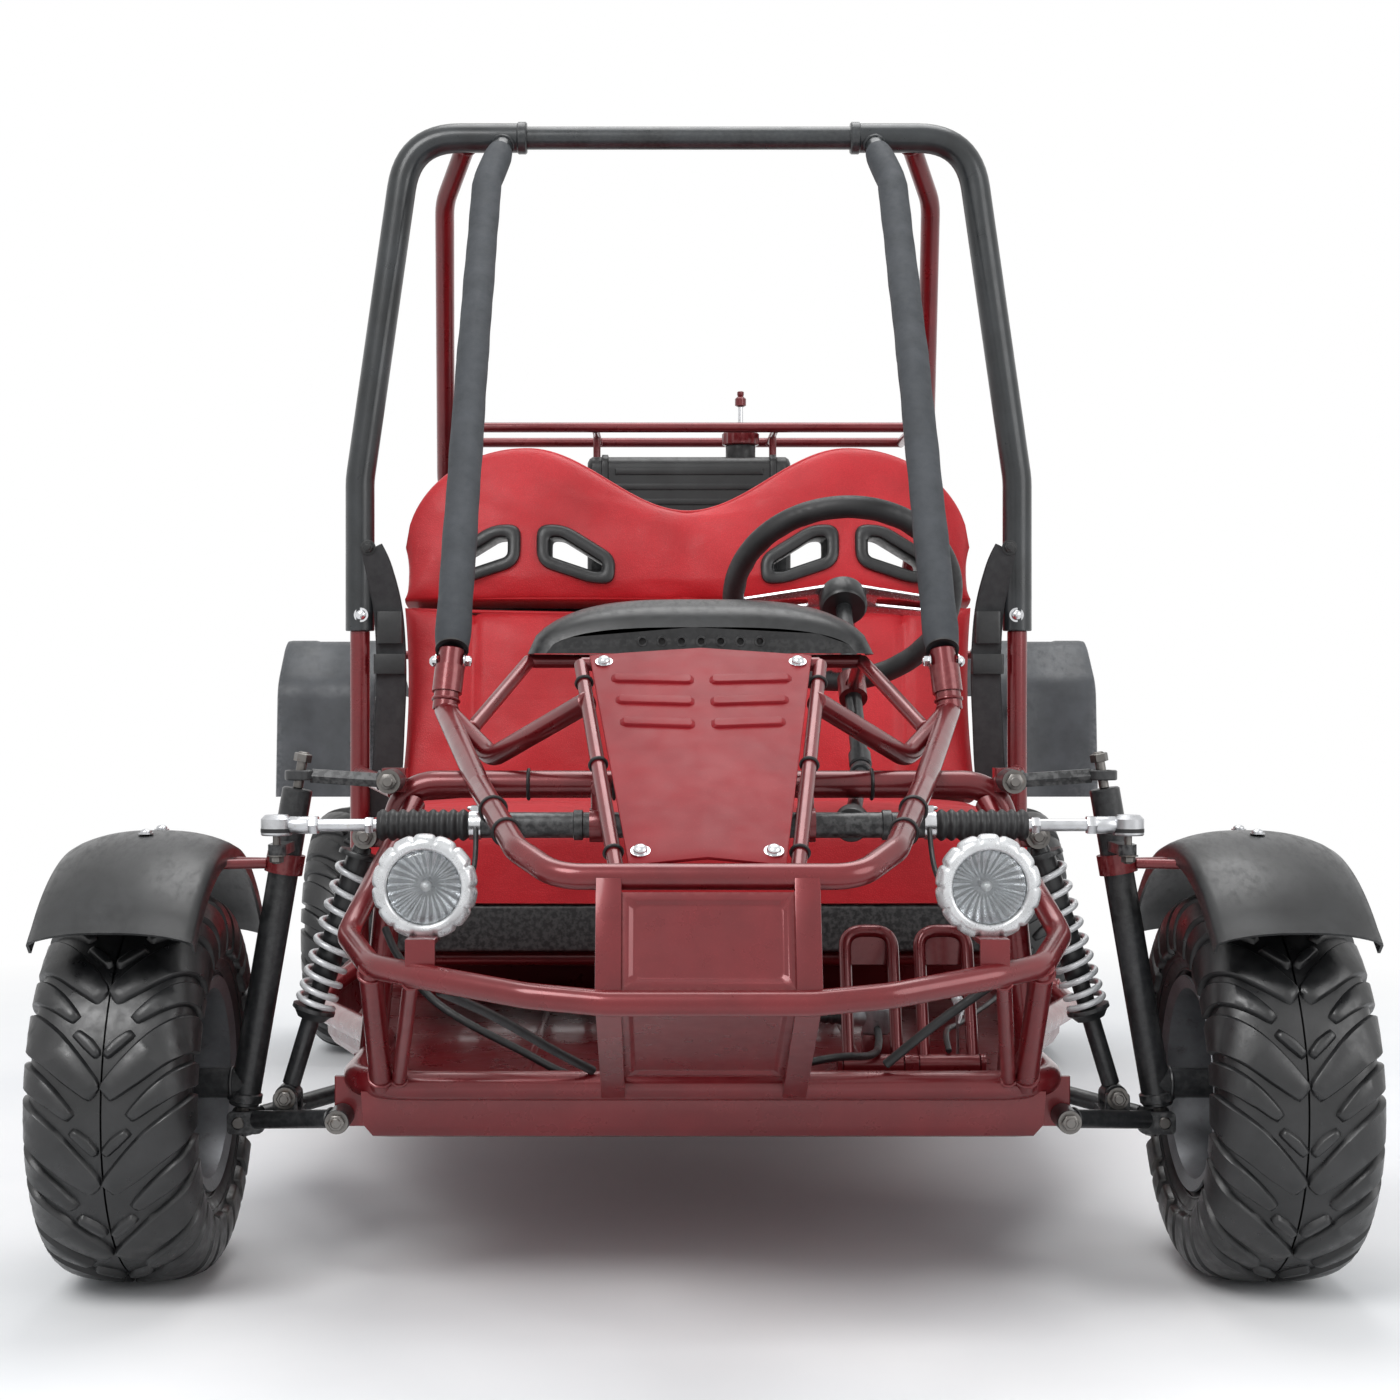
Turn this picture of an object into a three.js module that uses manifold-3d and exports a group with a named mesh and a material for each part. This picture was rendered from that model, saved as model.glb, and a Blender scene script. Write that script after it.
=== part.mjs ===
// A two-seat off-road go-kart with a roll cage, sprung wheels and a live rear axle.
// Millimetres, +Z up, -Y forward. The origin lies on the ground under the middle of the whole kart.
// A place is written as x, back, up: back is the distance behind the front axle.
import * as THREE from "three";
import { mergeVertices } from "three/addons/utils/BufferGeometryUtils.js";
import Module from "manifold-3d";

const wasm = await Module();
wasm.setup();

// Clearances and counts used all over.
const gap = 0.3;
const overrun = 4;
const weld = 1e-3;
const flatness = 0.12;
const tubeSides = 8;
const thinSides = 6;
const squareSides = 4;
const thinRadius = 16;
const roundSides = 12;
const wheelSides = 16;
const rimSides = 12;
const discSides = 14;

// Wheels and tyres.
const wheelbase = 1412;
const frontWheel = { radius: 192.5, width: 152, trackX: 553, rimRadius: 102, rimWidth: 128 };
const rearWheel = { radius: 200, width: 190, trackX: 512, rimRadius: 89, rimWidth: 150 };
const wheel = { wall: 4, flange: 9, hubRadius: 27, hubLength: 78, discBack: 14, tyreWall: 9 };

// Front bumper: one bent bar, two posts, two plates, short struts and lamp brackets.
const bumper = {
  radius: 11, bend: 60, faceX: 87, faceBack: -350, faceUp: 321, midX: 154, midBack: -340, midUp: 326,
  wideX: 249, wideBack: -290, wideUp: 336, cornerX: 297, cornerBack: -250, cornerUp: 340,
  sideX: 332, sideBack: -150, sideUp: 356, riseX: 318, riseBack: -60, riseUp: 400,
  endX: 290, endBack: 35, endUp: 470, postX: 85, postWidth: 22, postDepth: 24, plate: 4,
  plateTopUp: 411, plateFootUp: 334, strutX: 304, strutInX: 256, strutInFootX: 288,
};

// Lower frame: side rails in one loop that ends in the tail tubes.
const rail = {
  radius: 14, bend: 70, frontBack: -120, frontX: 335, frontUp: 211, kinkBack: 150, wideX: 455, wideBack: 450,
  rearX: 466, rearUp: 205, rearBack: 1000, tailX: 335, tailBack: 1150, topX: 340, topBack: 1440, topUp: 560,
};
const pan = { thick: 2.5, bottomUp: 157, inset: 11, rearBack: 940, frontBack: -118 };

// Roll cage: main hoop with thick sleeved legs, crossbar with collars, two bowed front pillars.
const hoop = {
  radius: 20.5, footX: 466, back: 900, footUp: 673, bendUp: 887, topX: 397, topUp: 1372, bend: 130,
  barRadius: 16, barX: 236, collarRadius: 22.5, collarWidth: 14,
};
const pillar = {
  radius: 14, footX: 270, footBack: 218, footUp: 631, midX: 275, midBack: 535, midUp: 1000,
  highX: 278, highBack: 800, highUp: 1285, topX: 259, bend: 120, padRadius: 20.5, padGap: 0.8, padTopBack: 868,
};
const stay = { radius: 14, topX: 312, shoulderX: 356, shoulderBack: 1000, shoulderUp: 1303, footX: 383,
  footBack: 1290, footUp: 929, bend: 90 };
const rack = { radius: 8, up: 1006, frontBack: 1250, rearBack: 1450, x: 363, postX: 143, postRadius: 6 };

// Nose frame: hood hoop, V braces, side bars, suspension hoop, tubes under the nose panel, dash posts.
const hood = {
  radius: 11.5, bend: 45, frontX: 130, frontBack: -300, frontUp: 423, kneeX: 168, kneeBack: -250, kneeUp: 443,
  midX: 220, midBack: -20, midUp: 490, baseX: 276, baseBack: 200, baseUp: 564,
};
const brace = { radius: 11, kneeX: 216, kneeBack: 95, kneeUp: 515, topX: 112, topBack: -38, topUp: 573 };
const axleHoop = { radius: 14, bend: 45, back: 45, topX: 306, topUp: 489 };
const sideBar = { radius: 11, rearUp: 470 };
const nose = {
  footX: 68, footBack: -290, footUp: 432, topX: 112, topBack: 20, topUp: 620, thick: 3, crease: 9,
  tubeRadius: 7, tubeOut: 9, ribHeight: 3, ribWidth: 15, ribLength: 118, ribGap: 26, ribTop: 300,
};
const dash = {
  halfWidth: 201, frontBack: 300, rearBack: 400, lowUp: 628, topRise: 66, wall: 4, topHalf: 168, lipRise: 22,
  holes: 7, holeSpan: 134, holeRadius: 4, holeRise: 14, shiftX: 6, postX: 192, postRadius: 8, barBack: 330,
};

// Seat: black base and back board, cushion and two backrests, on two cross tubes.
const seat = {
  halfWidth: 415, frontBack: 505, rearBack: 972, baseUp: 263, baseThick: 58, cushionThick: 98, cushionCrown: 16,
  leanDegrees: 11.3, pivotUp: 330, board: 12, lowFoot: 95, lowTop: 374, padThick: 62, padCrown: 14,
  upperFoot: 386, shoulder: 545, bump: 634, valley: 527, bumpX: 240, tubeRadius: 11, frontTubeBack: 560,
  rearTubeBack: 900, postX: 436, channel: 9, drawn: 7, supportGap: 0.3,
};
const slot = { innerX: 112, width: 92, outerInnerX: 250, outerWidth: 78, footUp: 437, height: 78, slant: 26 };

// Fuel tank on its cradle under the rear rack.
const tank = { lowX: -156, highX: 168, frontBack: 1268, rearBack: 1436, bottomUp: 740, height: 228, round: 22,
  ridge: 4, ridgeWidth: 12, cradleBack: 1378, cradleRadius: 9 };
const cap = { x: 90, back: 1330, neckRadius: 24, neckHeight: 22, radius: 29, height: 24, rodRadius: 4,
  rodHeight: 38, valveRadius: 9, valveHeight: 26 };

// Steering: wheel and column, lower shaft, rack and tie rods.
const steer = {
  wheelX: 190, wheelBack: 570, wheelUp: 706, tiltDegrees: 40, rimRadius: 137.5, gripRadius: 14.5, plate: 5,
  spokeWidth: 34, hubRadius: 30, hubLength: 26, columnRadius: 10, columnLength: 330, bearingAt: 183,
  bearingRadius: 17, bearingLength: 36, jointRadius: 13, jointLength: 22, crossRadius: 7,
  rackBack: -70, rackUp: 454, rackRadius: 8, housingRadius: 12.5, housingX: 226, rackX: 296, pinionX: 144, shaftRadius: 8,
  pinionRadius: 17, pinionLength: 46, clampRadius: 14, clampWidth: 13, saddleX: 100,
};
const bellows = { startX: 226.3, endX: 314, crest: 15.5, root: 12.6, bore: 11, ribs: 9 };
const tieRod = { radius: 6, ballRadius: 7.5, innerX: 304, outerX: 412, housingRadius: 15, housingHeight: 20,
  bore: 12.4, studRadius: 3.6, padDrop: 19, boreDepth: 14 };

// Front suspension, right side; the left side mirrors it.
const arm = {
  innerX: 348, innerUp: 174, innerBack: 90, ballX: 460, ballUp: 155, bushRadius: 11.5, bushLength: 38,
  tubeRadius: 9, pinRadius: 6, forkX: 442, forkGap: 11, earThick: 6, earRadius: 11, lugThick: 8,
  plate: 6, shockX: 413, shockUp: 180, shockEar: 12.6, lugWidth: 22, lugReach: 8,
};
const topArm = { innerX: 310, innerUp: 494, outerX: 401, outerUp: 500, bushRadius: 12, bushLength: 40,
  barRadius: 8, eyeRadius: 15, eyeBore: 10, eyeHeight: 10 };
const upright = { radius: 15, footAlong: 15, topShort: 13.5, studRadius: 5, nutRadius: 9, nutHeight: 10,
  spindleRadius: 9, shoulderRadius: 15, armWidth: 18, armThick: 10 };
const ballJoint = { radius: 10, stemRadius: 6, stemLength: 40, pinLength: 18 };
const shock = { topX: 335, topUp: 439, eyeRadius: 12, eyeWidth: 23, pinRadius: 6, bodyRadius: 13,
  rodRadius: 9, collarRadius: 21.5, collarThick: 5, springTop: 22, springFoot: 92, bodyEnd: 150,
  tubeStart: 120, travel: 24, eyeSlack: 2.1 };
const frontSpring = { coilRadius: 18, wireRadius: 3.2, turns: 9, crowding: 1.22 };

// Front fender, swept round the wheel axis.
const fender = { inX: 470, outX: 624, radius: 236, crown: 16, lip: 16, wall: 4, frontDegrees: 48, rearDegrees: 58,
  steps: 6, stayRadius: 5, stayBack: 34, stayUp: 412 };

// Rear suspension and drive.
const swing = { pivotBack: 1060, pivotUp: 270, x: 230, tubeRadius: 13, bearingRadius: 27, bearingWidth: 30,
  tubeBack: 985, tubeUp: 238, crossShare: 0.681818, crossRadius: 11, bushRadius: 17, bushWidth: 34, pinRadius: 8, earThick: 8, earX: 13.5 };
const axle = { radius: 15, sprocketX: -154, sprocketRadius: 86, plate: 7, discX: 150, discRadius: 84,
  hubRadius: 34, hubThick: 16 };
const drive = { radius: 36, shaftRadius: 10, shaftEndX: -170, gearboxX: -120, chainHeight: 11, chainWidth: 13,
  teethGap: 0.4 };
const rearShock = { topAhead: 40, topUp: 540, footUp: 250, eyeRadius: 13, eyeWidth: 25,
  pinRadius: 7, bodyRadius: 17, rodRadius: 10, collarRadius: 30, collarThick: 6, springTop: 28, springFoot: 76,
  bodyEnd: 170, tubeStart: 135, travel: 37, eyeSlack: 2.8 };
const rearSpring = { coilRadius: 24.5, wireRadius: 4.5, turns: 7.5, crowding: 1 };
const caliper = { length: 62, height: 46, width: 40, slotGap: 2.5, ahead: 60, up: 262 };
const engine = {
  lowX: -130, highX: 130, frontBack: 1104, rearBack: 1290, plateUp: 374, plateThick: 8, crankTop: 560,
  cylinderX: 20, cylinderHalf: 62, cylinderBack: 1190, fins: 3, finThick: 12, finPitch: 30, headUp: 692,
  shroudRadius: 86, shroudThick: 42, gearRadius: 26, mufflerLowX: -140, mufflerHighX: 150, mufflerRadius: 44,
  mufflerBack: 1365, mufflerUp: 636, pipeRadius: 13, bearerLowX: -48, bearerHighX: 112,
};

// Rear fender over each rear tyre.
const rearFender = { inX: 470, outX: 618, wall: 4, frontBack: 1076, footUp: 430, shoulderBack: 1092,
  shoulderUp: 600, topBack: 1170, topUp: 668, rearBack: 1400, rearUp: 660, endBack: 1560, endUp: 585,
  strutRadius: 7, strutUp: 560, strutBack: 1385, strutTopUp: 649 };

// Lamps, pedals and brake hydraulics.
const lamp = { x: 249, faceBack: -262, up: 410, radius: 42, lensRadius: 33, depth: 60, rearRadius: 24, bezel: 10,
  bracketWidth: 26, bracket: 5, ledge: 50 };
const pedal = { pivotBack: 60, pivotUp: 200, topBack: 112, topUp: 332, radius: 6.5, width: 50, throttleX: 256,
  brakeX: 178, sleeveRadius: 11, pinRadius: 6, lugThick: 5, lugGap: 0.5, padThick: 6 };
const master = { x: 190, back: 150, up: 236, radius: 15, height: 34, tubeRadius: 10, bootRadius: 8.5,
  bootLength: 50 };

// The ground origin: the overall length runs from the bumper's face to the back of the rear tyres.
const bumperReach = bumper.radius - bumper.faceBack;
const frontAxleY = bumperReach - (bumperReach + wheelbase + rearWheel.radius) / 2;
const at = (x, back, up) => new THREE.Vector3(x, frontAxleY + back, up);
const toRadians = THREE.MathUtils.degToRad;

// A closed three.js geometry as a solid that can be joined and cut.
function solid(geometry) {
  const bare = geometry.index ? geometry.toNonIndexed() : geometry.clone();
  bare.deleteAttribute("normal");
  bare.deleteAttribute("uv");
  const merged = mergeVertices(bare, weld);
  const build = (triVerts) =>
    new wasm.Manifold(
      new wasm.Mesh({ numProp: 3, vertProperties: merged.attributes.position.array, triVerts }),
    );
  const triVerts = new Uint32Array(merged.index.array);
  const made = build(triVerts);
  return made.volume() < 0 ? build(triVerts.reverse()) : made;
}
const join = (shapes) => shapes.reduce((sum, shape) => sum.add(shape));
const cut = (shape, tools) => tools.reduce((rest, tool) => rest.subtract(tool), shape);

// A path through corner points whose corners are rounded with a few steps each.
class BentPath extends THREE.Curve {
  constructor(corners, bend) {
    super();
    this.points = [corners[0]];
    for (let i = 1; i < corners.length - 1; i++) {
      const before = corners[i - 1].clone().sub(corners[i]);
      const after = corners[i + 1].clone().sub(corners[i]);
      const turn = Math.PI - before.angleTo(after);
      const reach = Math.min(bend * Math.tan(turn / 2), before.length() * 0.45, after.length() * 0.45);
      const steps = Math.max(1, Math.round(turn / toRadians(38)));
      const start = corners[i].clone().addScaledVector(before.normalize(), reach);
      const end = corners[i].clone().addScaledVector(after.normalize(), reach);
      const round = new THREE.QuadraticBezierCurve3(start, corners[i], end);
      this.points.push(...(turn < toRadians(22) ? [corners[i]] : round.getPoints(steps)));
    }
    this.points.push(corners[corners.length - 1]);
  }
  getPoint(t) {
    const last = this.points.length - 1;
    const place = Math.min(Math.max(t * last, 0), last);
    const index = Math.min(Math.floor(place), last - 1);
    return this.points[index].clone().lerp(this.points[index + 1], place - index);
  }
  getPointAt(u) {
    return this.getPoint(u);
  }
  getTangentAt(u) {
    return this.getTangent(u);
  }
}

function polygon(radius, sides) {
  const corner = (i) => ((i + 0.5) / sides) * 2 * Math.PI;
  return Array.from({ length: sides }, (_, i) =>
    new THREE.Vector2(radius * Math.cos(corner(i)), radius * Math.sin(corner(i))));
}
function sweep(path, radius, sides) {
  const section = new THREE.Shape(polygon(radius, sides));
  const steps = path.points.length - 1;
  return solid(new THREE.ExtrudeGeometry(section, { steps, extrudePath: path, bevelEnabled: false }));
}
const sidesOf = (radius) => (radius < thinRadius ? thinSides : tubeSides);
function tube(corners, radius, bend = radius * 4, sides = sidesOf(radius)) {
  return sweep(new BentPath(corners, bend), radius, sides);
}

// A straight round bar or cone between two points.
function rod(from, to, radius, sides = sidesOf(radius), endRadius = radius) {
  const along = to.clone().sub(from);
  const shape = new THREE.CylinderGeometry(endRadius, radius, along.length(), sides);
  shape.translate(0, along.length() / 2, 0);
  shape.applyQuaternion(new THREE.Quaternion().setFromUnitVectors(new THREE.Vector3(0, 1, 0), along.normalize()));
  shape.translate(from.x, from.y, from.z);
  return solid(shape);
}
// A tool for a hole in which a bar of the given radius turns: its flats stand one gap off the bar.
function bore(from, to, radius, sides = tubeSides) {
  return rod(from, to, (radius + gap) / Math.cos(Math.PI / sides), sides);
}
function ball(centre, radius, sides = thinSides) {
  const shape = new THREE.SphereGeometry(radius, sides, sides / 2);
  shape.translate(centre.x, centre.y, centre.z);
  return solid(shape);
}
function box(low, high) {
  const size = high.clone().sub(low);
  const centre = low.clone().add(high).multiplyScalar(0.5);
  const shape = new THREE.BoxGeometry(Math.abs(size.x), Math.abs(size.y), Math.abs(size.z));
  shape.translate(centre.x, centre.y, centre.z);
  return solid(shape);
}

// A profile of [radius, distance] points turned about the line from a point along a direction.
function turned(profile, from, direction, sides = roundSides, phase = 0) {
  const closed = [...profile, profile[0]].map(([r, h]) => new THREE.Vector2(r, h));
  const shape = new THREE.LatheGeometry(closed, sides, phase);
  shape.applyQuaternion(new THREE.Quaternion().setFromUnitVectors(new THREE.Vector3(0, 1, 0), direction));
  shape.translate(from.x, from.y, from.z);
  return solid(shape);
}
function ring(from, to, outer, inner, sides = roundSides) {
  const along = to.clone().sub(from);
  const length = along.length();
  return turned([[inner, 0], [outer, 0], [outer, length], [inner, length]], from, along.normalize(), sides);
}

// Flat outlines pulled into plates along Y, X or Z. An outline's points may be [x, up], [back, up] or [x, back].
function extruded(points, depth, matrix) {
  const outline = new THREE.Shape(points.map(([a, b]) => new THREE.Vector2(a, b)));
  const shape = new THREE.ExtrudeGeometry(outline, { depth, bevelEnabled: false });
  return solid(shape.applyMatrix4(matrix));
}
function plateAlongX(points, fromX, toX) {
  const axes = new THREE.Matrix4().set(0, 0, 1, fromX, 1, 0, 0, frontAxleY, 0, 1, 0, 0, 0, 0, 0, 1);
  return extruded(points, toX - fromX, axes);
}
function plateAlongY(points, fromBack, toBack) {
  const axes = new THREE.Matrix4().set(1, 0, 0, 0, 0, 0, -1, frontAxleY + toBack, 0, 1, 0, 0, 0, 0, 0, 1);
  return extruded(points, toBack - fromBack, axes);
}
function plateAlongZ(points, fromUp, toUp) {
  const axes = new THREE.Matrix4().set(1, 0, 0, 0, 0, 1, 0, frontAxleY, 0, 0, 1, fromUp, 0, 0, 0, 1);
  return extruded(points, toUp - fromUp, axes);
}
const along = (from, to, distance) => from.clone().addScaledVector(to.clone().sub(from).normalize(), distance);
const beyond = (from, to, distance) => to.clone().addScaledVector(to.clone().sub(from).normalize(), distance);
const bothSides = (places) => [
  ...places.map(([x, back, up]) => at(-x, back, up)).reverse(),
  ...places.map(([x, back, up]) => at(x, back, up)),
];

// Finishes.
const finish = (color, roughness, metalness) => new THREE.MeshStandardMaterial({ color, roughness, metalness });
const redPaint = finish(0x8a1822, 0.32, 0.35);
const redVinyl = finish(0xc81824, 0.5, 0);
const blackPaint = finish(0x17181a, 0.42, 0.2);
const blackPlastic = finish(0x202225, 0.55, 0);
const greyPlastic = finish(0x3b4045, 0.6, 0);
const foam = finish(0x55585d, 0.85, 0);
const rubber = finish(0x141416, 0.8, 0);
const tyreRubber = finish(0x1b1c1e, 0.75, 0);
const zinc = finish(0xc9ccd0, 0.35, 0.9);
const castMetal = finish(0x9a9da1, 0.5, 0.7);
const springPaint = finish(0xd6d8da, 0.4, 0.3);
const lampPlastic = finish(0xdfe2e4, 0.15, 0.2);

const kart = new THREE.Group();
const rightSide = new THREE.Group();
const leftSide = new THREE.Group();
leftSide.scale.x = -1;
kart.add(rightSide, leftSide);

function addPiece(name, shape, material, group = kart, place = new THREE.Vector3()) {
  const mesh = shape.asOriginal().simplify(flatness).getMesh();
  const geometry = new THREE.BufferGeometry();
  geometry.setAttribute("position", new THREE.BufferAttribute(mesh.vertProperties, 3));
  geometry.setIndex(new THREE.BufferAttribute(mesh.triVerts, 1));
  const piece = new THREE.Mesh(geometry, material);
  piece.name = name;
  piece.position.copy(place);
  group.add(piece);
}
function addPair(name, shape, material, place) {
  addPiece(`${name}_right`, shape, material, rightSide, place);
  addPiece(`${name}_left`, shape, material, leftSide, place);
}

// Lines that several pieces share.
const kingpinFoot = at(arm.ballX, 0, arm.ballUp);
const kingpinTop = at(topArm.outerX, 0, topArm.outerUp);
const kingpinLength = kingpinFoot.distanceTo(kingpinTop);
const kingpinAt = (up) =>
  kingpinFoot.clone().lerp(kingpinTop, (up - arm.ballUp) / (topArm.outerUp - arm.ballUp));
const shockTop = at(shock.topX, 0, shock.topUp);
const shockFoot = at(arm.shockX, 0, arm.shockUp);
const crossBack = swing.pivotBack + (wheelbase - swing.pivotBack) * swing.crossShare;
const shockTopBack = rail.topBack - rearShock.topAhead;
const caliperBack = wheelbase - caliper.ahead;
const rearShockTop = at(0, shockTopBack, rearShock.topUp);
const rearShockFoot = at(0, crossBack, rearShock.footUp);
const tilt = toRadians(steer.tiltDegrees);
const wheelCentre = at(steer.wheelX, steer.wheelBack, steer.wheelUp);
const columnAxis = new THREE.Vector3(0, Math.cos(tilt), Math.sin(tilt));
const columnFoot = wheelCentre.clone().addScaledVector(columnAxis, -steer.columnLength);
const pinionCentre = at(steer.pinionX, steer.rackBack, steer.rackUp);
const alongX = (x) => new THREE.Vector3(x, 0, 0);
const alongY = (y) => new THREE.Vector3(0, y, 0);
const alongZ = (z) => new THREE.Vector3(0, 0, z);
const shifted = (point, shift) => point.clone().add(shift);

const railPath = bothSides([
  [rail.frontX, rail.frontBack, rail.frontUp], [rail.frontX, rail.kinkBack, rail.frontUp],
  [rail.wideX, rail.wideBack, rail.rearUp], [rail.rearX, rail.rearBack, rail.rearUp],
  [rail.tailX, rail.tailBack, rail.rearUp], [rail.topX, rail.topBack, rail.topUp],
]);
const hoopPath = bothSides([
  [hoop.barX, hoop.back, hoop.topUp], [hoop.topX, hoop.back, hoop.topUp], [hoop.footX, hoop.back, hoop.bendUp],
  [hoop.footX, hoop.back, hoop.footUp],
]);
const hoodPath = bothSides([
  [hood.frontX, hood.frontBack, hood.frontUp], [hood.kneeX, hood.kneeBack, hood.kneeUp],
  [hood.midX, hood.midBack, hood.midUp], [hood.baseX, hood.baseBack, hood.baseUp],
]);
const axleHoopPath = bothSides([
  [axleHoop.topX, axleHoop.back, axleHoop.topUp], [rail.frontX, axleHoop.back, rail.frontUp],
]);
const pillarPath = (side) => [
  at(side * pillar.footX, pillar.footBack, pillar.footUp), at(side * pillar.midX, pillar.midBack, pillar.midUp),
  at(side * pillar.highX, pillar.highBack, pillar.highUp), at(side * pillar.topX, hoop.back, hoop.topUp),
];
const noseFoot = at(0, nose.footBack, nose.footUp);
const noseTop = at(0, nose.topBack, nose.topUp);
const noseSlope = noseTop.clone().sub(noseFoot).normalize();
const noseUp = new THREE.Vector3(0, -noseSlope.z, noseSlope.y);

// The lower frame, nose frame, stays, rack and all the brackets welded to them.
function mainFrame() {
  const parts = [
    tube(railPath, rail.radius, rail.bend),
    tube(hoodPath, hood.radius, hood.bend),
    tube(axleHoopPath, axleHoop.radius, axleHoop.bend),
    rod(at(-rail.topX, rail.topBack, rail.topUp), at(rail.topX, rail.topBack, rail.topUp), rail.radius),
    floorPan(),
  ];
  for (const side of [1, -1]) parts.push(...frameSide(side));
  parts.push(...seatSupports(), ...rearRack(), ...driveSupports(), ...noseTubes(), ...steeringSupports());
  parts.push(...pedalSupports());
  const sleeve = sweep(new BentPath(hoopPath, hoop.bend), hoop.radius + gap, tubeSides);
  const padSpaces = [1, -1].map((side) => {
    const [foot, middle] = pillarPath(side);
    return rod(beyond(middle, foot, gap), along(foot, middle, pillar.padRadius * 2), pillar.padRadius + overrun);
  });
  return cut(join(parts), [sleeve, ...padSpaces]);
}
function frameSide(side) {
  const base = at(side * hood.baseX, hood.baseBack, hood.baseUp);
  const stub = at(side * pillar.footX, pillar.footBack, pillar.footUp);
  const knee = at(side * brace.kneeX, brace.kneeBack, brace.kneeUp);
  const topPivot = at(side * topArm.innerX, 0, topArm.innerUp);
  const shockEye = at(side * shock.topX, 0, shock.topUp);
  const reach = topArm.bushLength / 2;
  const hoopBack = axleHoop.back;
  const stayShare = (stay.footUp - rearFender.strutTopUp) / (stay.footUp - rail.topUp);
  const faceShare = (rearFender.strutUp - rearFender.footUp) / (rearFender.shoulderUp - rearFender.footUp);
  const fenderFace = rearFender.frontBack + (rearFender.shoulderBack - rearFender.frontBack) * faceShare - gap;
  const fenderStrut = at(side * stay.footX, stay.footBack, stay.footUp)
    .lerp(at(side * rail.topX, rail.topBack, rail.topUp), stayShare);
  const parts = [
    rod(at(side * rail.rearX, hoop.back, rail.rearUp), at(side * hoop.footX, hoop.back, hoop.footUp - gap), rail.radius),
    rod(base, stub, rail.radius),
    tube([base, knee, at(side * brace.topX, brace.topBack, brace.topUp)], brace.radius),
    rod(at(side * axleHoop.topX, hoopBack, axleHoop.topUp - axleHoop.radius / 2),
      at(side * hoop.footX, hoop.back, sideBar.rearUp), sideBar.radius),
    tube([at(side * stay.topX, hoop.back, hoop.topUp),
      at(side * stay.shoulderX, stay.shoulderBack, stay.shoulderUp),
      at(side * stay.footX, stay.footBack, stay.footUp), at(side * rail.topX, rail.topBack, rail.topUp)],
    stay.radius, stay.bend),
    // The upper arm's pivot: a block on the suspension hoop with a headed pin.
    box(shifted(topPivot, new THREE.Vector3(-topArm.bushRadius, reach + gap, -topArm.bushRadius)),
      shifted(topPivot, new THREE.Vector3(topArm.bushRadius, hoopBack, topArm.bushRadius))),
    rod(shifted(topPivot, alongY(hoopBack)), shifted(topPivot, alongY(-reach - arm.earThick)), arm.pinRadius),
    rod(shifted(topPivot, alongY(-reach - gap)), shifted(topPivot, alongY(-reach - arm.earThick)), arm.earRadius),
    // The shock absorber's upper pivot.
    box(at(side * (axleHoop.topX + overrun), shock.eyeWidth / 2 + gap, shock.topUp - shock.eyeRadius),
      at(side * (shock.topX + shock.eyeRadius), hoopBack, shock.topUp + shock.eyeRadius)),
    rod(shifted(shockEye, alongY(hoopBack)), shifted(shockEye, alongY(-shock.eyeWidth / 2 - arm.earThick)),
      shock.pinRadius),
    rod(shifted(shockEye, alongY(-shock.eyeWidth / 2 - gap)),
      shifted(shockEye, alongY(-shock.eyeWidth / 2 - arm.earThick)), shock.eyeRadius, thinSides),
    // The rear fender's two struts.
    rod(at(side * hoop.footX, hoop.back, rearFender.strutUp),
      at(side * (rearFender.inX + rearFender.strutRadius * 3), fenderFace - rearFender.wall / 2, rearFender.strutUp),
      rearFender.strutRadius, squareSides),
    rod(fenderStrut, at(side * (rearFender.outX + rearFender.inX) / 2, rearFender.strutBack, rearFender.strutTopUp),
      rearFender.strutRadius, squareSides),
  ];
  // Two lugs under the rail hold the lower arm's bushes on headed pins.
  for (const end of [1, -1]) {
    const pivot = at(side * arm.innerX, end * arm.innerBack, arm.innerUp);
    const inner = end * (arm.bushLength / 2 + gap);
    const outer = end * (arm.bushLength / 2 + arm.earThick);
    const lugInner = end * (arm.innerBack - arm.bushLength / 2 - gap);
    parts.push(
      box(at(side * (arm.innerX - arm.lugWidth), lugInner - end * arm.lugThick, arm.innerUp - arm.earRadius),
        at(side * (arm.innerX + arm.lugReach), lugInner, rail.frontUp)),
      rod(shifted(pivot, alongY(-inner - end * arm.lugThick)), shifted(pivot, alongY(outer)), arm.pinRadius),
    );
    if (end < 0) {
      parts.push(rod(shifted(pivot, alongY(inner)), shifted(pivot, alongY(outer)), arm.earRadius, thinSides));
    }
  }
  return parts;
}

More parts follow.
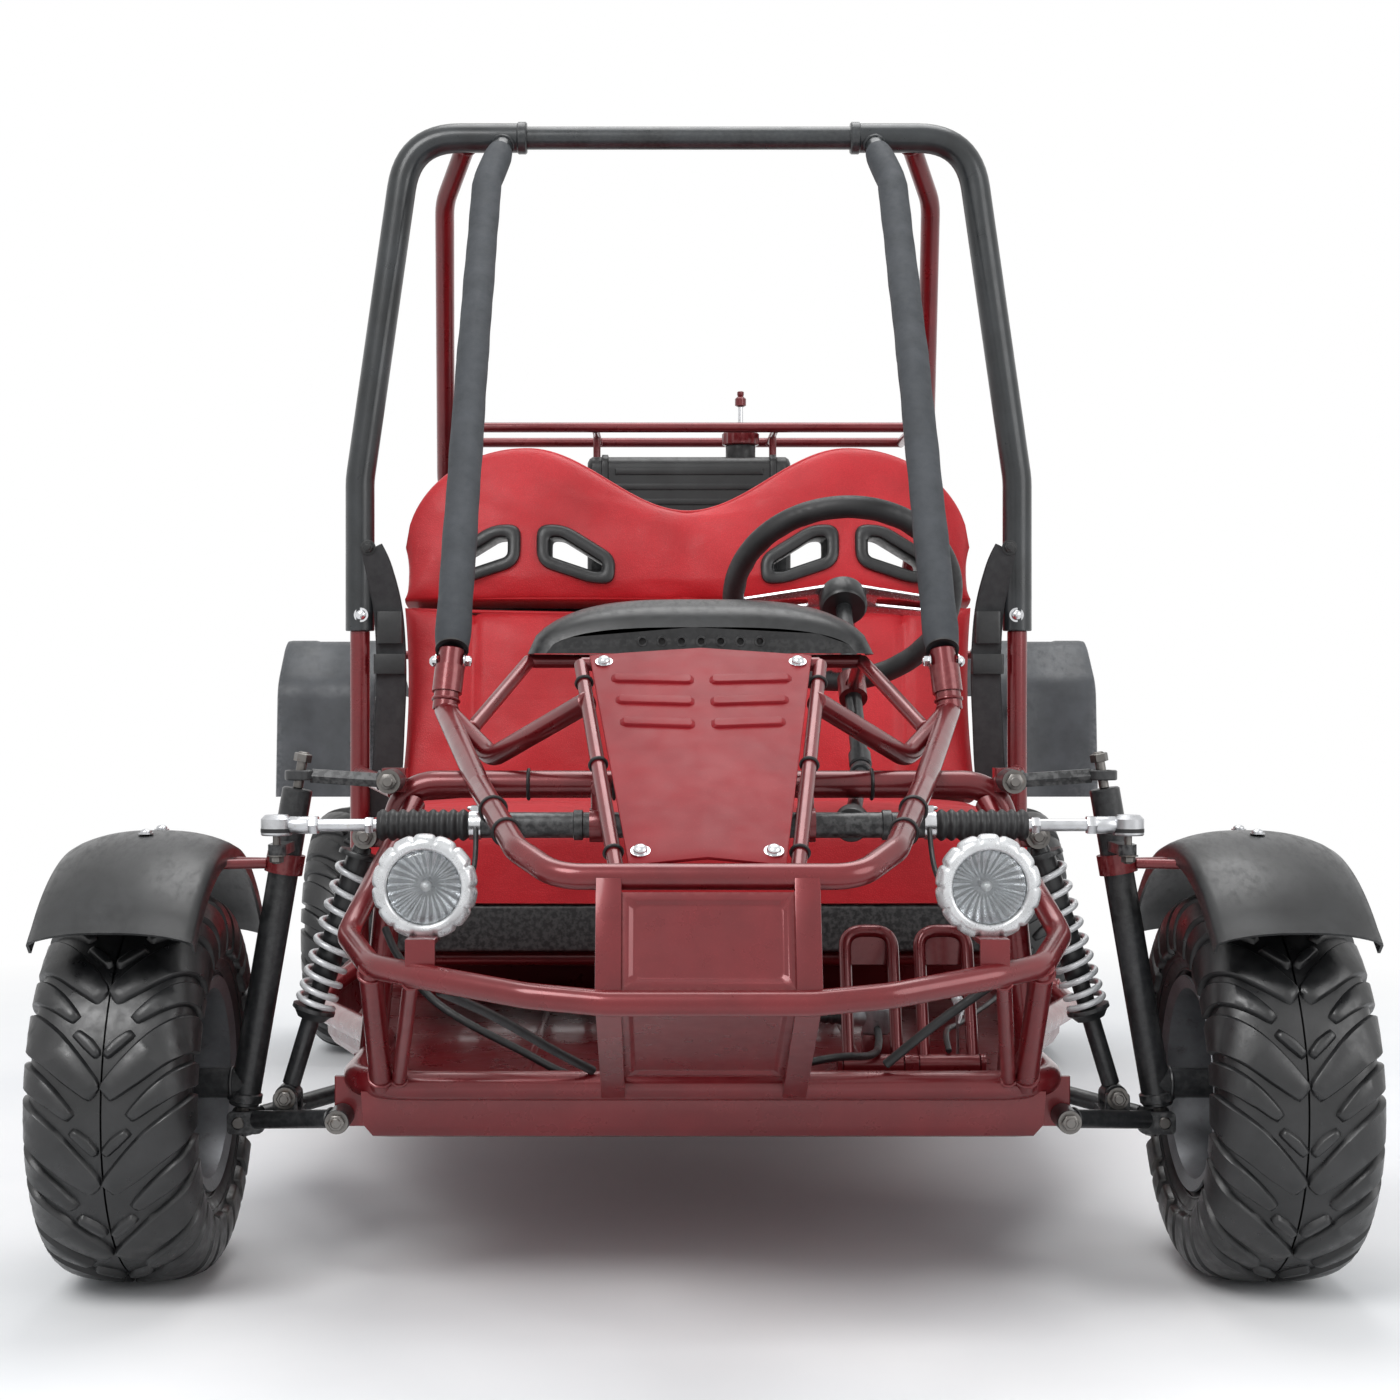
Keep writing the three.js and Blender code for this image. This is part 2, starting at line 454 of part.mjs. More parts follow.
// The belly pan: a shallow tray whose rim runs under the rails.
function floorPan() {
  const half = (inset) => [
    [rail.frontX - inset, pan.frontBack + inset - pan.inset], [rail.frontX - inset, rail.kinkBack],
    [rail.wideX - inset, rail.wideBack], [rail.rearX - inset, pan.rearBack - inset + pan.inset],
  ];
  const outline = (inset) => [
    ...half(inset), ...half(inset).map(([x, back]) => [-x, back]).reverse(),
  ];
  const tray = plateAlongZ(outline(pan.inset), pan.bottomUp, rail.rearUp);
  const hollow = plateAlongZ(outline(pan.inset + pan.thick), pan.bottomUp + pan.thick, rail.rearUp + overrun);
  return cut(tray, [hollow]);
}
function seatSupports() {
  const up = seat.baseUp - seat.supportGap - seat.tubeRadius;
  const parts = [];
  for (const back of [seat.frontTubeBack, seat.rearTubeBack]) {
    const bend = seat.postX - seat.tubeRadius * 3;
    parts.push(rod(at(-bend - seat.tubeRadius, back, up), at(bend + seat.tubeRadius, back, up), seat.tubeRadius,
      squareSides));
    for (const side of [1, -1]) {
      parts.push(rod(at(side * rail.rearX, back, rail.rearUp), at(side * bend, back, up), seat.tubeRadius, squareSides));
    }
  }
  return parts;
}
function rearRack() {
  const parts = [
    rod(at(-stay.footX, rack.frontBack, rack.up), at(stay.footX, rack.frontBack, rack.up), rack.radius),
    rod(at(-rack.x, rack.rearBack, rack.up), at(rack.x, rack.rearBack, rack.up), rack.radius),
    rod(at(-rack.x, tank.cradleBack, tank.bottomUp - gap - tank.cradleRadius),
      at(rack.x, tank.cradleBack, tank.bottomUp - gap - tank.cradleRadius), tank.cradleRadius, squareSides),
  ];
  for (const side of [1, -1]) {
    const middle = (rack.frontBack + rack.rearBack) / 2;
    parts.push(
      rod(at(side * rack.x, rack.frontBack - 2 * rack.radius, rack.up),
        at(side * rack.x, rack.rearBack + rack.radius, rack.up), rack.radius),
      rod(at(side * rack.postX, rack.frontBack, rack.up), at(side * rack.postX, rack.rearBack, rack.up),
        rack.postRadius, squareSides),
      rod(at(side * rack.postX, middle, rack.up), at(side * rack.postX, middle, tank.bottomUp + tank.height + gap),
        rack.postRadius, squareSides),
    );
  }
  return parts;
}

// Cross tubes, ears and bearers for the engine, swing arm and rear shock absorber.
function driveSupports() {
  const { pivotBack, pivotUp, x, bushWidth, bushRadius, pinRadius, earThick, earX, tubeBack, tubeUp } = swing;
  const bearerUp = engine.plateUp - rail.radius;
  const tailShare = (bearerUp - rail.rearUp) / (rail.topUp - rail.rearUp);
  const tailBack = rail.tailBack + (rail.topBack - rail.tailBack) * tailShare;
  const parts = [
    tube(bothSides([[x + bushWidth, tubeBack, tubeUp], [rail.rearX, tubeBack, rail.rearUp]]), rail.radius,
      rail.radius, squareSides),
    rod(at(-rail.tailX, tailBack, bearerUp), at(rail.tailX, tailBack, bearerUp), rail.radius, squareSides),
    box(at(engine.lowX, engine.frontBack, engine.plateUp - engine.plateThick),
      at(engine.highX, engine.rearBack, engine.plateUp)),
  ];
  for (const bearerX of [engine.bearerLowX, engine.bearerHighX]) {
    parts.push(tube([at(bearerX, tubeBack, tubeUp), at(bearerX, engine.frontBack, bearerUp),
      at(bearerX, tailBack, bearerUp)], engine.pipeRadius, engine.pipeRadius, squareSides));
  }
  for (const side of [1, -1]) {
    const face = side * (x + bushWidth / 2 + gap);
    parts.push(
      box(at(face, tubeBack + rail.radius / 2, tubeUp),
        at(face + side * earThick, pivotBack + bushRadius, pivotUp + bushRadius)),
      rod(at(face + side * earThick, pivotBack, pivotUp), at(side * (x - bushWidth / 2), pivotBack, pivotUp), pinRadius),
      box(at(side * earX, shockTopBack - rearShock.eyeRadius, rearShock.topUp - rearShock.eyeRadius),
        at(side * (earX + earThick), rail.topBack, rail.topUp)),
    );
  }
  parts.push(rod(shifted(rearShockTop, alongX(-earX - earThick)), shifted(rearShockTop, alongX(earX + earThick)),
    rearShock.pinRadius));
  return parts;
}

// Two tubes carry the nose panel, and a bar joins their upper ends.
function noseTubes() {
  const drop = nose.tubeRadius * Math.cos(Math.PI / thinSides) + nose.thick + gap;
  const foot = (side) => shifted(noseFoot, alongX(side * (nose.footX + nose.tubeOut))).addScaledVector(noseUp, -drop)
    .addScaledVector(noseSlope, -hood.radius);
  const top = (side) => shifted(noseTop, alongX(side * (nose.topX + nose.tubeOut))).addScaledVector(noseUp, -drop);
  return [
    rod(foot(1), top(1), nose.tubeRadius), rod(foot(-1), top(-1), nose.tubeRadius),
    rod(top(1), top(-1), nose.tubeRadius),
  ];
}

// Dash posts and bar, the column's bearing and the two rack saddles.
function steeringSupports() {
  const barUp = dash.lowUp - gap - dash.postRadius;
  const bearing = wheelCentre.clone().addScaledVector(columnAxis, -steer.bearingAt);
  const half = steer.bearingLength / 2;
  const bearingFront = bearing.clone().addScaledVector(columnAxis, -half);
  const bearingBack = bearing.clone().addScaledVector(columnAxis, half);
  const dashBar = (x) => at(x, dash.barBack, barUp);
  const parts = [
    rod(dashBar(-dash.postX), dashBar(dash.postX), dash.postRadius),
    rod(dashBar(steer.wheelX), bearing, dash.postRadius),
    rod(bearingFront, bearingBack, steer.bearingRadius, tubeSides),
  ];
  for (const side of [1, -1]) {
    const share = 0.5;
    const foot = at(side * brace.kneeX, brace.kneeBack, brace.kneeUp)
      .lerp(at(side * hood.baseX, hood.baseBack, hood.baseUp), share);
    const saddleTop = at(side * steer.saddleX, axleHoop.back, axleHoop.topUp);
    const saddle = at(side * steer.saddleX, steer.rackBack, steer.rackUp);
    parts.push(
      rod(foot, dashBar(side * dash.postX), dash.postRadius),
      rod(saddleTop, shifted(saddle, new THREE.Vector3(0, -dash.postRadius, axleHoop.topUp - steer.rackUp)),
        dash.postRadius, squareSides),
      rod(shifted(saddle, alongZ(axleHoop.topUp - steer.rackUp + dash.postRadius)), saddle, dash.postRadius,
        squareSides),
    );
  }
  const columnSpace = bore(beyond(bearingBack, bearingFront, overrun), beyond(bearingFront, bearingBack, overrun),
    steer.columnRadius);
  const rackSpace = rod(at(-steer.housingX, steer.rackBack, steer.rackUp),
    at(steer.housingX, steer.rackBack, steer.rackUp), steer.housingRadius + gap, roundSides);
  return [cut(join(parts), [columnSpace, rackSpace])];
}

// A pin across two pairs of lugs on the floor carries both pedals.
function pedalSupports() {
  const half = pedal.width / 2 + pedal.radius + pedal.lugGap;
  const parts = [rod(at(pedal.brakeX - half - pedal.lugThick, pedal.pivotBack, pedal.pivotUp),
    at(pedal.throttleX + half + pedal.lugThick, pedal.pivotBack, pedal.pivotUp), pedal.pinRadius)];
  const lug = (fromX, toX) => box(at(fromX, pedal.pivotBack - pedal.sleeveRadius, pan.bottomUp + pan.thick / 2),
    at(toX, pedal.pivotBack + pedal.sleeveRadius, pedal.pivotUp + pedal.sleeveRadius));
  parts.push(lug(pedal.brakeX - half - pedal.lugThick, pedal.brakeX - half));
  parts.push(lug(pedal.brakeX + half, pedal.throttleX - half));
  parts.push(lug(pedal.throttleX + half, pedal.throttleX + half + pedal.lugThick));
  parts.push(box(at(master.x - master.radius, master.back - master.radius, pan.bottomUp + pan.thick / 2),
    at(master.x + master.radius, master.back + master.radius, master.up - master.height / 2 - gap)));
  return parts;
}
addPiece("main_frame", mainFrame(), redPaint);

// Front bumper: bar, posts, a bevelled upper plate and a plain lower one, struts and lamp brackets.
function frontBumper() {
  const bar = bothSides([
    [bumper.faceX, bumper.faceBack, bumper.faceUp], [bumper.midX, bumper.midBack, bumper.midUp],
    [bumper.wideX, bumper.wideBack, bumper.wideUp], [bumper.cornerX, bumper.cornerBack, bumper.cornerUp],
    [bumper.sideX, bumper.sideBack, bumper.sideUp], [bumper.riseX, bumper.riseBack, bumper.riseUp],
    [bumper.endX, bumper.endBack, bumper.endUp],
  ]);
  const inner = bumper.postX - bumper.postWidth / 2;
  const outer = bumper.postX + bumper.postWidth / 2;
  const frontTop = hood.frontBack - bumper.postDepth / 2;
  const barBack = bumper.faceBack + bumper.radius / 2;
  const profile = [
    [frontTop, hood.frontUp], [barBack, bumper.plateFootUp], [barBack, bumper.faceUp],
    [rail.frontBack - bumper.radius, rail.frontUp - rail.radius], [rail.frontBack + bumper.radius, rail.frontUp],
    [barBack + bumper.postDepth, bumper.faceUp], [barBack + bumper.postDepth, bumper.plateFootUp],
    [hood.frontBack, hood.frontUp],
  ];
  const sheet = (depth, low, high) => {
    const front = (up) => barBack + (frontTop - barBack) * Math.max(0, (up - bumper.plateFootUp) / (hood.frontUp - bumper.plateFootUp));
    return plateAlongX([[front(low) + depth, low], [front(high) + depth, high],
      [front(high) + depth + bumper.plate, high], [front(low) + depth + bumper.plate, low]], -inner - 1, inner + 1);
  };
  const slopeShare = (up) => (bumper.faceUp - up) / (bumper.faceUp - rail.frontUp);
  const lowBack = (up) => barBack + (rail.frontBack - bumper.radius - barBack) * slopeShare(up);
  const lowTop = bumper.faceUp - bumper.radius;
  const lowFoot = rail.frontUp + rail.radius;
  const parts = [
    tube(bar, bumper.radius, bumper.bend),
    plateAlongX(profile, inner, outer), plateAlongX(profile, -outer, -inner),
    sheet(bumper.plate * 2, bumper.plateFootUp - bumper.plate, bumper.plateTopUp),
    plateAlongX([[lowBack(lowTop) + bumper.plate, lowTop], [lowBack(lowTop) + 2 * bumper.plate, lowTop],
      [lowBack(lowFoot) + 2 * bumper.plate, lowFoot], [lowBack(lowFoot) + bumper.plate, lowFoot]], -inner - 1, inner + 1),
  ];
  for (const side of [1, -1]) {
    const ledgeUp = lamp.up - lamp.radius - gap;
    const strutTop = at(side * bumper.cornerX, bumper.cornerBack, bumper.cornerUp);
    const strutInTop = at(side * bumper.strutInX, bumper.wideBack, bumper.wideUp);
    parts.push(
      rod(strutTop, at(side * bumper.strutX, rail.frontBack, rail.frontUp), bumper.radius),
      rod(strutInTop, at(side * bumper.strutInFootX, rail.frontBack, rail.frontUp), bumper.radius - bumper.plate),
      plateAlongX([[bumper.wideBack, bumper.wideUp], [bumper.wideBack + lamp.bracket, bumper.wideUp],
        [bumper.wideBack + lamp.bracket, ledgeUp - lamp.bracket], [bumper.wideBack + lamp.ledge, ledgeUp - lamp.bracket],
        [bumper.wideBack + lamp.ledge, ledgeUp], [bumper.wideBack, ledgeUp]],
      Math.min(side * (lamp.x - lamp.bracketWidth / 2), side * (lamp.x + lamp.bracketWidth / 2)),
      Math.max(side * (lamp.x - lamp.bracketWidth / 2), side * (lamp.x + lamp.bracketWidth / 2))),
    );
  }
  return cut(join(parts), [
    tube(railPath, rail.radius + gap, rail.bend),
    tube(hoodPath, hood.radius + gap, hood.bend),
    tube(axleHoopPath, axleHoop.radius + gap, axleHoop.bend),
  ]);
}
addPiece("front_bumper", frontBumper(), redPaint);

// Nose panel: two flat wings that meet at a raised crease, with plain pressed ribs.
function nosePanel() {
  const length = noseFoot.distanceTo(noseTop);
  const wing = (side) => {
    const lift = (share) => nose.crease * share;
    const points = [];
    for (const [w, s] of [[0, 0], [1, 0], [1, 1], [0, 1]]) {
      const half = s ? nose.topX : nose.footX;
      for (const depth of [0, -nose.thick]) {
        points.push(shifted(noseFoot, alongX(side * w * half)).addScaledVector(noseSlope, s * length)
          .addScaledVector(noseUp, lift(1 - w) + depth));
      }
    }
    return prism(points);
  };
  const parts = [wing(1), wing(-1)];
  for (const side of [1, -1]) {
    for (let row = 0; row < 3; row++) {
      const s = nose.ribTop - row * (nose.ribWidth + nose.ribGap);
      const half = nose.footX + (nose.topX - nose.footX) * (s / length);
      const reach = Math.min(nose.ribLength, half) - nose.ribWidth;
      const place = (x, d, h) => shifted(noseFoot, alongX(side * x)).addScaledVector(noseSlope, d)
        .addScaledVector(noseUp, nose.crease * (1 - x / half) + h);
      const corners = [[nose.ribWidth / 2, -nose.ribWidth / 2], [reach, nose.ribWidth / 2], [reach, nose.ribWidth * 1.4],
        [nose.ribWidth / 2, nose.ribWidth / 2]];
      parts.push(prism(corners.flatMap(([x, d]) => [place(x, s + d, nose.ribHeight), place(x, s + d, -nose.thick / 2)])));
    }
  }
  return join(parts);
}

// A solid between two four-cornered faces; the points come in pairs, upper then lower, round the outline.
function prism(points) {
  const geometry = new THREE.BufferGeometry();
  geometry.setAttribute("position", new THREE.Float32BufferAttribute(points.flatMap((p) => p.toArray()), 3));
  const count = points.length / 2;
  const index = [];
  for (let i = 0; i < count; i++) {
    const next = (i + 1) % count;
    index.push(2 * i, 2 * next, 2 * next + 1, 2 * i, 2 * next + 1, 2 * i + 1);
  }
  for (let i = 1; i < count - 1; i++) index.push(0, 2 * i + 2, 2 * i, 1, 2 * i + 1, 2 * i + 3);
  geometry.setIndex(index);
  return solid(geometry);
}
addPiece("nose_panel", nosePanel(), redPaint);

// Dash cowl: a shell open below and behind, with a row of small holes along its front.
function dashCowl() {
  const outline = (inset) => [
    [dash.shiftX - dash.halfWidth + inset, dash.lowUp - (inset ? overrun : 0)],
    [dash.shiftX + dash.halfWidth - inset, dash.lowUp - (inset ? overrun : 0)],
    [dash.shiftX + dash.halfWidth - inset, dash.lowUp + dash.lipRise - inset],
    [dash.shiftX + dash.topHalf, dash.lowUp + dash.topRise - inset - dash.wall],
    [dash.shiftX + dash.topHalf / 2, dash.lowUp + dash.topRise - inset],
    [dash.shiftX - dash.topHalf / 2, dash.lowUp + dash.topRise - inset],
    [dash.shiftX - dash.topHalf, dash.lowUp + dash.topRise - inset - dash.wall],
    [dash.shiftX - dash.halfWidth + inset, dash.lowUp + dash.lipRise - inset],
  ];
  const shell = plateAlongY(outline(0), dash.frontBack, dash.rearBack);
  const inside = plateAlongY(outline(dash.wall), dash.frontBack + dash.wall, dash.rearBack + overrun);
  const holes = [];
  for (let i = 0; i < dash.holes; i++) {
    const x = dash.shiftX + dash.holeSpan * (i / (dash.holes - 1) - 0.5);
    holes.push(rod(at(x, dash.frontBack - overrun, dash.lowUp + dash.holeRise), at(x, dash.frontBack + dash.wall + overrun, dash.lowUp + dash.holeRise),
      dash.holeRadius, 6));
  }
  return cut(shell, [inside, ...holes]);
}
addPiece("dash_cowl", dashCowl(), blackPlastic);

// Roll cage: sleeved hoop, crossbar with collars, and the two front pillars.
function rollCage() {
  const parts = [rod(at(-hoop.barX - overrun, hoop.back, hoop.topUp), at(hoop.barX + overrun, hoop.back, hoop.topUp),
    hoop.barRadius)];
  const rightLeg = hoopPath.slice(hoopPath.length / 2);
  const leftLeg = hoopPath.slice(0, hoopPath.length / 2);
  parts.push(sweep(new BentPath(rightLeg, hoop.bend), hoop.radius, tubeSides));
  parts.push(sweep(new BentPath(leftLeg, hoop.bend), hoop.radius, tubeSides));
  for (const side of [1, -1]) {
    parts.push(tube(pillarPath(side), pillar.radius, pillar.bend));
    parts.push(rod(at(side * (hoop.barX - hoop.collarWidth / 2), hoop.back, hoop.topUp),
      at(side * (hoop.barX + hoop.collarWidth / 2), hoop.back, hoop.topUp), hoop.collarRadius));
  }
  return join(parts);
}
addPiece("roll_cage", rollCage(), blackPaint);

// A foam pad round each pillar stops short of the hoop.
function pillarPad() {
  const corners = pillarPath(1);
  const last = corners.length - 1;
  const top = corners[last - 1].clone().lerp(corners[last], (pillar.padTopBack - pillar.highBack) / (hoop.back - pillar.highBack));
  const foot = corners[0];
  const outer = tube([foot, corners[1], corners[2], top], pillar.padRadius, pillar.bend);
  const bore = tube([beyond(corners[1], foot, overrun), corners[1], corners[2], corners[last]],
    pillar.radius + pillar.padGap, pillar.bend);
  const hoopSleeve = sweep(new BentPath(hoopPath, hoop.bend), hoop.radius + gap, tubeSides);
  return cut(outer, [bore, hoopSleeve]);
}
addPair("pillar_pad", pillarPad(), foam);

// Seat pads: a grid over the face and a matching one over the back, joined round the edge.
function stuffedPad(columns, rows, place, matrix) {
  const positions = [];
  const index = [];
  const count = (columns + 1) * (rows + 1);
  for (const face of [1, 0]) {
    for (let r = 0; r <= rows; r++) {
      for (let c = 0; c <= columns; c++) positions.push(...place((2 * c) / columns - 1, r / rows, face));
    }
  }
  const spot = (c, r) => r * (columns + 1) + c;
  for (let r = 0; r < rows; r++) {
    for (let c = 0; c < columns; c++) {
      const [a, b, d, e] = [spot(c, r), spot(c + 1, r), spot(c + 1, r + 1), spot(c, r + 1)];
      index.push(a, b, d, a, d, e, count + a, count + d, count + b, count + a, count + e, count + d);
    }
  }
  const edge = [];
  for (let c = 0; c < columns; c++) edge.push([spot(c + 1, 0), spot(c, 0)], [spot(c, rows), spot(c + 1, rows)]);
  for (let r = 0; r < rows; r++) edge.push([spot(0, r), spot(0, r + 1)], [spot(columns, r + 1), spot(columns, r)]);
  for (const [a, b] of edge) index.push(a, b, count + b, a, count + b, count + a);
  const geometry = new THREE.BufferGeometry();
  geometry.setAttribute("position", new THREE.Float32BufferAttribute(positions, 3));
  geometry.setIndex(index);
  return solid(geometry.applyMatrix4(matrix));
}
const seatLean = new THREE.Matrix4().makeRotationX(-toRadians(seat.leanDegrees));
const seatBack = new THREE.Matrix4().makeTranslation(0, frontAxleY + seat.rearBack, seat.pivotUp).multiply(seatLean);
const seatFlat = new THREE.Matrix4().makeTranslation(0, frontAxleY, 0);
const crownShare = (u, v) => (1 - u ** 4) * (1 - (2 * v - 1) ** 4);

// The backrest's top edge: two head bumps with a valley between and falling shoulders.
function backTop(u) {
  const bumpShare = seat.bumpX / seat.halfWidth;
  const from = Math.abs(u);
  const rise = (t) => (1 - Math.cos(Math.PI * t)) / 2;
  if (from < bumpShare) return seat.valley + (seat.bump - seat.valley) * rise(from / bumpShare);
  const fall = (from - bumpShare) / (1 - bumpShare);
  return seat.bump - (seat.bump - seat.shoulder) * fall ** 2.2;
}
const channelAt = (value, centre, step) => (Math.abs(value - centre) < step / 2 ? seat.channel : 0);

function slotOutlines(inset) {
  const { innerX, width, outerInnerX, outerWidth, footUp, height, slant } = slot;
  const low = footUp + inset;
  const high = footUp + height - inset;
  const right = [
    [[innerX + inset, low], [innerX + width * 0.62 - inset, low], [innerX + width - inset, high - slant], [innerX + width - inset, high], [innerX + inset * 2 + slant / 2, high]],
    [[outerInnerX + inset, low], [outerInnerX + outerWidth - inset, low], [outerInnerX + outerWidth * 0.62 - inset, high], [outerInnerX + inset, high]],
  ];
  return [...right, ...right.map((outline) => outline.map(([x, z]) => [-x, z]))];
}
function throughSlots(inset) {
  const stand = new THREE.Matrix4().makeRotationX(Math.PI / 2);
  const depth = seat.padThick + seat.padCrown + seat.board + 4 * overrun;
  const shift = new THREE.Matrix4().makeTranslation(0, seat.board + 2 * overrun, 0);
  const matrix = seatBack.clone().multiply(shift).multiply(stand);
  return slotOutlines(inset).map((outline) => extruded(outline, depth, matrix));
}
function seatPieces() {
  const { halfWidth, drawn } = seat;
  const columns = 14;
  // Base under the cushion, with the board that the backrests lean on.
  const boardHalf = halfWidth - drawn * 2;
  const topPoints = Array.from({ length: columns + 1 }, (_, i) => {
    const u = 1 - (2 * i) / columns;
    return [u * boardHalf, backTop(u) - drawn];
  });
  const board = extruded([[-boardHalf, 0], [boardHalf, 0], ...topPoints], seat.board,
    seatBack.clone().multiply(new THREE.Matrix4().makeTranslation(0, seat.board + gap, 0))
      .multiply(new THREE.Matrix4().makeRotationX(Math.PI / 2)));
  const base = plateAlongX([
    [seat.frontBack + drawn, seat.baseUp], [seat.rearBack + seat.board, seat.baseUp],
    [seat.rearBack + seat.board, seat.pivotUp + overrun], [seat.rearBack + gap, seat.pivotUp + overrun],
    [seat.rearBack + gap, seat.baseUp + seat.baseThick], [seat.frontBack + drawn, seat.baseUp + seat.baseThick],
  ], -boardHalf, boardHalf);
  addPiece("seat_shell", cut(base.add(board), throughSlots(0)), blackPlastic);

  const cushionFoot = seat.baseUp + seat.baseThick + gap;
  const depth = seat.rearBack - seat.frontBack - gap;
  const rows = 6;
  addPiece("seat_cushion", stuffedPad(columns, rows, (u, v, face) => {
    const pull = face ? drawn : 0;
    const x = u * (halfWidth - pull * (1 - (2 * v - 1) ** 2));
    const back = seat.frontBack + pull * (1 - u * u) * (v < 0.5 ? 1 : 0) + v * (depth - pull * (1 - u * u) * (v < 0.5 ? 1 : 0));
    const groove = channelAt(u, 0, 1 / columns) + channelAt(v, 0.5, 1 / rows);
    const lift = seat.cushionThick + seat.cushionCrown * crownShare(u, v) - Math.min(groove, seat.channel);
    return [x, back, cushionFoot + (face ? lift : 0)];
  }, seatFlat), redVinyl);

  const frontOf = (u, v, grooves) => -(seat.padThick + seat.padCrown * crownShare(u, v) - grooves);
  const lowRows = 5;
  addPiece("seat_lower_back", stuffedPad(columns, lowRows, (u, v, face) => {
    const pull = face ? drawn : 0;
    const x = u * (halfWidth - pull * (1 - (2 * v - 1) ** 2));
    const up = seat.lowFoot + v * (seat.lowTop - pull * (1 - u * u) - seat.lowFoot);
    const grooves = channelAt(u, 0, 1 / columns) + channelAt(Math.abs(u), 0.75, 1 / columns);
    return [x, face ? frontOf(u, v, grooves) : 0, up];
  }, seatBack), redVinyl);

  const upperRows = 6;
  const upper = stuffedPad(18, upperRows, (u, v, face) => {
    const pull = face ? drawn : 0;
    const x = u * (halfWidth - pull * (1 - (2 * v - 1) ** 2));
    const up = seat.upperFoot + v * (backTop(u) - pull - seat.upperFoot);
    return [x, face ? frontOf(u, v, 0) : 0, up];
  }, seatBack);
  addPiece("seat_upper_back", cut(upper, throughSlots(0)), redVinyl);
}
seatPieces();

// Fuel tank: a rounded box with two raised seams and a filler neck.
function fuelTank() {
  const { lowX, highX, frontBack, rearBack, bottomUp, height, round, ridge, ridgeWidth } = tank;
  const topUp = bottomUp + height;
  const outline = (inset) => [
    [frontBack + inset, bottomUp + round], [frontBack + round, bottomUp + inset], [rearBack - round, bottomUp + inset],
    [rearBack - inset, bottomUp + round], [rearBack - inset, topUp - round], [rearBack - round, topUp - inset],
    [frontBack + round, topUp - inset], [frontBack + inset, topUp - round],
  ];
  const body = plateAlongX(outline(ridge), lowX, highX);
  const seams = [lowX + round, highX - round - ridgeWidth].map((x) => plateAlongX(outline(0), x, x + ridgeWidth));
  const neck = rod(at(cap.x, cap.back, topUp - 2 * ridge), at(cap.x, cap.back, topUp - ridge + cap.neckHeight), cap.neckRadius, 10);
  return join([body, ...seams, neck]);
}
addPiece("fuel_tank", fuelTank(), blackPlastic);

function fuelCap() {
  const foot = at(cap.x, cap.back, tank.bottomUp + tank.height - tank.ridge + cap.neckHeight + gap);
  const top = shifted(foot, alongZ(cap.height));
  const rodTop = shifted(top, alongZ(cap.rodHeight));
  return join([
    rod(foot, top, cap.radius, 10), rod(shifted(top, alongZ(-overrun)), rodTop, cap.rodRadius),
    rod(shifted(rodTop, alongZ(-overrun)), shifted(rodTop, alongZ(cap.valveHeight)), cap.valveRadius),
  ]);
}
addPiece("fuel_cap", fuelCap(), redPaint);

// Engine: crankcase, finned cylinder, recoil housing, output gearbox, exhaust and muffler.
function engineUnit() {
  const { lowX, highX, frontBack, rearBack, plateUp, crankTop, cylinderX, cylinderHalf, cylinderBack } = engine;
  const bottom = plateUp + gap;
  const parts = [
    box(at(lowX + overrun, frontBack + overrun, bottom), at(highX - overrun, rearBack - overrun, crankTop)),
    box(at(cylinderX - cylinderHalf / 2, cylinderBack - cylinderHalf / 2, crankTop - overrun),
      at(cylinderX + cylinderHalf / 2, cylinderBack + cylinderHalf / 2, engine.headUp)),
  ];
  for (let i = 0; i < engine.fins; i++) {
    const up = crankTop + (i + 1) * engine.finPitch;
    parts.push(box(at(cylinderX - cylinderHalf, cylinderBack - cylinderHalf, up),
      at(cylinderX + cylinderHalf, cylinderBack + cylinderHalf, up + engine.finThick)));
  }
  const shroudUp = (bottom + crankTop) / 2;
  parts.push(rod(at(highX - overrun * 2, cylinderBack, shroudUp), at(highX + engine.shroudThick, cylinderBack, shroudUp),
    engine.shroudRadius, 10));
  const gearEnd = at(drive.gearboxX, swing.pivotBack, swing.pivotUp);
  parts.push(rod(gearEnd, shifted(gearEnd, alongX(engine.gearRadius * 2)), engine.gearRadius, roundSides));
  parts.push(box(at(drive.gearboxX, swing.pivotBack + overrun, plateUp + gap),
    at(drive.gearboxX + engine.gearRadius * 2, frontBack + engine.gearRadius, plateUp + engine.gearRadius)));
  parts.push(box(at(drive.gearboxX, swing.pivotBack + overrun, swing.pivotUp),
    at(drive.gearboxX + engine.gearRadius * 2, swing.pivotBack + engine.gearRadius - overrun, plateUp + engine.gearRadius)));
  const mufflerSpot = (x) => at(x, engine.mufflerBack, engine.mufflerUp);
  const tailEnd = engine.mufflerHighX + engine.mufflerRadius;
  parts.push(rod(mufflerSpot(engine.mufflerLowX), mufflerSpot(engine.mufflerHighX), engine.mufflerRadius, tubeSides));
  parts.push(rod(at(cylinderX, cylinderBack, engine.mufflerUp), mufflerSpot(cylinderX), engine.pipeRadius));
  parts.push(tube([mufflerSpot(engine.mufflerHighX - overrun), mufflerSpot(tailEnd),
    at(tailEnd, engine.mufflerBack + engine.mufflerRadius * 2, engine.mufflerUp)], engine.pipeRadius));
  return join(parts);
}
addPiece("engine", engineUnit(), castMetal);

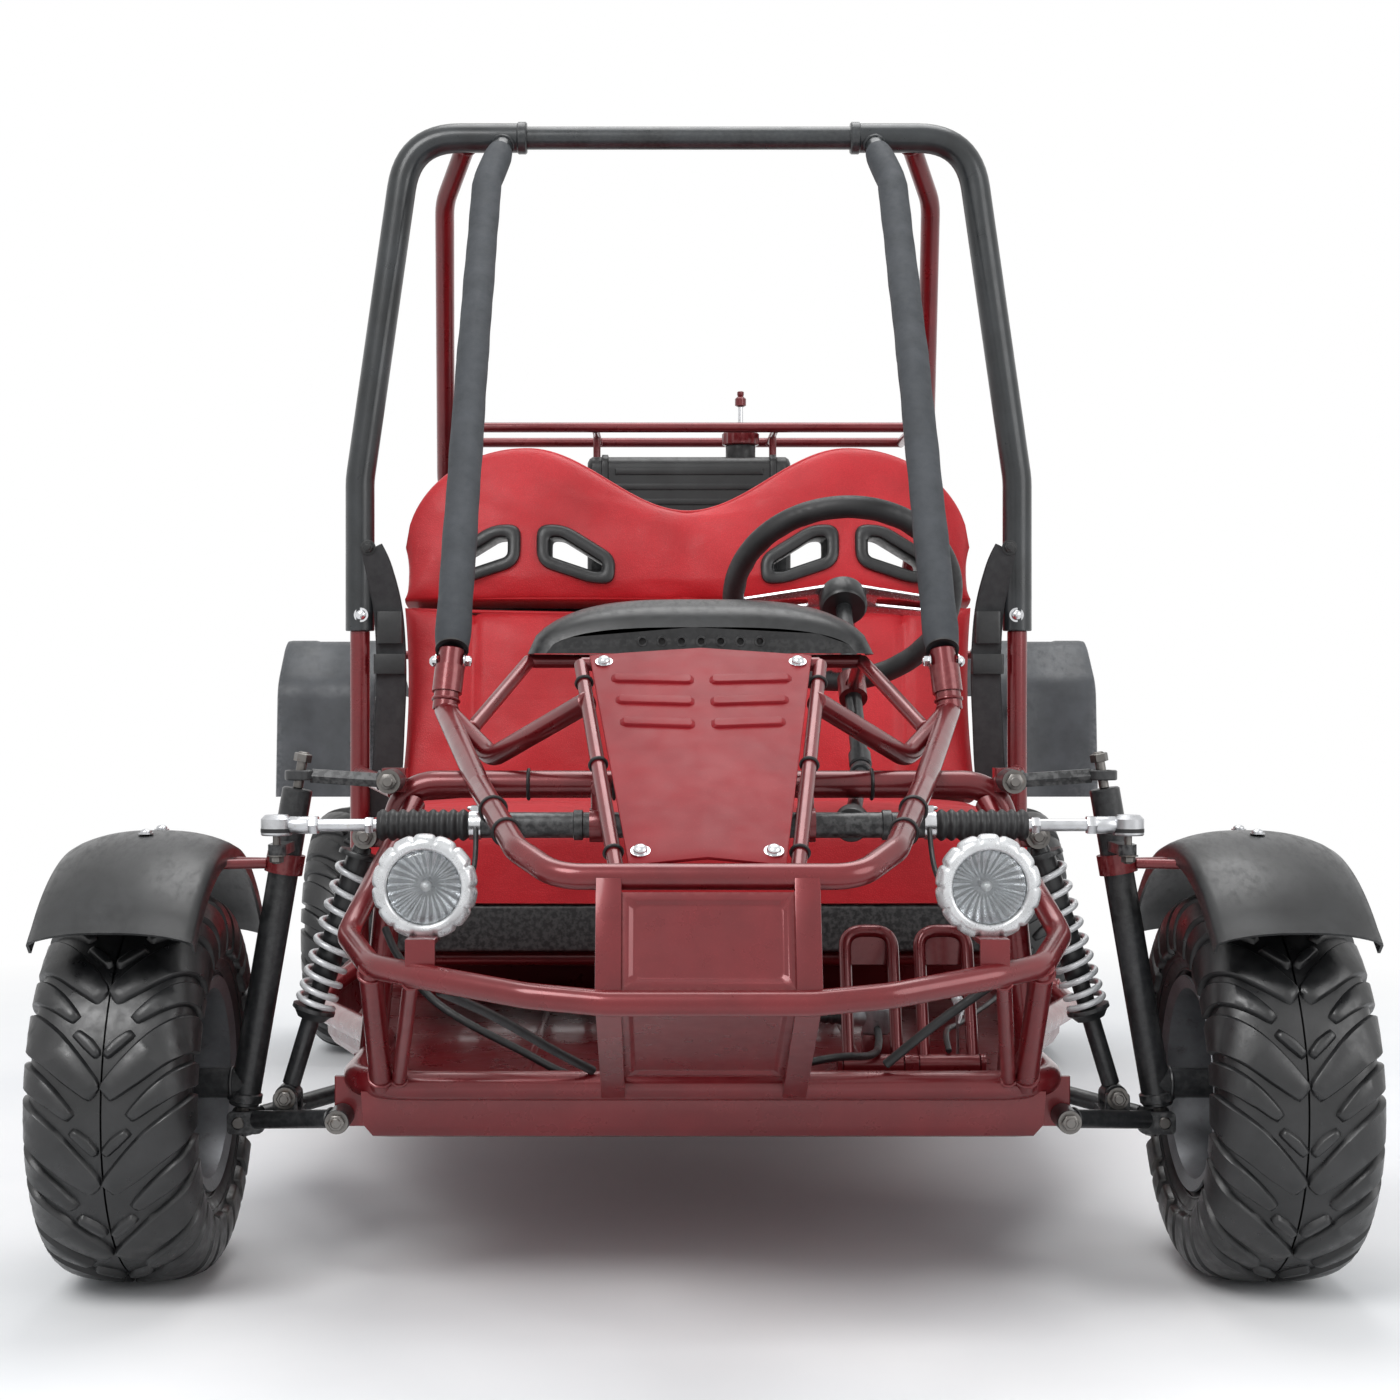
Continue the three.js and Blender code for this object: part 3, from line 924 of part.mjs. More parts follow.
function driveSprocket() {
  const { radius, shaftRadius, shaftEndX, gearboxX } = drive;
  const sprocket = rod(at(axle.sprocketX - axle.plate / 2, swing.pivotBack, swing.pivotUp),
    at(axle.sprocketX + axle.plate / 2, swing.pivotBack, swing.pivotUp), radius, roundSides);
  return sprocket.add(rod(at(shaftEndX, swing.pivotBack, swing.pivotUp), at(gearboxX - gap, swing.pivotBack, swing.pivotUp),
    shaftRadius));
}
addPiece("drive_sprocket", driveSprocket(), zinc);

// The chain runs round both sprockets as one band.
function chainBand() {
  const small = new THREE.Vector2(swing.pivotBack, swing.pivotUp);
  const large = new THREE.Vector2(wheelbase, rearWheel.radius);
  const line = large.clone().sub(small);
  const heading = line.angle();
  const [smallSteps, largeSteps] = [5, 10];
  const outline = (extra) => {
    const spread = Math.acos((drive.radius - axle.sprocketRadius) / line.length());
    const r1 = (drive.radius + drive.teethGap) / Math.cos((Math.PI - spread) / smallSteps) + extra;
    const r2 = (axle.sprocketRadius + drive.teethGap) / Math.cos(spread / largeSteps) + extra;
    const arc = (centre, radius, from, to, steps) => Array.from({ length: steps + 1 }, (_, i) => {
      const angle = heading + from + ((to - from) * i) / steps;
      return [centre.x + radius * Math.cos(angle), centre.y + radius * Math.sin(angle)];
    });
    return [
      ...arc(small, r1, spread, 2 * Math.PI - spread, smallSteps), ...arc(large, r2, -spread, spread, largeSteps),
    ];
  };
  const low = axle.sprocketX - drive.chainWidth / 2;
  const high = axle.sprocketX + drive.chainWidth / 2;
  const band = plateAlongX(outline(drive.chainHeight), low, high);
  return cut(band, [plateAlongX(outline(0), low - overrun, high + overrun)]);
}
addPiece("drive_chain", chainBand(), zinc);

// Swing arm with its pivot bushes, axle bearings, shock absorber ears and brake caliper.
function swingArm() {
  const { pivotBack, pivotUp, x, tubeRadius, bearingRadius, bearingWidth, crossRadius } = swing;
  const crossUp = pivotUp + (rearWheel.radius - pivotUp) * swing.crossShare;
  const parts = [rod(at(-x, crossBack, crossUp), at(x, crossBack, crossUp), crossRadius)];
  const bores = [];
  for (const side of [1, -1]) {
    const pivot = at(side * x, pivotBack, pivotUp);
    const hub = at(side * x, wheelbase, rearWheel.radius);
    const halfBush = alongX(swing.bushWidth / 2);
    const halfHub = alongX(bearingWidth / 2);
    parts.push(
      rod(pivot, hub, tubeRadius),
      rod(pivot.clone().sub(halfBush), shifted(pivot, halfBush), swing.bushRadius, tubeSides),
      rod(hub.clone().sub(halfHub), shifted(hub, halfHub), bearingRadius, tubeSides),
      box(at(side * swing.earX, crossBack - rearShock.eyeRadius, crossUp),
        at(side * (swing.earX + swing.earThick), crossBack + rearShock.eyeRadius, rearShock.footUp + rearShock.eyeRadius)),
    );
    bores.push(
      bore(pivot.clone().sub(alongX(swing.bushWidth)), shifted(pivot, alongX(swing.bushWidth)), swing.pinRadius),
      bore(hub.clone().sub(alongX(bearingWidth)), shifted(hub, alongX(bearingWidth)), axle.radius),
    );
  }
  parts.push(rod(shifted(rearShockFoot, alongX(-swing.earX - swing.earThick)),
    shifted(rearShockFoot, alongX(swing.earX + swing.earThick)), rearShock.pinRadius));
  parts.push(box(at(axle.discX - caliper.width / 2, caliperBack - caliper.length / 2, caliper.up - caliper.height / 2),
    at(axle.discX + caliper.width / 2, caliperBack + caliper.length / 2, caliper.up + caliper.height / 2)));
  parts.push(box(at(axle.discX - caliper.width / 2, crossBack, crossUp),
    at(axle.discX - caliper.width / 4, caliperBack - caliper.length / 4, caliper.up)));
  const slotHalf = axle.plate / 2 + caliper.slotGap;
  bores.push(rod(at(axle.discX - slotHalf, wheelbase, rearWheel.radius), at(axle.discX + slotHalf, wheelbase, rearWheel.radius),
    axle.discRadius + caliper.slotGap, discSides));
  return cut(join(parts), bores);
}
addPiece("swing_arm", swingArm(), blackPaint);

// Rear axle with sprocket, brake disc and a hub at each end.
function rearAxle() {
  const spot = (x) => at(x, wheelbase, rearWheel.radius);
  const reach = rearWheel.trackX + wheel.discBack;
  const parts = [rod(spot(-reach), spot(reach), axle.radius, roundSides)];
  parts.push(rod(spot(axle.sprocketX - axle.plate / 2), spot(axle.sprocketX + axle.plate / 2), axle.sprocketRadius, discSides));
  parts.push(rod(spot(axle.discX - axle.plate / 2), spot(axle.discX + axle.plate / 2), axle.discRadius, discSides));
  for (const side of [1, -1]) {
    const inner = side * (rearWheel.trackX - wheel.discBack - wheel.wall - gap);
    parts.push(rod(spot(inner), spot(inner - side * axle.hubThick), axle.hubRadius, tubeSides));
  }
  return join(parts);
}
addPiece("rear_axle", rearAxle(), zinc);

// A rim is turned as one closed profile: barrel, flanges, disc and hub. Distances run outward along the axle.
function rim(size, hole, hubHalf) {
  const half = size.rimWidth / 2;
  const { wall, flange, hubRadius, discBack } = wheel;
  const lip = size.rimRadius + flange - wall;
  const well = size.rimRadius - 2 * wall;
  const bore = (hole + gap) / Math.cos(Math.PI / rimSides);
  const profile = [
    [bore, hubHalf], [hubRadius, hubHalf], [hubRadius, wall - discBack], [well - wall, wall - discBack],
    [well, half], [lip, half + wall], [well + wall, half - wall], [well + wall, wall - half],
    [lip, -half - wall], [well - wall, -discBack], [hubRadius, -discBack], [hubRadius, -hubHalf], [bore, -hubHalf],
  ];
  return turned(profile, new THREE.Vector3(), new THREE.Vector3(1, 0, 0), rimSides);
}

// A tyre: round shoulders, bulged walls and beads just outside the rim's flanges; it stands on a flat.
function tyre(size) {
  const { radius, width, rimRadius, rimWidth } = size;
  const half = width / 2;
  const bead = rimWidth / 2 - wheel.wall * 2;
  const top = radius / Math.cos(Math.PI / wheelSides);
  const outer = [
    [rimRadius + gap, bead], [rimRadius + wheel.flange * 2, half * 0.93], [(radius + rimRadius) / 2 + wheel.flange, half],
    [top * 0.94, half * 0.88], [top, half * 0.45],
  ];
  const crown = radius - wheel.tyreWall * 2;
  const shell = [...outer, ...outer.map(([r, h]) => [r, -h]).reverse(), [crown, 0]];
  return turned(shell, new THREE.Vector3(), new THREE.Vector3(1, 0, 0), wheelSides, Math.PI / wheelSides);
}
const frontHub = at(frontWheel.trackX, 0, frontWheel.radius);
const rearHub = at(rearWheel.trackX, wheelbase, rearWheel.radius);
addPair("front_rim", rim(frontWheel, upright.spindleRadius, wheel.hubLength / 2), castMetal, frontHub);
addPair("front_tyre", tyre(frontWheel), tyreRubber, frontHub);
addPair("rear_rim", rim(rearWheel, axle.radius, wheel.discBack + wheel.wall), castMetal, rearHub);
addPair("rear_tyre", tyre(rearWheel), tyreRubber, rearHub);

// Lower arm: two tubes from the bushes to a fork, and a plate with ears for the shock absorber.
function lowerArm() {
  const ballCentre = at(arm.ballX, 0, arm.ballUp);
  const parts = [];
  const bores = [];
  const share = (arm.shockX - arm.innerX) / (arm.forkX - arm.innerX);
  const forkUp = arm.innerUp + (arm.ballUp - arm.innerUp) * ((arm.forkX - arm.innerX) / (arm.ballX - arm.innerX));
  const plateUp = arm.innerUp + (forkUp - arm.innerUp) * share - arm.plate / 2;
  for (const end of [1, -1]) {
    const bush = at(arm.innerX, end * arm.innerBack, arm.innerUp);
    const half = alongY(arm.bushLength / 2);
    const ear = end * (arm.forkGap + arm.earThick / 2);
    parts.push(
      rod(bush.clone().sub(half), shifted(bush, half), arm.bushRadius, tubeSides),
      rod(bush, at(arm.forkX, ear, forkUp), arm.tubeRadius),
      box(at(arm.forkX - arm.tubeRadius, end * arm.forkGap, arm.ballUp - arm.earRadius),
        at(arm.ballX, end * (arm.forkGap + arm.earThick), arm.ballUp + arm.earRadius)),
      rod(at(arm.ballX, end * arm.forkGap, arm.ballUp), at(arm.ballX, end * (arm.forkGap + arm.earThick), arm.ballUp),
        arm.earRadius, tubeSides),
      box(at(arm.shockX - shock.eyeRadius, end * arm.shockEar, plateUp),
        at(arm.shockX + shock.eyeRadius, end * (arm.shockEar + arm.earThick), arm.shockUp + shock.eyeRadius / 2)),
    );
    bores.push(bore(bush.clone().sub(alongY(arm.bushLength)), shifted(bush, alongY(arm.bushLength)), arm.pinRadius));
  }
  const spread = arm.forkGap + (arm.innerBack - arm.forkGap) * (1 - share);
  parts.push(box(at(arm.shockX - shock.bodyRadius, -spread, plateUp), at(arm.shockX + shock.bodyRadius, spread, plateUp + arm.plate)));
  parts.push(rod(shifted(shockFoot, alongY(-arm.shockEar - arm.earThick)), shifted(shockFoot, alongY(arm.shockEar + arm.earThick)),
    shock.pinRadius));
  bores.push(bore(shifted(ballCentre, alongY(-ballJoint.pinLength * 2)), shifted(ballCentre, alongY(ballJoint.pinLength * 2)),
    ballJoint.stemRadius));
  return cut(join(parts), bores);
}
addPair("lower_arm", lowerArm(), blackPaint);

// Upper arm: a bush, a round bar and an eye with room for the upright's stud.
function upperArm() {
  const pivot = at(topArm.innerX, 0, topArm.innerUp);
  const half = alongY(topArm.bushLength / 2);
  const eyeFoot = shifted(kingpinTop, alongZ(-topArm.eyeHeight / 2));
  const eyeHead = shifted(kingpinTop, alongZ(topArm.eyeHeight / 2));
  const shape = join([
    rod(pivot.clone().sub(half), shifted(pivot, half), topArm.bushRadius),
    rod(pivot, kingpinTop, topArm.barRadius),
    rod(eyeFoot, eyeHead, topArm.eyeRadius, 10),
  ]);
  return cut(shape, [
    bore(pivot.clone().sub(alongY(topArm.bushLength)), shifted(pivot, alongY(topArm.bushLength)), arm.pinRadius),
    rod(beyond(eyeHead, eyeFoot, overrun * 2), beyond(eyeFoot, eyeHead, overrun * 2), topArm.eyeBore, roundSides),
  ]);
}
addPair("upper_arm", upperArm(), blackPaint);

// Lower ball joint: a ball on a cross pin in the arm's fork, with a stem up into the upright.
function lowerBall() {
  return join([
    ball(kingpinFoot, ballJoint.radius),
    rod(kingpinFoot, along(kingpinFoot, kingpinTop, ballJoint.stemLength), ballJoint.stemRadius),
    rod(shifted(kingpinFoot, alongY(-ballJoint.pinLength)), shifted(kingpinFoot, alongY(ballJoint.pinLength)), ballJoint.stemRadius),
  ]);
}
addPair("ball_joint", lowerBall(), zinc);

// Upright: the long tube with its top stud, the wheel spindle and the steering arm.
function uprightTube() {
  const foot = along(kingpinFoot, kingpinTop, upright.footAlong);
  const head = along(kingpinFoot, kingpinTop, kingpinLength - upright.topShort);
  const studEnd = along(kingpinFoot, kingpinTop, kingpinLength + upright.topShort + upright.nutHeight);
  const hub = kingpinAt(frontWheel.radius);
  const hubInner = at(frontWheel.trackX - wheel.hubLength / 2 - gap, 0, frontWheel.radius);
  const hubOuter = at(frontWheel.trackX + wheel.hubLength / 2, 0, frontWheel.radius);
  const padUp = steer.rackUp - tieRod.padDrop;
  const padCentre = at(tieRod.outerX, steer.rackBack, padUp);
  const armRoot = kingpinAt(padUp - upright.armThick / 2);
  const halfWidth = upright.armWidth / 2;
  const steeringArm = plateAlongZ([
    [armRoot.x - halfWidth, 0], [armRoot.x + halfWidth, 0], [tieRod.outerX + halfWidth, steer.rackBack],
    [tieRod.outerX, steer.rackBack - halfWidth], [tieRod.outerX - halfWidth, steer.rackBack],
  ], padUp - upright.armThick, padUp);
  const shape = join([
    rod(foot, head, upright.radius, tubeSides),
    rod(head, studEnd, upright.studRadius),
    rod(along(kingpinFoot, kingpinTop, kingpinLength + upright.topShort), studEnd, upright.nutRadius, 6),
    rod(hub, hubInner, upright.shoulderRadius),
    rod(hub, shifted(hubOuter, alongX(upright.nutHeight)), upright.spindleRadius),
    rod(shifted(hubOuter, alongX(gap)), shifted(hubOuter, alongX(upright.nutHeight)), upright.shoulderRadius, 6),
    steeringArm,
    rod(shifted(padCentre, alongZ(-overrun)), shifted(padCentre, alongZ(tieRod.boreDepth)), tieRod.studRadius),
  ]);
  const boreEnd = along(kingpinFoot, kingpinTop, ballJoint.stemLength + gap * 3);
  return cut(shape, [bore(kingpinFoot, boreEnd, ballJoint.stemRadius)]);
}
addPair("upright", uprightTube(), blackPaint);

// Tie rod: an inner ball against the rack's end, and an outer housing over the steering arm's stud.
function tieRodUnit() {
  const inner = at(tieRod.innerX, steer.rackBack, steer.rackUp);
  const outer = at(tieRod.outerX, steer.rackBack, steer.rackUp);
  const half = tieRod.housingHeight / 2;
  const shape = join([
    ball(inner, tieRod.ballRadius, tubeSides), rod(inner, outer, tieRod.radius),
    rod(shifted(outer, alongZ(-half)), shifted(outer, alongZ(half)), tieRod.housingRadius, roundSides),
  ]);
  return cut(shape, [rod(shifted(outer, alongZ(-half - overrun)), shifted(outer, alongZ(tieRod.boreDepth - half)), tieRod.bore, tubeSides)]);
}
addPair("tie_rod", tieRodUnit(), zinc);

// Rack housing with its clamps and pinion tower; the bar slides in its bore.
function rackHousing() {
  const spot = (x) => at(x, steer.rackBack, steer.rackUp);
  const toColumn = columnFoot.clone().sub(pinionCentre).normalize();
  const parts = [
    rod(spot(-steer.housingX), spot(steer.housingX), steer.housingRadius, roundSides),
    rod(pinionCentre, pinionCentre.clone().addScaledVector(toColumn, steer.pinionLength), steer.pinionRadius, tubeSides),
  ];
  for (const side of [1, -1]) {
    parts.push(rod(spot(side * (steer.housingX - steer.clampWidth)), spot(side * steer.housingX), steer.clampRadius, roundSides));
  }
  const bore = rod(spot(-steer.rackX), spot(steer.rackX), steer.rackRadius + gap, roundSides);
  return cut(join(parts), [bore]);
}
addPiece("rack_housing", rackHousing(), blackPaint);
const rackEnd = tieRod.innerX - tieRod.ballRadius - gap;
addPiece("rack_bar", rod(at(-rackEnd, steer.rackBack, steer.rackUp), at(rackEnd, steer.rackBack, steer.rackUp),
  steer.rackRadius, roundSides), zinc);

// Rubber bellows: ribs from a formula, with a bore for the rack.
function bellowsSleeve() {
  const { startX, endX, crest, root, bore, ribs } = bellows;
  const pitch = (endX - startX) / ribs;
  const outer = [];
  for (let i = 0; i < ribs; i++) outer.push([root, i * pitch], [crest, (i + 0.5) * pitch]);
  outer.push([root, ribs * pitch]);
  const inner = [];
  for (let i = ribs; i >= 0; i -= 5) inner.push([bore, i * pitch]);
  inner.push([bore, 0]);
  return turned([...outer, ...inner], at(startX, steer.rackBack, steer.rackUp), new THREE.Vector3(1, 0, 0), 8);
}
addPair("bellows", bellowsSleeve(), rubber);

// Lower steering shaft between the column's universal joint and the pinion.
function steeringShaft() {
  const toColumn = columnFoot.clone().sub(pinionCentre).normalize();
  const start = pinionCentre.clone().addScaledVector(toColumn, steer.pinionLength + gap);
  const yokeEnd = along(columnFoot, pinionCentre, steer.crossRadius);
  return join([
    rod(start, columnFoot, steer.shaftRadius),
    rod(yokeEnd, along(yokeEnd, pinionCentre, steer.jointLength), steer.jointRadius, roundSides),
    ball(columnFoot, steer.crossRadius),
  ]);
}
addPiece("steering_shaft", steeringShaft(), blackPaint);

// Steering wheel: ring, three slotted spokes, hub and the column down to the universal joint.
function steeringWheel() {
  const turn = new THREE.Quaternion().setFromUnitVectors(new THREE.Vector3(0, 0, 1), columnAxis);
  const ringShape = new THREE.TorusGeometry(steer.rimRadius, steer.gripRadius, thinSides, 20);
  const face = new THREE.Matrix4().compose(wheelCentre, turn, new THREE.Vector3(1, 1, 1));
  const parts = [solid(ringShape.applyMatrix4(face))];
  const half = steer.spokeWidth / 2;
  for (const degrees of [8, 172, 90]) {
    const spin = new THREE.Matrix4().makeRotationZ(toRadians(degrees));
    const matrix = face.clone().multiply(spin).multiply(new THREE.Matrix4().makeTranslation(0, 0, -steer.plate / 2));
    const spoke = extruded([[0, -half], [steer.rimRadius, -half * 0.7], [steer.rimRadius, half * 0.7], [0, half]], steer.plate, matrix);
    const opening = extruded([[steer.hubRadius * 1.5, -half * 0.35], [steer.rimRadius * 0.8, -half * 0.3],
      [steer.rimRadius * 0.8, half * 0.3], [steer.hubRadius * 1.5, half * 0.35]], steer.plate * 3,
    matrix.clone().multiply(new THREE.Matrix4().makeTranslation(0, 0, -steer.plate)));
    parts.push(cut(spoke, [opening]));
  }
  const columnSides = 10;
  const hubFront = wheelCentre.clone().addScaledVector(columnAxis, steer.plate);
  const hubBack = wheelCentre.clone().addScaledVector(columnAxis, -steer.hubLength);
  const columnEnd = columnFoot.clone().addScaledVector(columnAxis, steer.crossRadius + gap);
  parts.push(rod(hubBack, hubFront, steer.hubRadius, 10));
  parts.push(rod(columnEnd, wheelCentre, steer.columnRadius, columnSides));
  parts.push(rod(columnEnd, columnEnd.clone().addScaledVector(columnAxis, steer.jointLength), steer.jointRadius, tubeSides));
  return join(parts);
}
addPiece("steering_wheel", steeringWheel(), blackPaint);

// Shock absorbers: a body with its eye and collar, a sliding rod with the lower eye and collar, a coil spring.
function shockBody(top, foot, size, eyeAxis) {
  const half = eyeAxis.clone().multiplyScalar(size.eyeWidth / 2);
  const shape = join([
    rod(top.clone().sub(half), shifted(top, half), size.eyeRadius, tubeSides),
    rod(along(top, foot, size.eyeRadius / 2), along(top, foot, size.eyeRadius * 2), size.rodRadius),
    rod(along(top, foot, size.eyeRadius * 1.5), along(top, foot, size.bodyEnd), size.bodyRadius, tubeSides),
    rod(along(top, foot, size.springTop - size.collarThick), along(top, foot, size.springTop), size.collarRadius, 10),
  ]);
  const boreHalf = eyeAxis.clone().multiplyScalar(size.eyeWidth);
  return cut(shape, [
    bore(top.clone().sub(boreHalf), shifted(top, boreHalf), size.pinRadius),
    rod(along(top, foot, size.tubeStart - size.travel), along(top, foot, size.bodyEnd + overrun), size.rodRadius + gap),
  ]);
}
function shockRod(top, foot, size, eyeAxis) {
  const half = eyeAxis.clone().multiplyScalar(size.eyeWidth / 2);
  const length = top.distanceTo(foot);
  const shape = join([
    rod(foot.clone().sub(half), shifted(foot, half), size.eyeRadius, tubeSides),
    rod(along(top, foot, size.tubeStart), foot, size.rodRadius),
    rod(along(top, foot, length - size.springFoot), along(top, foot, length - size.springFoot + size.collarThick), size.collarRadius, 10),
  ]);
  const boreHalf = eyeAxis.clone().multiplyScalar(size.eyeWidth);
  // The lower eye is the open pivot of the linkage, so its hole has play round the pin.
  return cut(shape, [bore(foot.clone().sub(boreHalf), shifted(foot, boreHalf), size.pinRadius + size.eyeSlack)]);
}

// One unbroken coil from the upper collar to the lower one, with a short straight end on each.
function coilSpring(name, top, foot, size, coil) {
  const start = along(top, foot, size.springTop + gap);
  const end = along(foot, top, size.springFoot + gap);
  const length = start.distanceTo(end);
  const tail = coil.wireRadius * 2;
  const steps = coil.turns * 8;
  const points = [new THREE.Vector3(coil.coilRadius, 0, 0)];
  for (let i = 0; i <= steps; i++) {
    const angle = (i / 8) * 2 * Math.PI;
    const share = 1 - (1 - i / steps) ** coil.crowding;
    const height = tail + (length - 2 * tail) * share;
    points.push(new THREE.Vector3(coil.coilRadius * Math.cos(angle), coil.coilRadius * Math.sin(angle), height));
  }
  const last = points[points.length - 1];
  points.push(new THREE.Vector3(last.x, last.y, length));
  let least = Infinity;
  for (let i = 1; i < points.length; i++) {
    for (let j = i + 5; j < points.length; j++) least = Math.min(least, points[i].distanceTo(points[j]));
  }
  console.log(`${name}: least gap between turns ${(least - 2 * coil.wireRadius).toFixed(2)} mm`);
  const turn = new THREE.Quaternion().setFromUnitVectors(new THREE.Vector3(0, 0, 1), end.clone().sub(start).normalize());
  const path = new BentPath([start, end], 0);
  path.points = points.map((point) => point.applyQuaternion(turn).add(start));
  return sweep(path, coil.wireRadius, 5);
}
const axisY = new THREE.Vector3(0, 1, 0);
const axisX = new THREE.Vector3(1, 0, 0);
addPair("shock_body", shockBody(shockTop, shockFoot, shock, axisY), blackPaint);
addPair("shock_rod", shockRod(shockTop, shockFoot, shock, axisY), blackPaint);
addPair("spring", coilSpring("front spring", shockTop, shockFoot, shock, frontSpring), springPaint);
addPiece("rear_shock_body", shockBody(rearShockTop, rearShockFoot, rearShock, axisX), blackPaint);
addPiece("rear_shock_rod", shockRod(rearShockTop, rearShockFoot, rearShock, axisX), blackPaint);
addPiece("rear_spring", coilSpring("rear spring", rearShockTop, rearShockFoot, rearShock, rearSpring), springPaint);

// Front fender: a crowned band with lips, swept round the wheel's axis, on two stay rods from the upright.
function frontFender() {
  const { inX, outX, radius, crown, lip, wall, frontDegrees, rearDegrees, steps } = fender;
  const middle = (inX + outX) / 2;
  const shoulder = (outX - inX) / 5;
  const outside = [[inX, radius - lip], [inX, radius], [middle - shoulder, radius + crown], [middle + shoulder, radius + crown],
    [outX, radius], [outX, radius - lip]];
  const inside = [[outX - wall, radius - lip], [outX - wall, radius - wall], [middle + shoulder, radius + crown - wall],
    [middle - shoulder, radius + crown - wall], [inX + wall, radius - wall], [inX + wall, radius - lip]];
  const section = [...outside, ...inside];
  const positions = [];
  const index = [];
  for (let i = 0; i <= steps; i++) {
    const angle = toRadians(-frontDegrees + ((frontDegrees + rearDegrees) * i) / steps);
    for (const [x, r] of section) positions.push(...at(x, r * Math.sin(angle), frontWheel.radius + r * Math.cos(angle)).toArray());
  }
  const count = section.length;
  for (let i = 0; i < steps; i++) {
    for (let j = 0; j < count; j++) {
      const [a, b] = [i * count + j, i * count + ((j + 1) % count)];
      index.push(a, b, b + count, a, b + count, a + count);
    }
  }
  for (let j = 0; j < count / 2 - 1; j++) {
    const [a, b, c, d] = [j, j + 1, count - 2 - j, count - 1 - j];
    const last = steps * count;
    index.push(a, c, b, a, d, c, last + a, last + b, last + c, last + a, last + c, last + d);
  }
  const geometry = new THREE.BufferGeometry();
  geometry.setAttribute("position", new THREE.Float32BufferAttribute(positions, 3));
  geometry.setIndex(index);
  const root = kingpinAt(fender.stayUp);
  const parts = [solid(geometry)];
  const collar = ring(kingpinAt(fender.stayUp - fender.stayRadius * 2), kingpinAt(fender.stayUp + fender.stayRadius * 2),
    upright.radius + wall, upright.radius + gap, tubeSides);
  parts.push(collar);
  for (const end of [1, -1]) {
    const under = at(middle, end * fender.stayBack, fender.stayUp);
    const top = at(middle, end * fender.stayBack, frontWheel.radius + radius + crown - wall * 1.5);
    parts.push(tube([at(root.x + upright.radius + wall / 2, end * overrun * 2, fender.stayUp), under, top], fender.stayRadius, fender.stayRadius, squareSides));
  }
  return join(parts);
}
addPair("front_fender", frontFender(), blackPlastic);

// Rear fender: a bent sheet over the tyre with a closed inner edge.
function rearFenderSheet() {
  const line = [
    [rearFender.frontBack, rearFender.footUp], [rearFender.shoulderBack, rearFender.shoulderUp],
    [rearFender.topBack, rearFender.topUp], [rearFender.rearBack, rearFender.rearUp], [rearFender.endBack, rearFender.endUp],
  ];
  const inside = line.map(([back, up], i) => [back + (i < 2 ? rearFender.wall : 0), up - (i < 2 ? 0 : rearFender.wall)]);
  return plateAlongX([...line, ...inside.reverse()], rearFender.inX, rearFender.outX);
}
addPair("rear_fender", rearFenderSheet(), greyPlastic);

// Headlamp: a bowl with a raised bezel and a recessed lens.
function headlamp() {
  const profile = [
    [0, 0], [lamp.rearRadius, 0], [lamp.radius - overrun, lamp.depth * 0.6], [lamp.radius, lamp.depth * 0.66],
    [lamp.radius, lamp.depth], [lamp.lensRadius, lamp.depth], [lamp.lensRadius * 0.6, lamp.depth - lamp.bezel / 4],
    [0, lamp.depth - lamp.bezel / 8],
  ];
  return turned(profile, at(lamp.x, lamp.faceBack + lamp.depth, lamp.up), new THREE.Vector3(0, -1, 0), roundSides);
}
addPair("headlight", headlamp(), lampPlastic);

// Pedals: bent rods with a foot plate, on sleeves round the floor pin.
function pedalUnit(x) {
  const half = pedal.width / 2;
  const spot = (dx, back, up) => at(x + dx, back, up);
  const shape = join([
    tube([spot(-half, pedal.pivotBack, pedal.pivotUp), spot(-half, pedal.topBack, pedal.topUp),
      spot(half, pedal.topBack, pedal.topUp), spot(half, pedal.pivotBack, pedal.pivotUp)], pedal.radius, pedal.radius * 3),
    rod(spot(-half - pedal.radius, pedal.pivotBack, pedal.pivotUp), spot(half + pedal.radius, pedal.pivotBack, pedal.pivotUp),
      pedal.sleeveRadius),
    box(spot(-half, pedal.topBack - pedal.padThick, pedal.topUp - pedal.width * 0.7),
      spot(half, pedal.topBack, pedal.topUp)),
  ]);
  return cut(shape, [bore(spot(-pedal.width, pedal.pivotBack, pedal.pivotUp), spot(pedal.width, pedal.pivotBack, pedal.pivotUp),
    pedal.pinRadius)]);
}
addPiece("brake_pedal", pedalUnit(pedal.brakeX), redPaint);
addPiece("throttle_pedal", pedalUnit(pedal.throttleX), redPaint);

// Master cylinder with its boot.
function masterCylinder() {
  const centre = at(master.x, master.back, master.up);
  return join([
    rod(shifted(centre, alongZ(-master.height / 2)), shifted(centre, alongZ(master.height / 2)), master.radius, 12),
    rod(centre, shifted(centre, alongX(-master.radius * 2)), master.tubeRadius, 12),
    rod(shifted(centre, alongX(-master.radius * 2)), shifted(centre, alongX(-master.radius * 2 - master.bootLength)),
      master.bootRadius, 10, master.bootRadius / 2),
  ]);
}
addPiece("master_cylinder", masterCylinder(), castMetal);

export default kart;
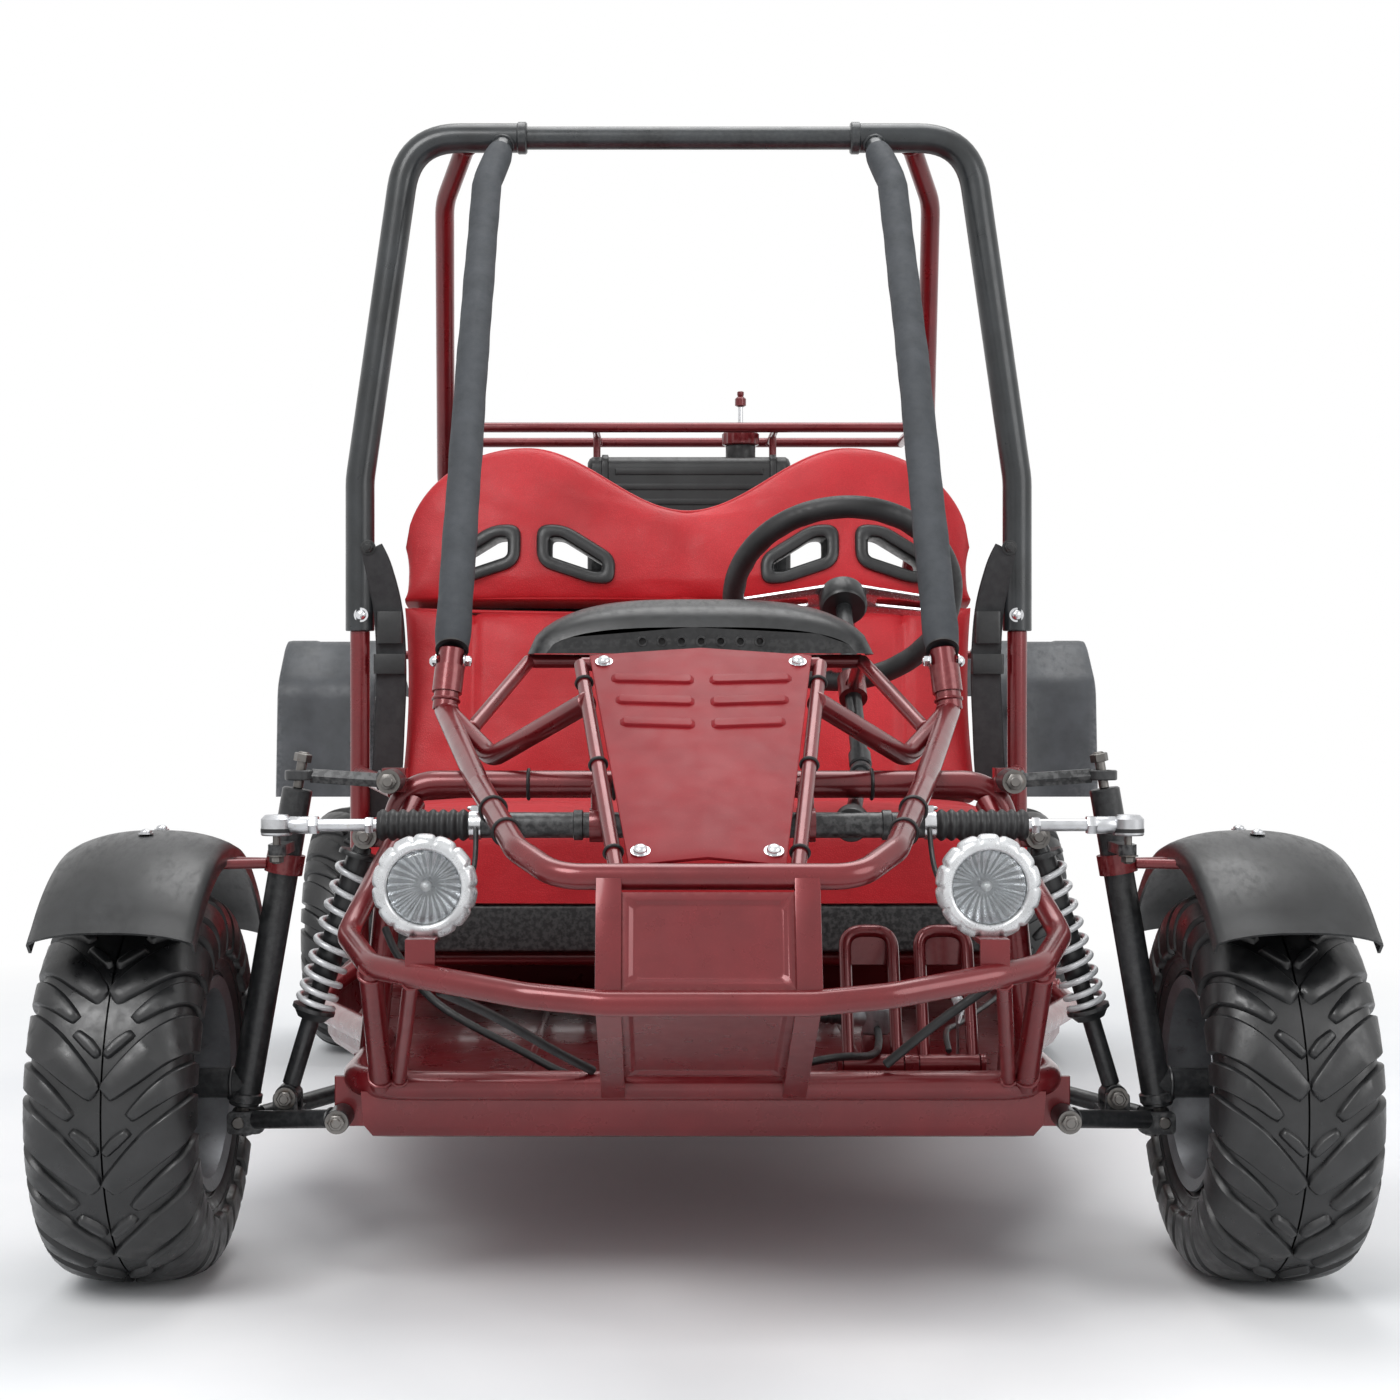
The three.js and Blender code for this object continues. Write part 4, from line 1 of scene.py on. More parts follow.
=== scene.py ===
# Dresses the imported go-kart: finer forms and procedural materials for every node, in the CAD's own frame.
# Places are written in millimetres as x, back, up; back is the distance behind the front axle.
import math
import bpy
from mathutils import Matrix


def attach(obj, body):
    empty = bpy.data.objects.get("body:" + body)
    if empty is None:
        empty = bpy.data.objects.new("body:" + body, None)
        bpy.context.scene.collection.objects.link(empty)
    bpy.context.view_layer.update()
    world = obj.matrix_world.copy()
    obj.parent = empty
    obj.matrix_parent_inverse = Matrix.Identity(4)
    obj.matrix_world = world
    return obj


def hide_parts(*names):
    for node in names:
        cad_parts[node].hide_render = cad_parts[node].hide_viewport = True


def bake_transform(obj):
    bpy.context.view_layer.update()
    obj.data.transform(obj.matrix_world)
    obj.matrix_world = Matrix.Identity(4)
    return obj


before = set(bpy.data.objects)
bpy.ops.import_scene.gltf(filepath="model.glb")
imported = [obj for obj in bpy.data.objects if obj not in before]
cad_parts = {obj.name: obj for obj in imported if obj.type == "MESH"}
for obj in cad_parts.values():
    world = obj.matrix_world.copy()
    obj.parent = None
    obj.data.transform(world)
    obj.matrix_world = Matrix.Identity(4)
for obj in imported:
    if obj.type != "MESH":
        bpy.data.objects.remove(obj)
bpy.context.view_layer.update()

from types import SimpleNamespace as NS

import bmesh
import bpy
import numpy as np
from mathutils import Matrix, Vector, geometry

FRONT_AXLE = 625.5
MM = 0.001
GAP = 0.3

# Camera: level, in front of the kart, at the photograph's distance and height.
CAMERA_X, CAMERA_BACK, CAMERA_UP = -42, -2150, 575
camera_data = bpy.data.cameras.new("camera")
camera_data.lens = 55.286
camera_data.sensor_width = 36
camera_data.shift_x = 0.0293
camera = bpy.data.objects.new("camera", camera_data)
camera.location = (CAMERA_X * MM, (CAMERA_BACK - FRONT_AXLE) * MM, CAMERA_UP * MM)
camera.rotation_euler = (math.pi / 2, 0, 0)
bpy.context.scene.collection.objects.link(camera)
bpy.context.scene.camera = camera

# Sizes of the kart, the same as in its solids.
wheelbase = 1412
front_wheel = NS(radius=192.5, width=152, track_x=553, rim_radius=102, rim_width=128)
rear_wheel = NS(radius=200, width=190, track_x=512, rim_radius=89, rim_width=150)
wheel = NS(wall=4, flange=9, hub_radius=27, hub_length=78, disc_back=14)
bumper = NS(radius=11, bend=60, face_x=87, face_back=-350, face_up=321, mid_x=154, mid_back=-340, mid_up=326,
    wide_x=249, wide_back=-290, wide_up=336, corner_x=297, corner_back=-250, corner_up=340, side_x=332,
    side_back=-150, side_up=356, rise_x=318, rise_back=-60, rise_up=400, end_x=290, end_back=35, end_up=470,
    post_x=85, post_width=22, post_depth=24, plate_top_up=411, plate_foot_up=334, strut_x=304, strut_in_x=256,
    strut_in_foot_x=288)
rail = NS(radius=14, bend=70, front_back=-120, front_x=335, front_up=211, kink_back=150, wide_x=455, wide_back=450,
    rear_x=466, rear_up=205, rear_back=1000, tail_x=335, tail_back=1150, top_x=340, top_back=1440, top_up=560)
pan = NS(thick=2.5, bottom_up=157, inset=11, rear_back=940, front_back=-118)
hoop = NS(radius=20.5, foot_x=466, back=900, foot_up=673, bend_up=887, top_x=397, top_up=1372, bend=130,
    bar_radius=16, bar_x=236, collar_radius=22.5)
pillar = NS(radius=14, foot_x=270, foot_back=218, foot_up=631, mid_x=275, mid_back=535, mid_up=1000, high_x=278,
    high_back=800, high_up=1285, top_x=259, bend=120, pad_radius=20.5, pad_top_back=868)
stay = NS(radius=14, top_x=312, shoulder_x=356, shoulder_back=1000, shoulder_up=1303, foot_x=383, foot_back=1290,
    foot_up=929, bend=90)
rack = NS(radius=8, up=1006, front_back=1250, rear_back=1450, x=363, post_x=143, post_radius=6)
hood = NS(radius=11.5, bend=45, front_x=130, front_back=-300, front_up=423, knee_x=168, knee_back=-250, knee_up=443,
    mid_x=220, mid_back=-20, mid_up=490, base_x=276, base_back=200, base_up=564)
brace = NS(radius=11, knee_x=216, knee_back=95, knee_up=515, top_x=112, top_back=-38, top_up=573)
axle_hoop = NS(radius=14, bend=45, back=45, top_x=306, top_up=489)
side_bar = NS(radius=11, rear_up=470)
nose = NS(foot_x=68, foot_back=-290, foot_up=432, top_x=112, top_back=20, top_up=620, thick=3, crease=9,
    tube_radius=7, tube_out=9, rib_width=15, rib_length=118, rib_gap=26, rib_top=300)
dash = NS(half_width=201, front_back=300, rear_back=400, low_up=628, holes=7, hole_span=134, hole_radius=4,
    hole_up=642, shift_x=6, post_x=192, post_radius=8, bar_back=330)
seat = NS(half_width=415, front_back=505, rear_back=972, base_up=263, base_thick=58, cushion_thick=98,
    cushion_crown=16, lean_degrees=11.3, pivot_up=330, board=12, low_foot=95, low_top=374, pad_thick=62, pad_crown=14,
    upper_foot=386, shoulder=472, bump=623, valley=527, bump_x=240, tube_radius=11, front_tube_back=560,
    rear_tube_back=900, post_x=436, channel=9, drawn=7, support_gap=0.3)
slot = NS(seat_x=232, near=30.5, far=108, low=428.5, tip=441, near_low=451, high=480, tip_width=12.5, top_width=16.5,
    rim=19, lip=2.5)
tank = NS(low_x=-156, high_x=168, front_back=1268, rear_back=1436, bottom_up=740, top_up=968, round=22, ridge=4,
    ridge_width=12, cradle_back=1378, cradle_radius=9)
cap = NS(x=90, back=1330, neck_radius=24, neck_height=22, radius=29, height=24, rod_radius=4, rod_height=38,
    valve_radius=9, valve_height=26)
steer = NS(wheel_x=190, wheel_back=570, wheel_up=706, tilt_degrees=40, rim_radius=137.5, grip_radius=14.5, plate=5,
    spoke_width=34, hub_radius=30, hub_length=26, column_radius=10, column_length=330, bearing_at=183,
    bearing_radius=17, bearing_length=36, joint_radius=13, joint_length=22, cross_radius=7, rack_back=-70,
    rack_up=454, rack_radius=8, housing_radius=12.5, housing_x=226, pinion_x=144, shaft_radius=8, pinion_radius=17,
    pinion_length=46, clamp_radius=14, clamp_width=13, saddle_x=100)
bellows = NS(start_x=226.3, end_x=314, crest=15.5, root=12.6, bore=11, ribs=9)
tie_rod = NS(radius=6, ball_radius=7.5, inner_x=304, outer_x=412, housing_radius=15, housing_height=20, bore=12.4,
    stud_radius=3.6, pad_drop=19, bore_depth=14)
arm = NS(inner_x=348, inner_up=174, inner_back=90, ball_x=460, ball_up=155, bush_radius=11.5, bush_length=38,
    tube_radius=9, pin_radius=6, fork_x=442, fork_gap=11, ear_thick=6, ear_radius=11, lug_thick=8, plate=6,
    shock_x=413, shock_up=180, shock_ear=12.6, lug_width=22, lug_reach=8)
top_arm = NS(inner_x=310, inner_up=494, outer_x=401, outer_up=500, bush_radius=12, bush_length=40, bar_radius=8,
    eye_radius=15, eye_bore=10, eye_height=10)
upright = NS(radius=15, foot_along=15, top_short=13.5, stud_radius=5, nut_radius=9, nut_height=10, spindle_radius=9,
    shoulder_radius=15, arm_width=18, arm_thick=10)
ball_joint = NS(radius=10, stem_radius=6, stem_length=40, pin_length=18)
shock = NS(top_x=335, top_up=439, eye_radius=12, eye_width=23, pin_radius=6, body_radius=13, rod_radius=9,
    collar_radius=21.5, collar_thick=5, spring_top=22, spring_foot=92, body_end=150, tube_start=120)
front_spring = NS(coil_radius=18, wire_radius=3.2, turns=9, crowding=1.22)
fender = NS(in_x=470, out_x=624, radius=236, crown=16, lip=16, front_degrees=48, rear_degrees=58, stay_radius=5,
    stay_back=34, stay_up=412)
swing = NS(pivot_back=1060, pivot_up=270, x=230, tube_radius=13, bearing_radius=27, bearing_width=30, tube_back=985,
    tube_up=238, cross_back=1300, cross_radius=11, bush_radius=17, bush_width=34, pin_radius=8, ear_thick=8,
    ear_x=13.5)
axle = NS(radius=15, sprocket_x=-154, sprocket_radius=86, plate=7, disc_x=150, disc_radius=84, hub_radius=34,
    hub_thick=16)
drive = NS(radius=36, shaft_radius=10, shaft_end_x=-170, gearbox_x=-120, chain_height=11)
rear_shock = NS(top_back=1400, top_up=540, foot_up=250, eye_radius=13, eye_width=25, pin_radius=7, body_radius=17,
    rod_radius=10, collar_radius=30, collar_thick=6, spring_top=28, spring_foot=76, body_end=170, tube_start=135)
rear_spring = NS(coil_radius=24.5, wire_radius=4.5, turns=7.5, crowding=1)
caliper = NS(length=62, height=46, width=40, slot_gap=2.5, back=1352, up=262)
engine = NS(low_x=-130, high_x=130, front_back=1104, rear_back=1290, plate_up=374, plate_thick=8, crank_top=560,
    cylinder_x=20, cylinder_half=62, cylinder_back=1190, head_up=692, shroud_radius=86, shroud_thick=42,
    gear_radius=26, muffler_low_x=-140, muffler_high_x=150, muffler_radius=44, muffler_back=1365, muffler_up=636,
    pipe_radius=13, bearer_x=[-48, 112])
rear_fender = NS(in_x=470, out_x=618, wall=4, front_back=1076, foot_up=430, shoulder_back=1092, shoulder_up=600,
    top_back=1170, top_up=668, rear_back=1400, rear_up=660, end_back=1560, end_up=585, strut_radius=7, strut_up=560,
    strut_back=1385, strut_top_up=649)
lamp = NS(x=249, face_back=-262, up=410, radius=42, lens_radius=33, depth=60, rear_radius=24, bracket_width=26,
    bracket=5, ledge=50)
pedal = NS(pivot_back=60, pivot_up=200, top_back=112, top_up=332, radius=6.5, width=50, throttle_x=256, brake_x=178,
    sleeve_radius=11, pin_radius=6, lug_thick=5, lug_gap=0.5)
master = NS(x=190, back=150, up=236, radius=15, height=34, tube_radius=10, boot_radius=8.5)


# Points and paths.
def P(x, back, up):
    return np.array([x, back, up], float)


X, B, U = P(1, 0, 0), P(0, 1, 0), P(0, 0, 1)
FLIP = P(-1, 1, 1)
SIDES = (("right", 1), ("left", -1))


def at(part, name="", side=1):
    """A place whose x, back and up stand in a part's sizes, on the right or mirrored."""
    stem = name and name + "_"
    return P(side * getattr(part, stem + "x"), getattr(part, stem + "back"), getattr(part, stem + "up"))


def unit(v):
    return v / np.linalg.norm(v)


def lerp(a, b, t):
    return a + (b - a) * t


def along(a, b, distance):
    return a + unit(b - a) * distance


def both_sides(places):
    return [p * FLIP for p in reversed(places)] + places


def turns(count, first=0.0):
    """Angles spaced evenly round a full turn."""
    return [2 * math.pi * (i + first) / count for i in range(count)]


def polar(radius, angle):
    return radius * math.cos(angle), radius * math.sin(angle)


def around(centre, radius, angle, u=B, v=U):
    a, b = polar(radius, angle)
    return centre + u * a + v * b


def arc(radius, first, last, count):
    """The profile of a ball, or of a part of one."""
    return [polar(radius, a) for a in np.linspace(first, last, count)]


def bent(corners, bend):
    """A path through corners whose turns are rounded."""
    out = [corners[0]]
    for before, here, after in zip(corners, corners[1:], corners[2:]):
        a, b = before - here, after - here
        length_a, length_b = np.linalg.norm(a), np.linalg.norm(b)
        turn = math.pi - math.acos(max(-1, min(1, float(a @ b) / (length_a * length_b))))
        reach = min(bend * math.tan(turn / 2), length_a * 0.45, length_b * 0.45)
        start, end = here + a / length_a * reach, here + b / length_b * reach
        for t in np.linspace(0, 1, max(2, int(turn / 0.12) + 2)):
            out.append((1 - t) ** 2 * start + 2 * t * (1 - t) * here + t * t * end)
    return out + [corners[-1]]


def spline(points, per=8):
    """A smooth curve through all the points."""
    pts = [np.array(p, float) for p in points]
    last = len(pts) - 1
    out = []
    for i in range(last):
        a, b, c, d = (pts[min(max(i + k, 0), last)] for k in (-1, 0, 1, 2))
        out += [0.5 * (2 * b + (c - a) * t + (2 * a - 5 * b + 4 * c - d) * t * t + (3 * b - a - 3 * c + d) * t ** 3)
                for t in np.arange(per) / per]
    return out + [pts[-1]]


def axes_of(direction):
    """Two directions square to a third."""
    n = unit(np.array(direction, float))
    u = unit(np.cross(U if abs(n[2]) < 0.9 else B, n))
    return u, np.cross(n, u), n


def circle(x, y, radius, count=24):
    return [(x + a, y + b) for a, b in (polar(radius, t) for t in turns(count))]


def rounded(points, radius, steps=4):
    """A flat outline with its corners rounded."""
    out = []
    for i, here in enumerate(points):
        here = np.array(here, float)
        a, b = np.array(points[i - 1], float) - here, np.array(points[(i + 1) % len(points)], float) - here
        reach = min(radius, np.linalg.norm(a) * 0.45, np.linalg.norm(b) * 0.45)
        start, end = here + unit(a) * reach, here + unit(b) * reach
        out += [tuple((1 - t) ** 2 * start + 2 * t * (1 - t) * here + t * t * end)
                for t in np.linspace(0, 1, steps + 1)]
    return out


def oblong(low_a, low_b, high_a, high_b, radius, steps=4):
    """A rectangle with rounded corners."""
    return rounded([(low_a, low_b), (high_a, low_b), (high_a, high_b), (low_a, high_b)], radius, steps)


class Form:
    """Collects the points and faces of one piece, in millimetres."""

    def __init__(self):
        self.points = []
        self.faces = []

    def skin(self, rings, loop=False, caps=True):
        base, count, rows = len(self.points), len(rings[0]), len(rings)
        for ring in rings:
            self.points.extend(tuple(p) for p in ring)
        for r in range(rows if loop else rows - 1):
            a, b = base + r * count, base + (r + 1) % rows * count
            self.faces += [(a + i, a + j, b + j, b + i) for i, j in ((i, (i + 1) % count) for i in range(count))]
        if caps and not loop:
            self.faces.append(tuple(base + i for i in reversed(range(count))))
            self.faces.append(tuple(base + (rows - 1) * count + i for i in range(count)))
        return self

    def tube(self, path, radius, sides=20, loop=False, chamfer=1.0, squash=1.0):
        path = [np.array(p, float) for p in path]
        path = [p for i, p in enumerate(path) if i == 0 or np.linalg.norm(p - path[i - 1]) > 1e-6]
        radii = list(radius) if hasattr(radius, "__len__") else [radius] * len(path)
        if not loop and chamfer and chamfer < min(radii[0], radii[-1]):
            path[1:-1] = [along(path[0], path[1], chamfer), *path[1:-1], along(path[-1], path[-2], chamfer)]
            radii = [radii[0] - chamfer, radii[0], *radii[1:-1], radii[-1], radii[-1] - chamfer]
        count, rings, u = len(path), [], None
        for i, p in enumerate(path):
            after, before = ((i + 1) % count, i - 1) if loop else (min(i + 1, count - 1), max(i - 1, 0))
            tangent = unit(path[after] - path[before])
            u = axes_of(tangent)[0] if u is None else u
            u = unit(u - tangent * (u @ tangent))
            rings.append([around(p, radii[i], a, u, np.cross(tangent, u) * squash) for a in turns(sides)])
        return self.skin(rings, loop=loop)

    def rod(self, a, b, radius, sides=20, chamfer=1.0):
        return self.tube([a, b], radius, sides, chamfer=chamfer)

    def pin(self, centre, reach, radius, sides=20):
        """A rod that reaches equally far to both sides of its centre."""
        return self.rod(centre - reach, centre + reach, radius, sides)

    def strut(self, a, b, radius, at_a=0, at_b=0, sides=20):
        """A tube with a weld bead where each end meets another tube of the radius given."""
        self.rod(a, b, radius, sides)
        for near, far, other in ((a, b, at_a), (b, a, at_b)):
            if other:
                self.bead(along(near, far, other * 0.98), far - near, radius)
        return self

    def bead(self, centre, direction, radius, size=2.0):
        u, v, _ = axes_of(direction)
        ring = [around(centre, radius + size * 0.1 * math.sin(9 * a), a, u, v) for a in turns(36)]
        return self.tube(ring, size, 8, loop=True)

    def hoop(self, centre, direction, radius, size):
        """A thin band round a tube."""
        u, v, _ = axes_of(direction)
        return self.tube([around(centre, radius, a, u, v) for a in turns(24)], size, 8, loop=True)

    def turned(self, profile, origin, direction, sides=32, closed=True, wave=None):
        """A profile of radii and heights turned round an axis: a closed ring, or a solid with flat ends."""
        u, v, n = axes_of(direction)
        rings = [[around(origin + n * h, r + (wave(a, r, h) if wave else 0), a, u, v) for a in turns(sides)]
                 for r, h in profile]
        return self.skin(rings, loop=closed, caps=not closed)

    def ring(self, bore, radius, low, high, origin, direction, sides=36):
        return self.turned([(bore, low), (radius, low), (radius, high), (bore, high)], origin, direction, sides)

    def bush(self, bore, radius, half, origin, direction, sides=32, edge=1):
        """A short tube with chamfered ends."""
        return self.turned([(bore, -half), (radius - edge, -half), (radius, edge - half), (radius, half - edge),
                            (radius - edge, half), (bore, half)], origin, direction, sides)

    def knob(self, radius, length, origin, direction, sides=28, edge=2):
        """A short solid cylinder with chamfered ends."""
        return self.turned([(radius - edge, 0), (radius, edge), (radius, length - edge), (radius - edge, length)],
                           origin, direction, sides, closed=False)

    def slab(self, outlines, origin, ua, ub, un, thick):
        """A flat outline, with any holes, pulled to a thickness."""
        triangles = geometry.tessellate_polygon([[Vector((a, b, 0)) for a, b in outline] for outline in outlines])
        spots = [p for outline in outlines for p in outline]
        start, count = len(self.points), len(spots)
        for depth in (0, thick):
            self.points.extend(tuple(origin + ua * a + ub * b + un * depth) for a, b in spots)
        for tri in triangles:
            i, j, k = (start + t for t in tri)
            self.faces += [(i, k, j), (i + count, j + count, k + count)]
        for outline in outlines:
            n = len(outline)
            for i, j in ((start + i, start + (i + 1) % n) for i in range(n)):
                self.faces.append((i, j, j + count, i + count))
            start += n
        return self

    def plate(self, axis, outline, low, high, holes=()):
        """A flat outline square to X, B or U, from one level to another."""
        ua, ub = (B, U) if axis is X else (X, U) if axis is B else (X, B)
        return self.slab([outline, *holes], axis * min(low, high), ua, ub, axis, abs(high - low))

    def box(self, low, high, radius=0.0):
        low, high = np.minimum(low, high), np.maximum(low, high)
        w, d, h = high - low
        outline = oblong(0, 0, w, d, radius) if radius else [(0, 0), (w, 0), (w, d), (0, d)]
        return self.slab([outline], low, X, B, U, h)

    def bolt(self, centre, direction, radius=7, height=5, washer=True, dome=False):
        """A hexagon head, or a domed one, on a washer; the centre lies on the face it clamps."""
        base = 0.0
        if washer:
            base = 1.2
            self.ring(radius * 0.4, radius * 1.35, 0, base, centre, direction, 24)
        if dome:
            profile = [(radius, base), (radius, base + 1)] + [
                (a, base + 1 + b * height / radius) for a, b in arc(radius, 0.05, math.pi / 2, 6)[:-1]]
            return self.turned(profile, centre, direction, 24, closed=False)
        self.turned([(radius * 0.96, base), (radius, base + 0.4), (radius, base + height - 0.8),
                     (radius * 0.86, base + height)], centre, direction, 6, closed=False)
        return self.turned([(radius * 0.6, base), (radius * 0.6, base + height + 0.5),
                            (radius * 0.5, base + height + 1.2)], centre, direction, 16, closed=False)

    def mirrored(self):
        out = Form()
        out.points = [(-x, b, u) for x, b, u in self.points]
        out.faces = [tuple(reversed(face)) for face in self.faces]
        return out


def metres(p):
    return p[0] * MM, (p[1] - FRONT_AXLE) * MM, p[2] * MM


def piece(name, form, body, material, slot, replaces=(), bevel=0.0, sharp=38, ride=True):
    """Turns a form into an object that rides on a body."""
    mesh = bpy.data.meshes.new(name)
    mesh.from_pydata([metres(p) for p in form.points], [], form.faces)
    bm = bmesh.new()
    bm.from_mesh(mesh)
    bmesh.ops.recalc_face_normals(bm, faces=bm.faces)
    if bevel:
        edges = [e for e in bm.edges if len(e.link_faces) == 2 and e.calc_face_angle(0) > math.radians(32)]
        bmesh.ops.bevel(bm, geom=edges, offset=bevel * MM, segments=2, profile=0.6, affect="EDGES",
                        clamp_overlap=True)
    bm.to_mesh(mesh)
    bm.free()
    mesh.polygons.foreach_set("use_smooth", [True] * len(mesh.polygons))
    mesh.set_sharp_from_angle(angle=math.radians(sharp))
    mesh.materials.append(material)
    made = bpy.data.objects.new(name, mesh)
    bpy.context.scene.collection.objects.link(made)
    if ride:
        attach(made, body)
    if replaces:
        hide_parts(*([replaces] if isinstance(replaces, str) else replaces))
    return made


def pair(name, form, body, material, slot, node=None, **options):
    """The same form on the right and, mirrored, on the left; a body name may hold {}."""
    return [piece(f"{name}_{side}", form if sign > 0 else form.mirrored(), body.format(side), material, slot,
                  replaces=f"{node}_{side}" if node else (), **options) for side, sign in SIDES]


# Materials: every finish is built from noise in the object's own coordinates, in metres.
class Shade:
    def __init__(self, name):
        self.material = bpy.data.materials.new(name)
        self.material.use_nodes = True
        self.tree = self.material.node_tree
        self.tree.nodes.clear()
        self.out = self.tree.nodes.new("ShaderNodeOutputMaterial")
        self.bsdf = self.tree.nodes.new("ShaderNodeBsdfPrincipled")
        self.tree.links.new(self.bsdf.outputs[0], self.out.inputs["Surface"])
        self.coords = self.tree.nodes.new("ShaderNodeTexCoord").outputs["Object"]

    def feed(self, socket, value):
        if isinstance(value, bpy.types.NodeSocket):
            self.tree.links.new(value, socket)
        else:
            socket.default_value = value

    def set(self, **values):
        for key, value in values.items():
            self.feed(self.bsdf.inputs[key.replace("_", " ")], value)
        return self

    def node(self, kind, _out=0, _set=None, **inputs):
        made = self.tree.nodes.new("ShaderNode" + kind)
        for key, value in (_set or {}).items():
            setattr(made, key, value)
        for key, value in inputs.items():
            self.feed(made.inputs[key.replace("_", " ")], value)
        return made.outputs[_out]

    def stretched(self, x, y, z):
        return self.node("Mapping", Vector=self.coords, Scale=(x, y, z))

    def noise(self, size, detail=4.0, roughness=0.55, coords=None):
        """Noise whose features are about size millimetres across."""
        return self.node("TexNoise", Vector=coords or self.coords, Scale=1000 / size, Detail=detail,
                         Roughness=roughness, Distortion=0.0)

    def cells(self, size):
        return self.node("TexVoronoi", _set={"feature": "DISTANCE_TO_EDGE"}, Vector=self.coords, Scale=1000 / size)

    def ranged(self, value, low, high, to_low=0.0, to_high=1.0):
        made = self.tree.nodes.new("ShaderNodeMapRange")
        for socket, given in zip(made.inputs, (value, low, high, to_low, to_high)):
            self.feed(socket, given)
        return made.outputs[0]

    def math(self, operation, a, b=0.0):
        made = self.tree.nodes.new("ShaderNodeMath")
        made.operation = operation
        for socket, given in zip(made.inputs, (a, b)):
            self.feed(socket, given)
        return made.outputs[0]

    def mix(self, factor, a, b):
        made = self.tree.nodes.new("ShaderNodeMix")
        made.data_type = "RGBA"
        for index, given in ((0, factor), (6, a), (7, b)):
            self.feed(made.inputs[index], (*given, 1) if isinstance(given, tuple) else given)
        return made.outputs[2]

    def colour(self, value):
        return self.set(Base_Color=value)

    def roughness(self, value):
        return self.set(Roughness=value)

    def bump(self, *heights):
        """Height layers, each with its depth in millimetres and its strength."""
        normal = None
        for height, depth, strength in heights:
            made = self.tree.nodes.new("ShaderNodeBump")
            made.inputs["Strength"].default_value = strength
            made.inputs["Distance"].default_value = depth * MM
            self.tree.links.new(height, made.inputs["Height"])
            if normal is not None:
                self.tree.links.new(normal, made.inputs["Normal"])
            normal = made.outputs[0]
        return self.set(Normal=normal)

    def worn(self, low=0.56, high=0.68):
        """More along raised edges, broken up by noise."""
        pointed = self.node("NewGeometry", _out="Pointiness")
        return self.math("MULTIPLY", self.ranged(pointed, low, high), self.ranged(self.noise(6), 0.42, 0.6))


def paint(name, dark, light, rough, coat, metallic=0.0, wear=None, peel=0.05, specular=0.5):
    """Sprayed paint: cloudy colour, orange peel, fine flakes and worn edges."""
    s = Shade(name).set(Metallic=metallic, Coat_Weight=coat, Coat_Roughness=0.12, Specular_IOR_Level=specular)
    cloud = s.noise(70, 5)
    base = s.mix(s.ranged(cloud, 0.35, 0.65), dark, light)
    flake = s.noise(1.4, 1)
    base = s.mix(s.ranged(flake, 0.6, 0.72, 0, 0.14), base, tuple(min(1, c * 1.8 + 0.02) for c in light))
    if wear:
        base = s.mix(s.worn(), base, wear)
    s.colour(base).roughness(s.ranged(s.noise(25, 6), 0.3, 0.7, *rough))
    return s.bump((s.noise(4, 2), peel, 0.4), (s.noise(60, 3), 0.2, 0.15)).material


def moulded(name, dark, light, rough, grain=0.9, depth=0.12, wear=None, specular=0.5):
    """Moulded plastic or rubber: a fine pebbled grain with scuffs."""
    s = Shade(name).set(Specular_IOR_Level=specular)
    base = s.mix(s.ranged(s.noise(45, 6), 0.35, 0.68), dark, light)
    if wear:
        base = s.mix(s.worn(0.54, 0.66), base, wear)
    scuff = s.ranged(s.noise(9, 6, 0.7, s.stretched(1, 0.25, 1)), 0.45, 0.75)
    s.colour(base).roughness(s.ranged(scuff, 0, 1, *rough))
    return s.bump((s.cells(grain * 2), depth, 0.35), (s.noise(14, 4), 0.25, 0.2)).material


def metal(name, colour, rough, grain=(1, 1, 1), size=3.0, depth=0.05, stain=None, metallic=1.0):
    """Bare or plated metal: brushed or cast grain with stains."""
    s = Shade(name).set(Metallic=metallic)
    dull = tuple(c * 0.72 for c in colour)
    base = s.mix(s.ranged(s.noise(22, 6), 0.35, 0.7), colour, dull)
    if stain:
        base = s.mix(s.ranged(s.noise(16, 8, 0.7), 0.58, 0.72, 0, 0.7), base, stain)
    lines = s.noise(size, 5, 0.7, s.stretched(*grain))
    s.colour(base).roughness(s.ranged(lines, 0.3, 0.7, *rough))
    return s.bump((lines, depth, 0.5)).material


def vinyl():
    """Red seat vinyl: leather pores over soft creases."""
    s = Shade("seat_vinyl").set(Sheen_Weight=0.08, Sheen_Roughness=0.5, Specular_IOR_Level=0.4)
    base = s.mix(s.ranged(s.noise(120, 5), 0.35, 0.65), (0.44, 0.008, 0.014), (0.58, 0.015, 0.024))
    pores = s.cells(2.6)
    base = s.mix(s.ranged(pores, 0.0, 0.25, 0.35, 0.0), base, (0.27, 0.005, 0.008))
    s.colour(base).roughness(s.ranged(s.noise(40, 5), 0.3, 0.7, 0.36, 0.55))
    return s.bump((s.ranged(pores, 0, 0.3), 0.25, 0.5),
                  (s.noise(30, 5, 0.6, s.stretched(1, 1, 2.2)), 1.6, 0.35)).material


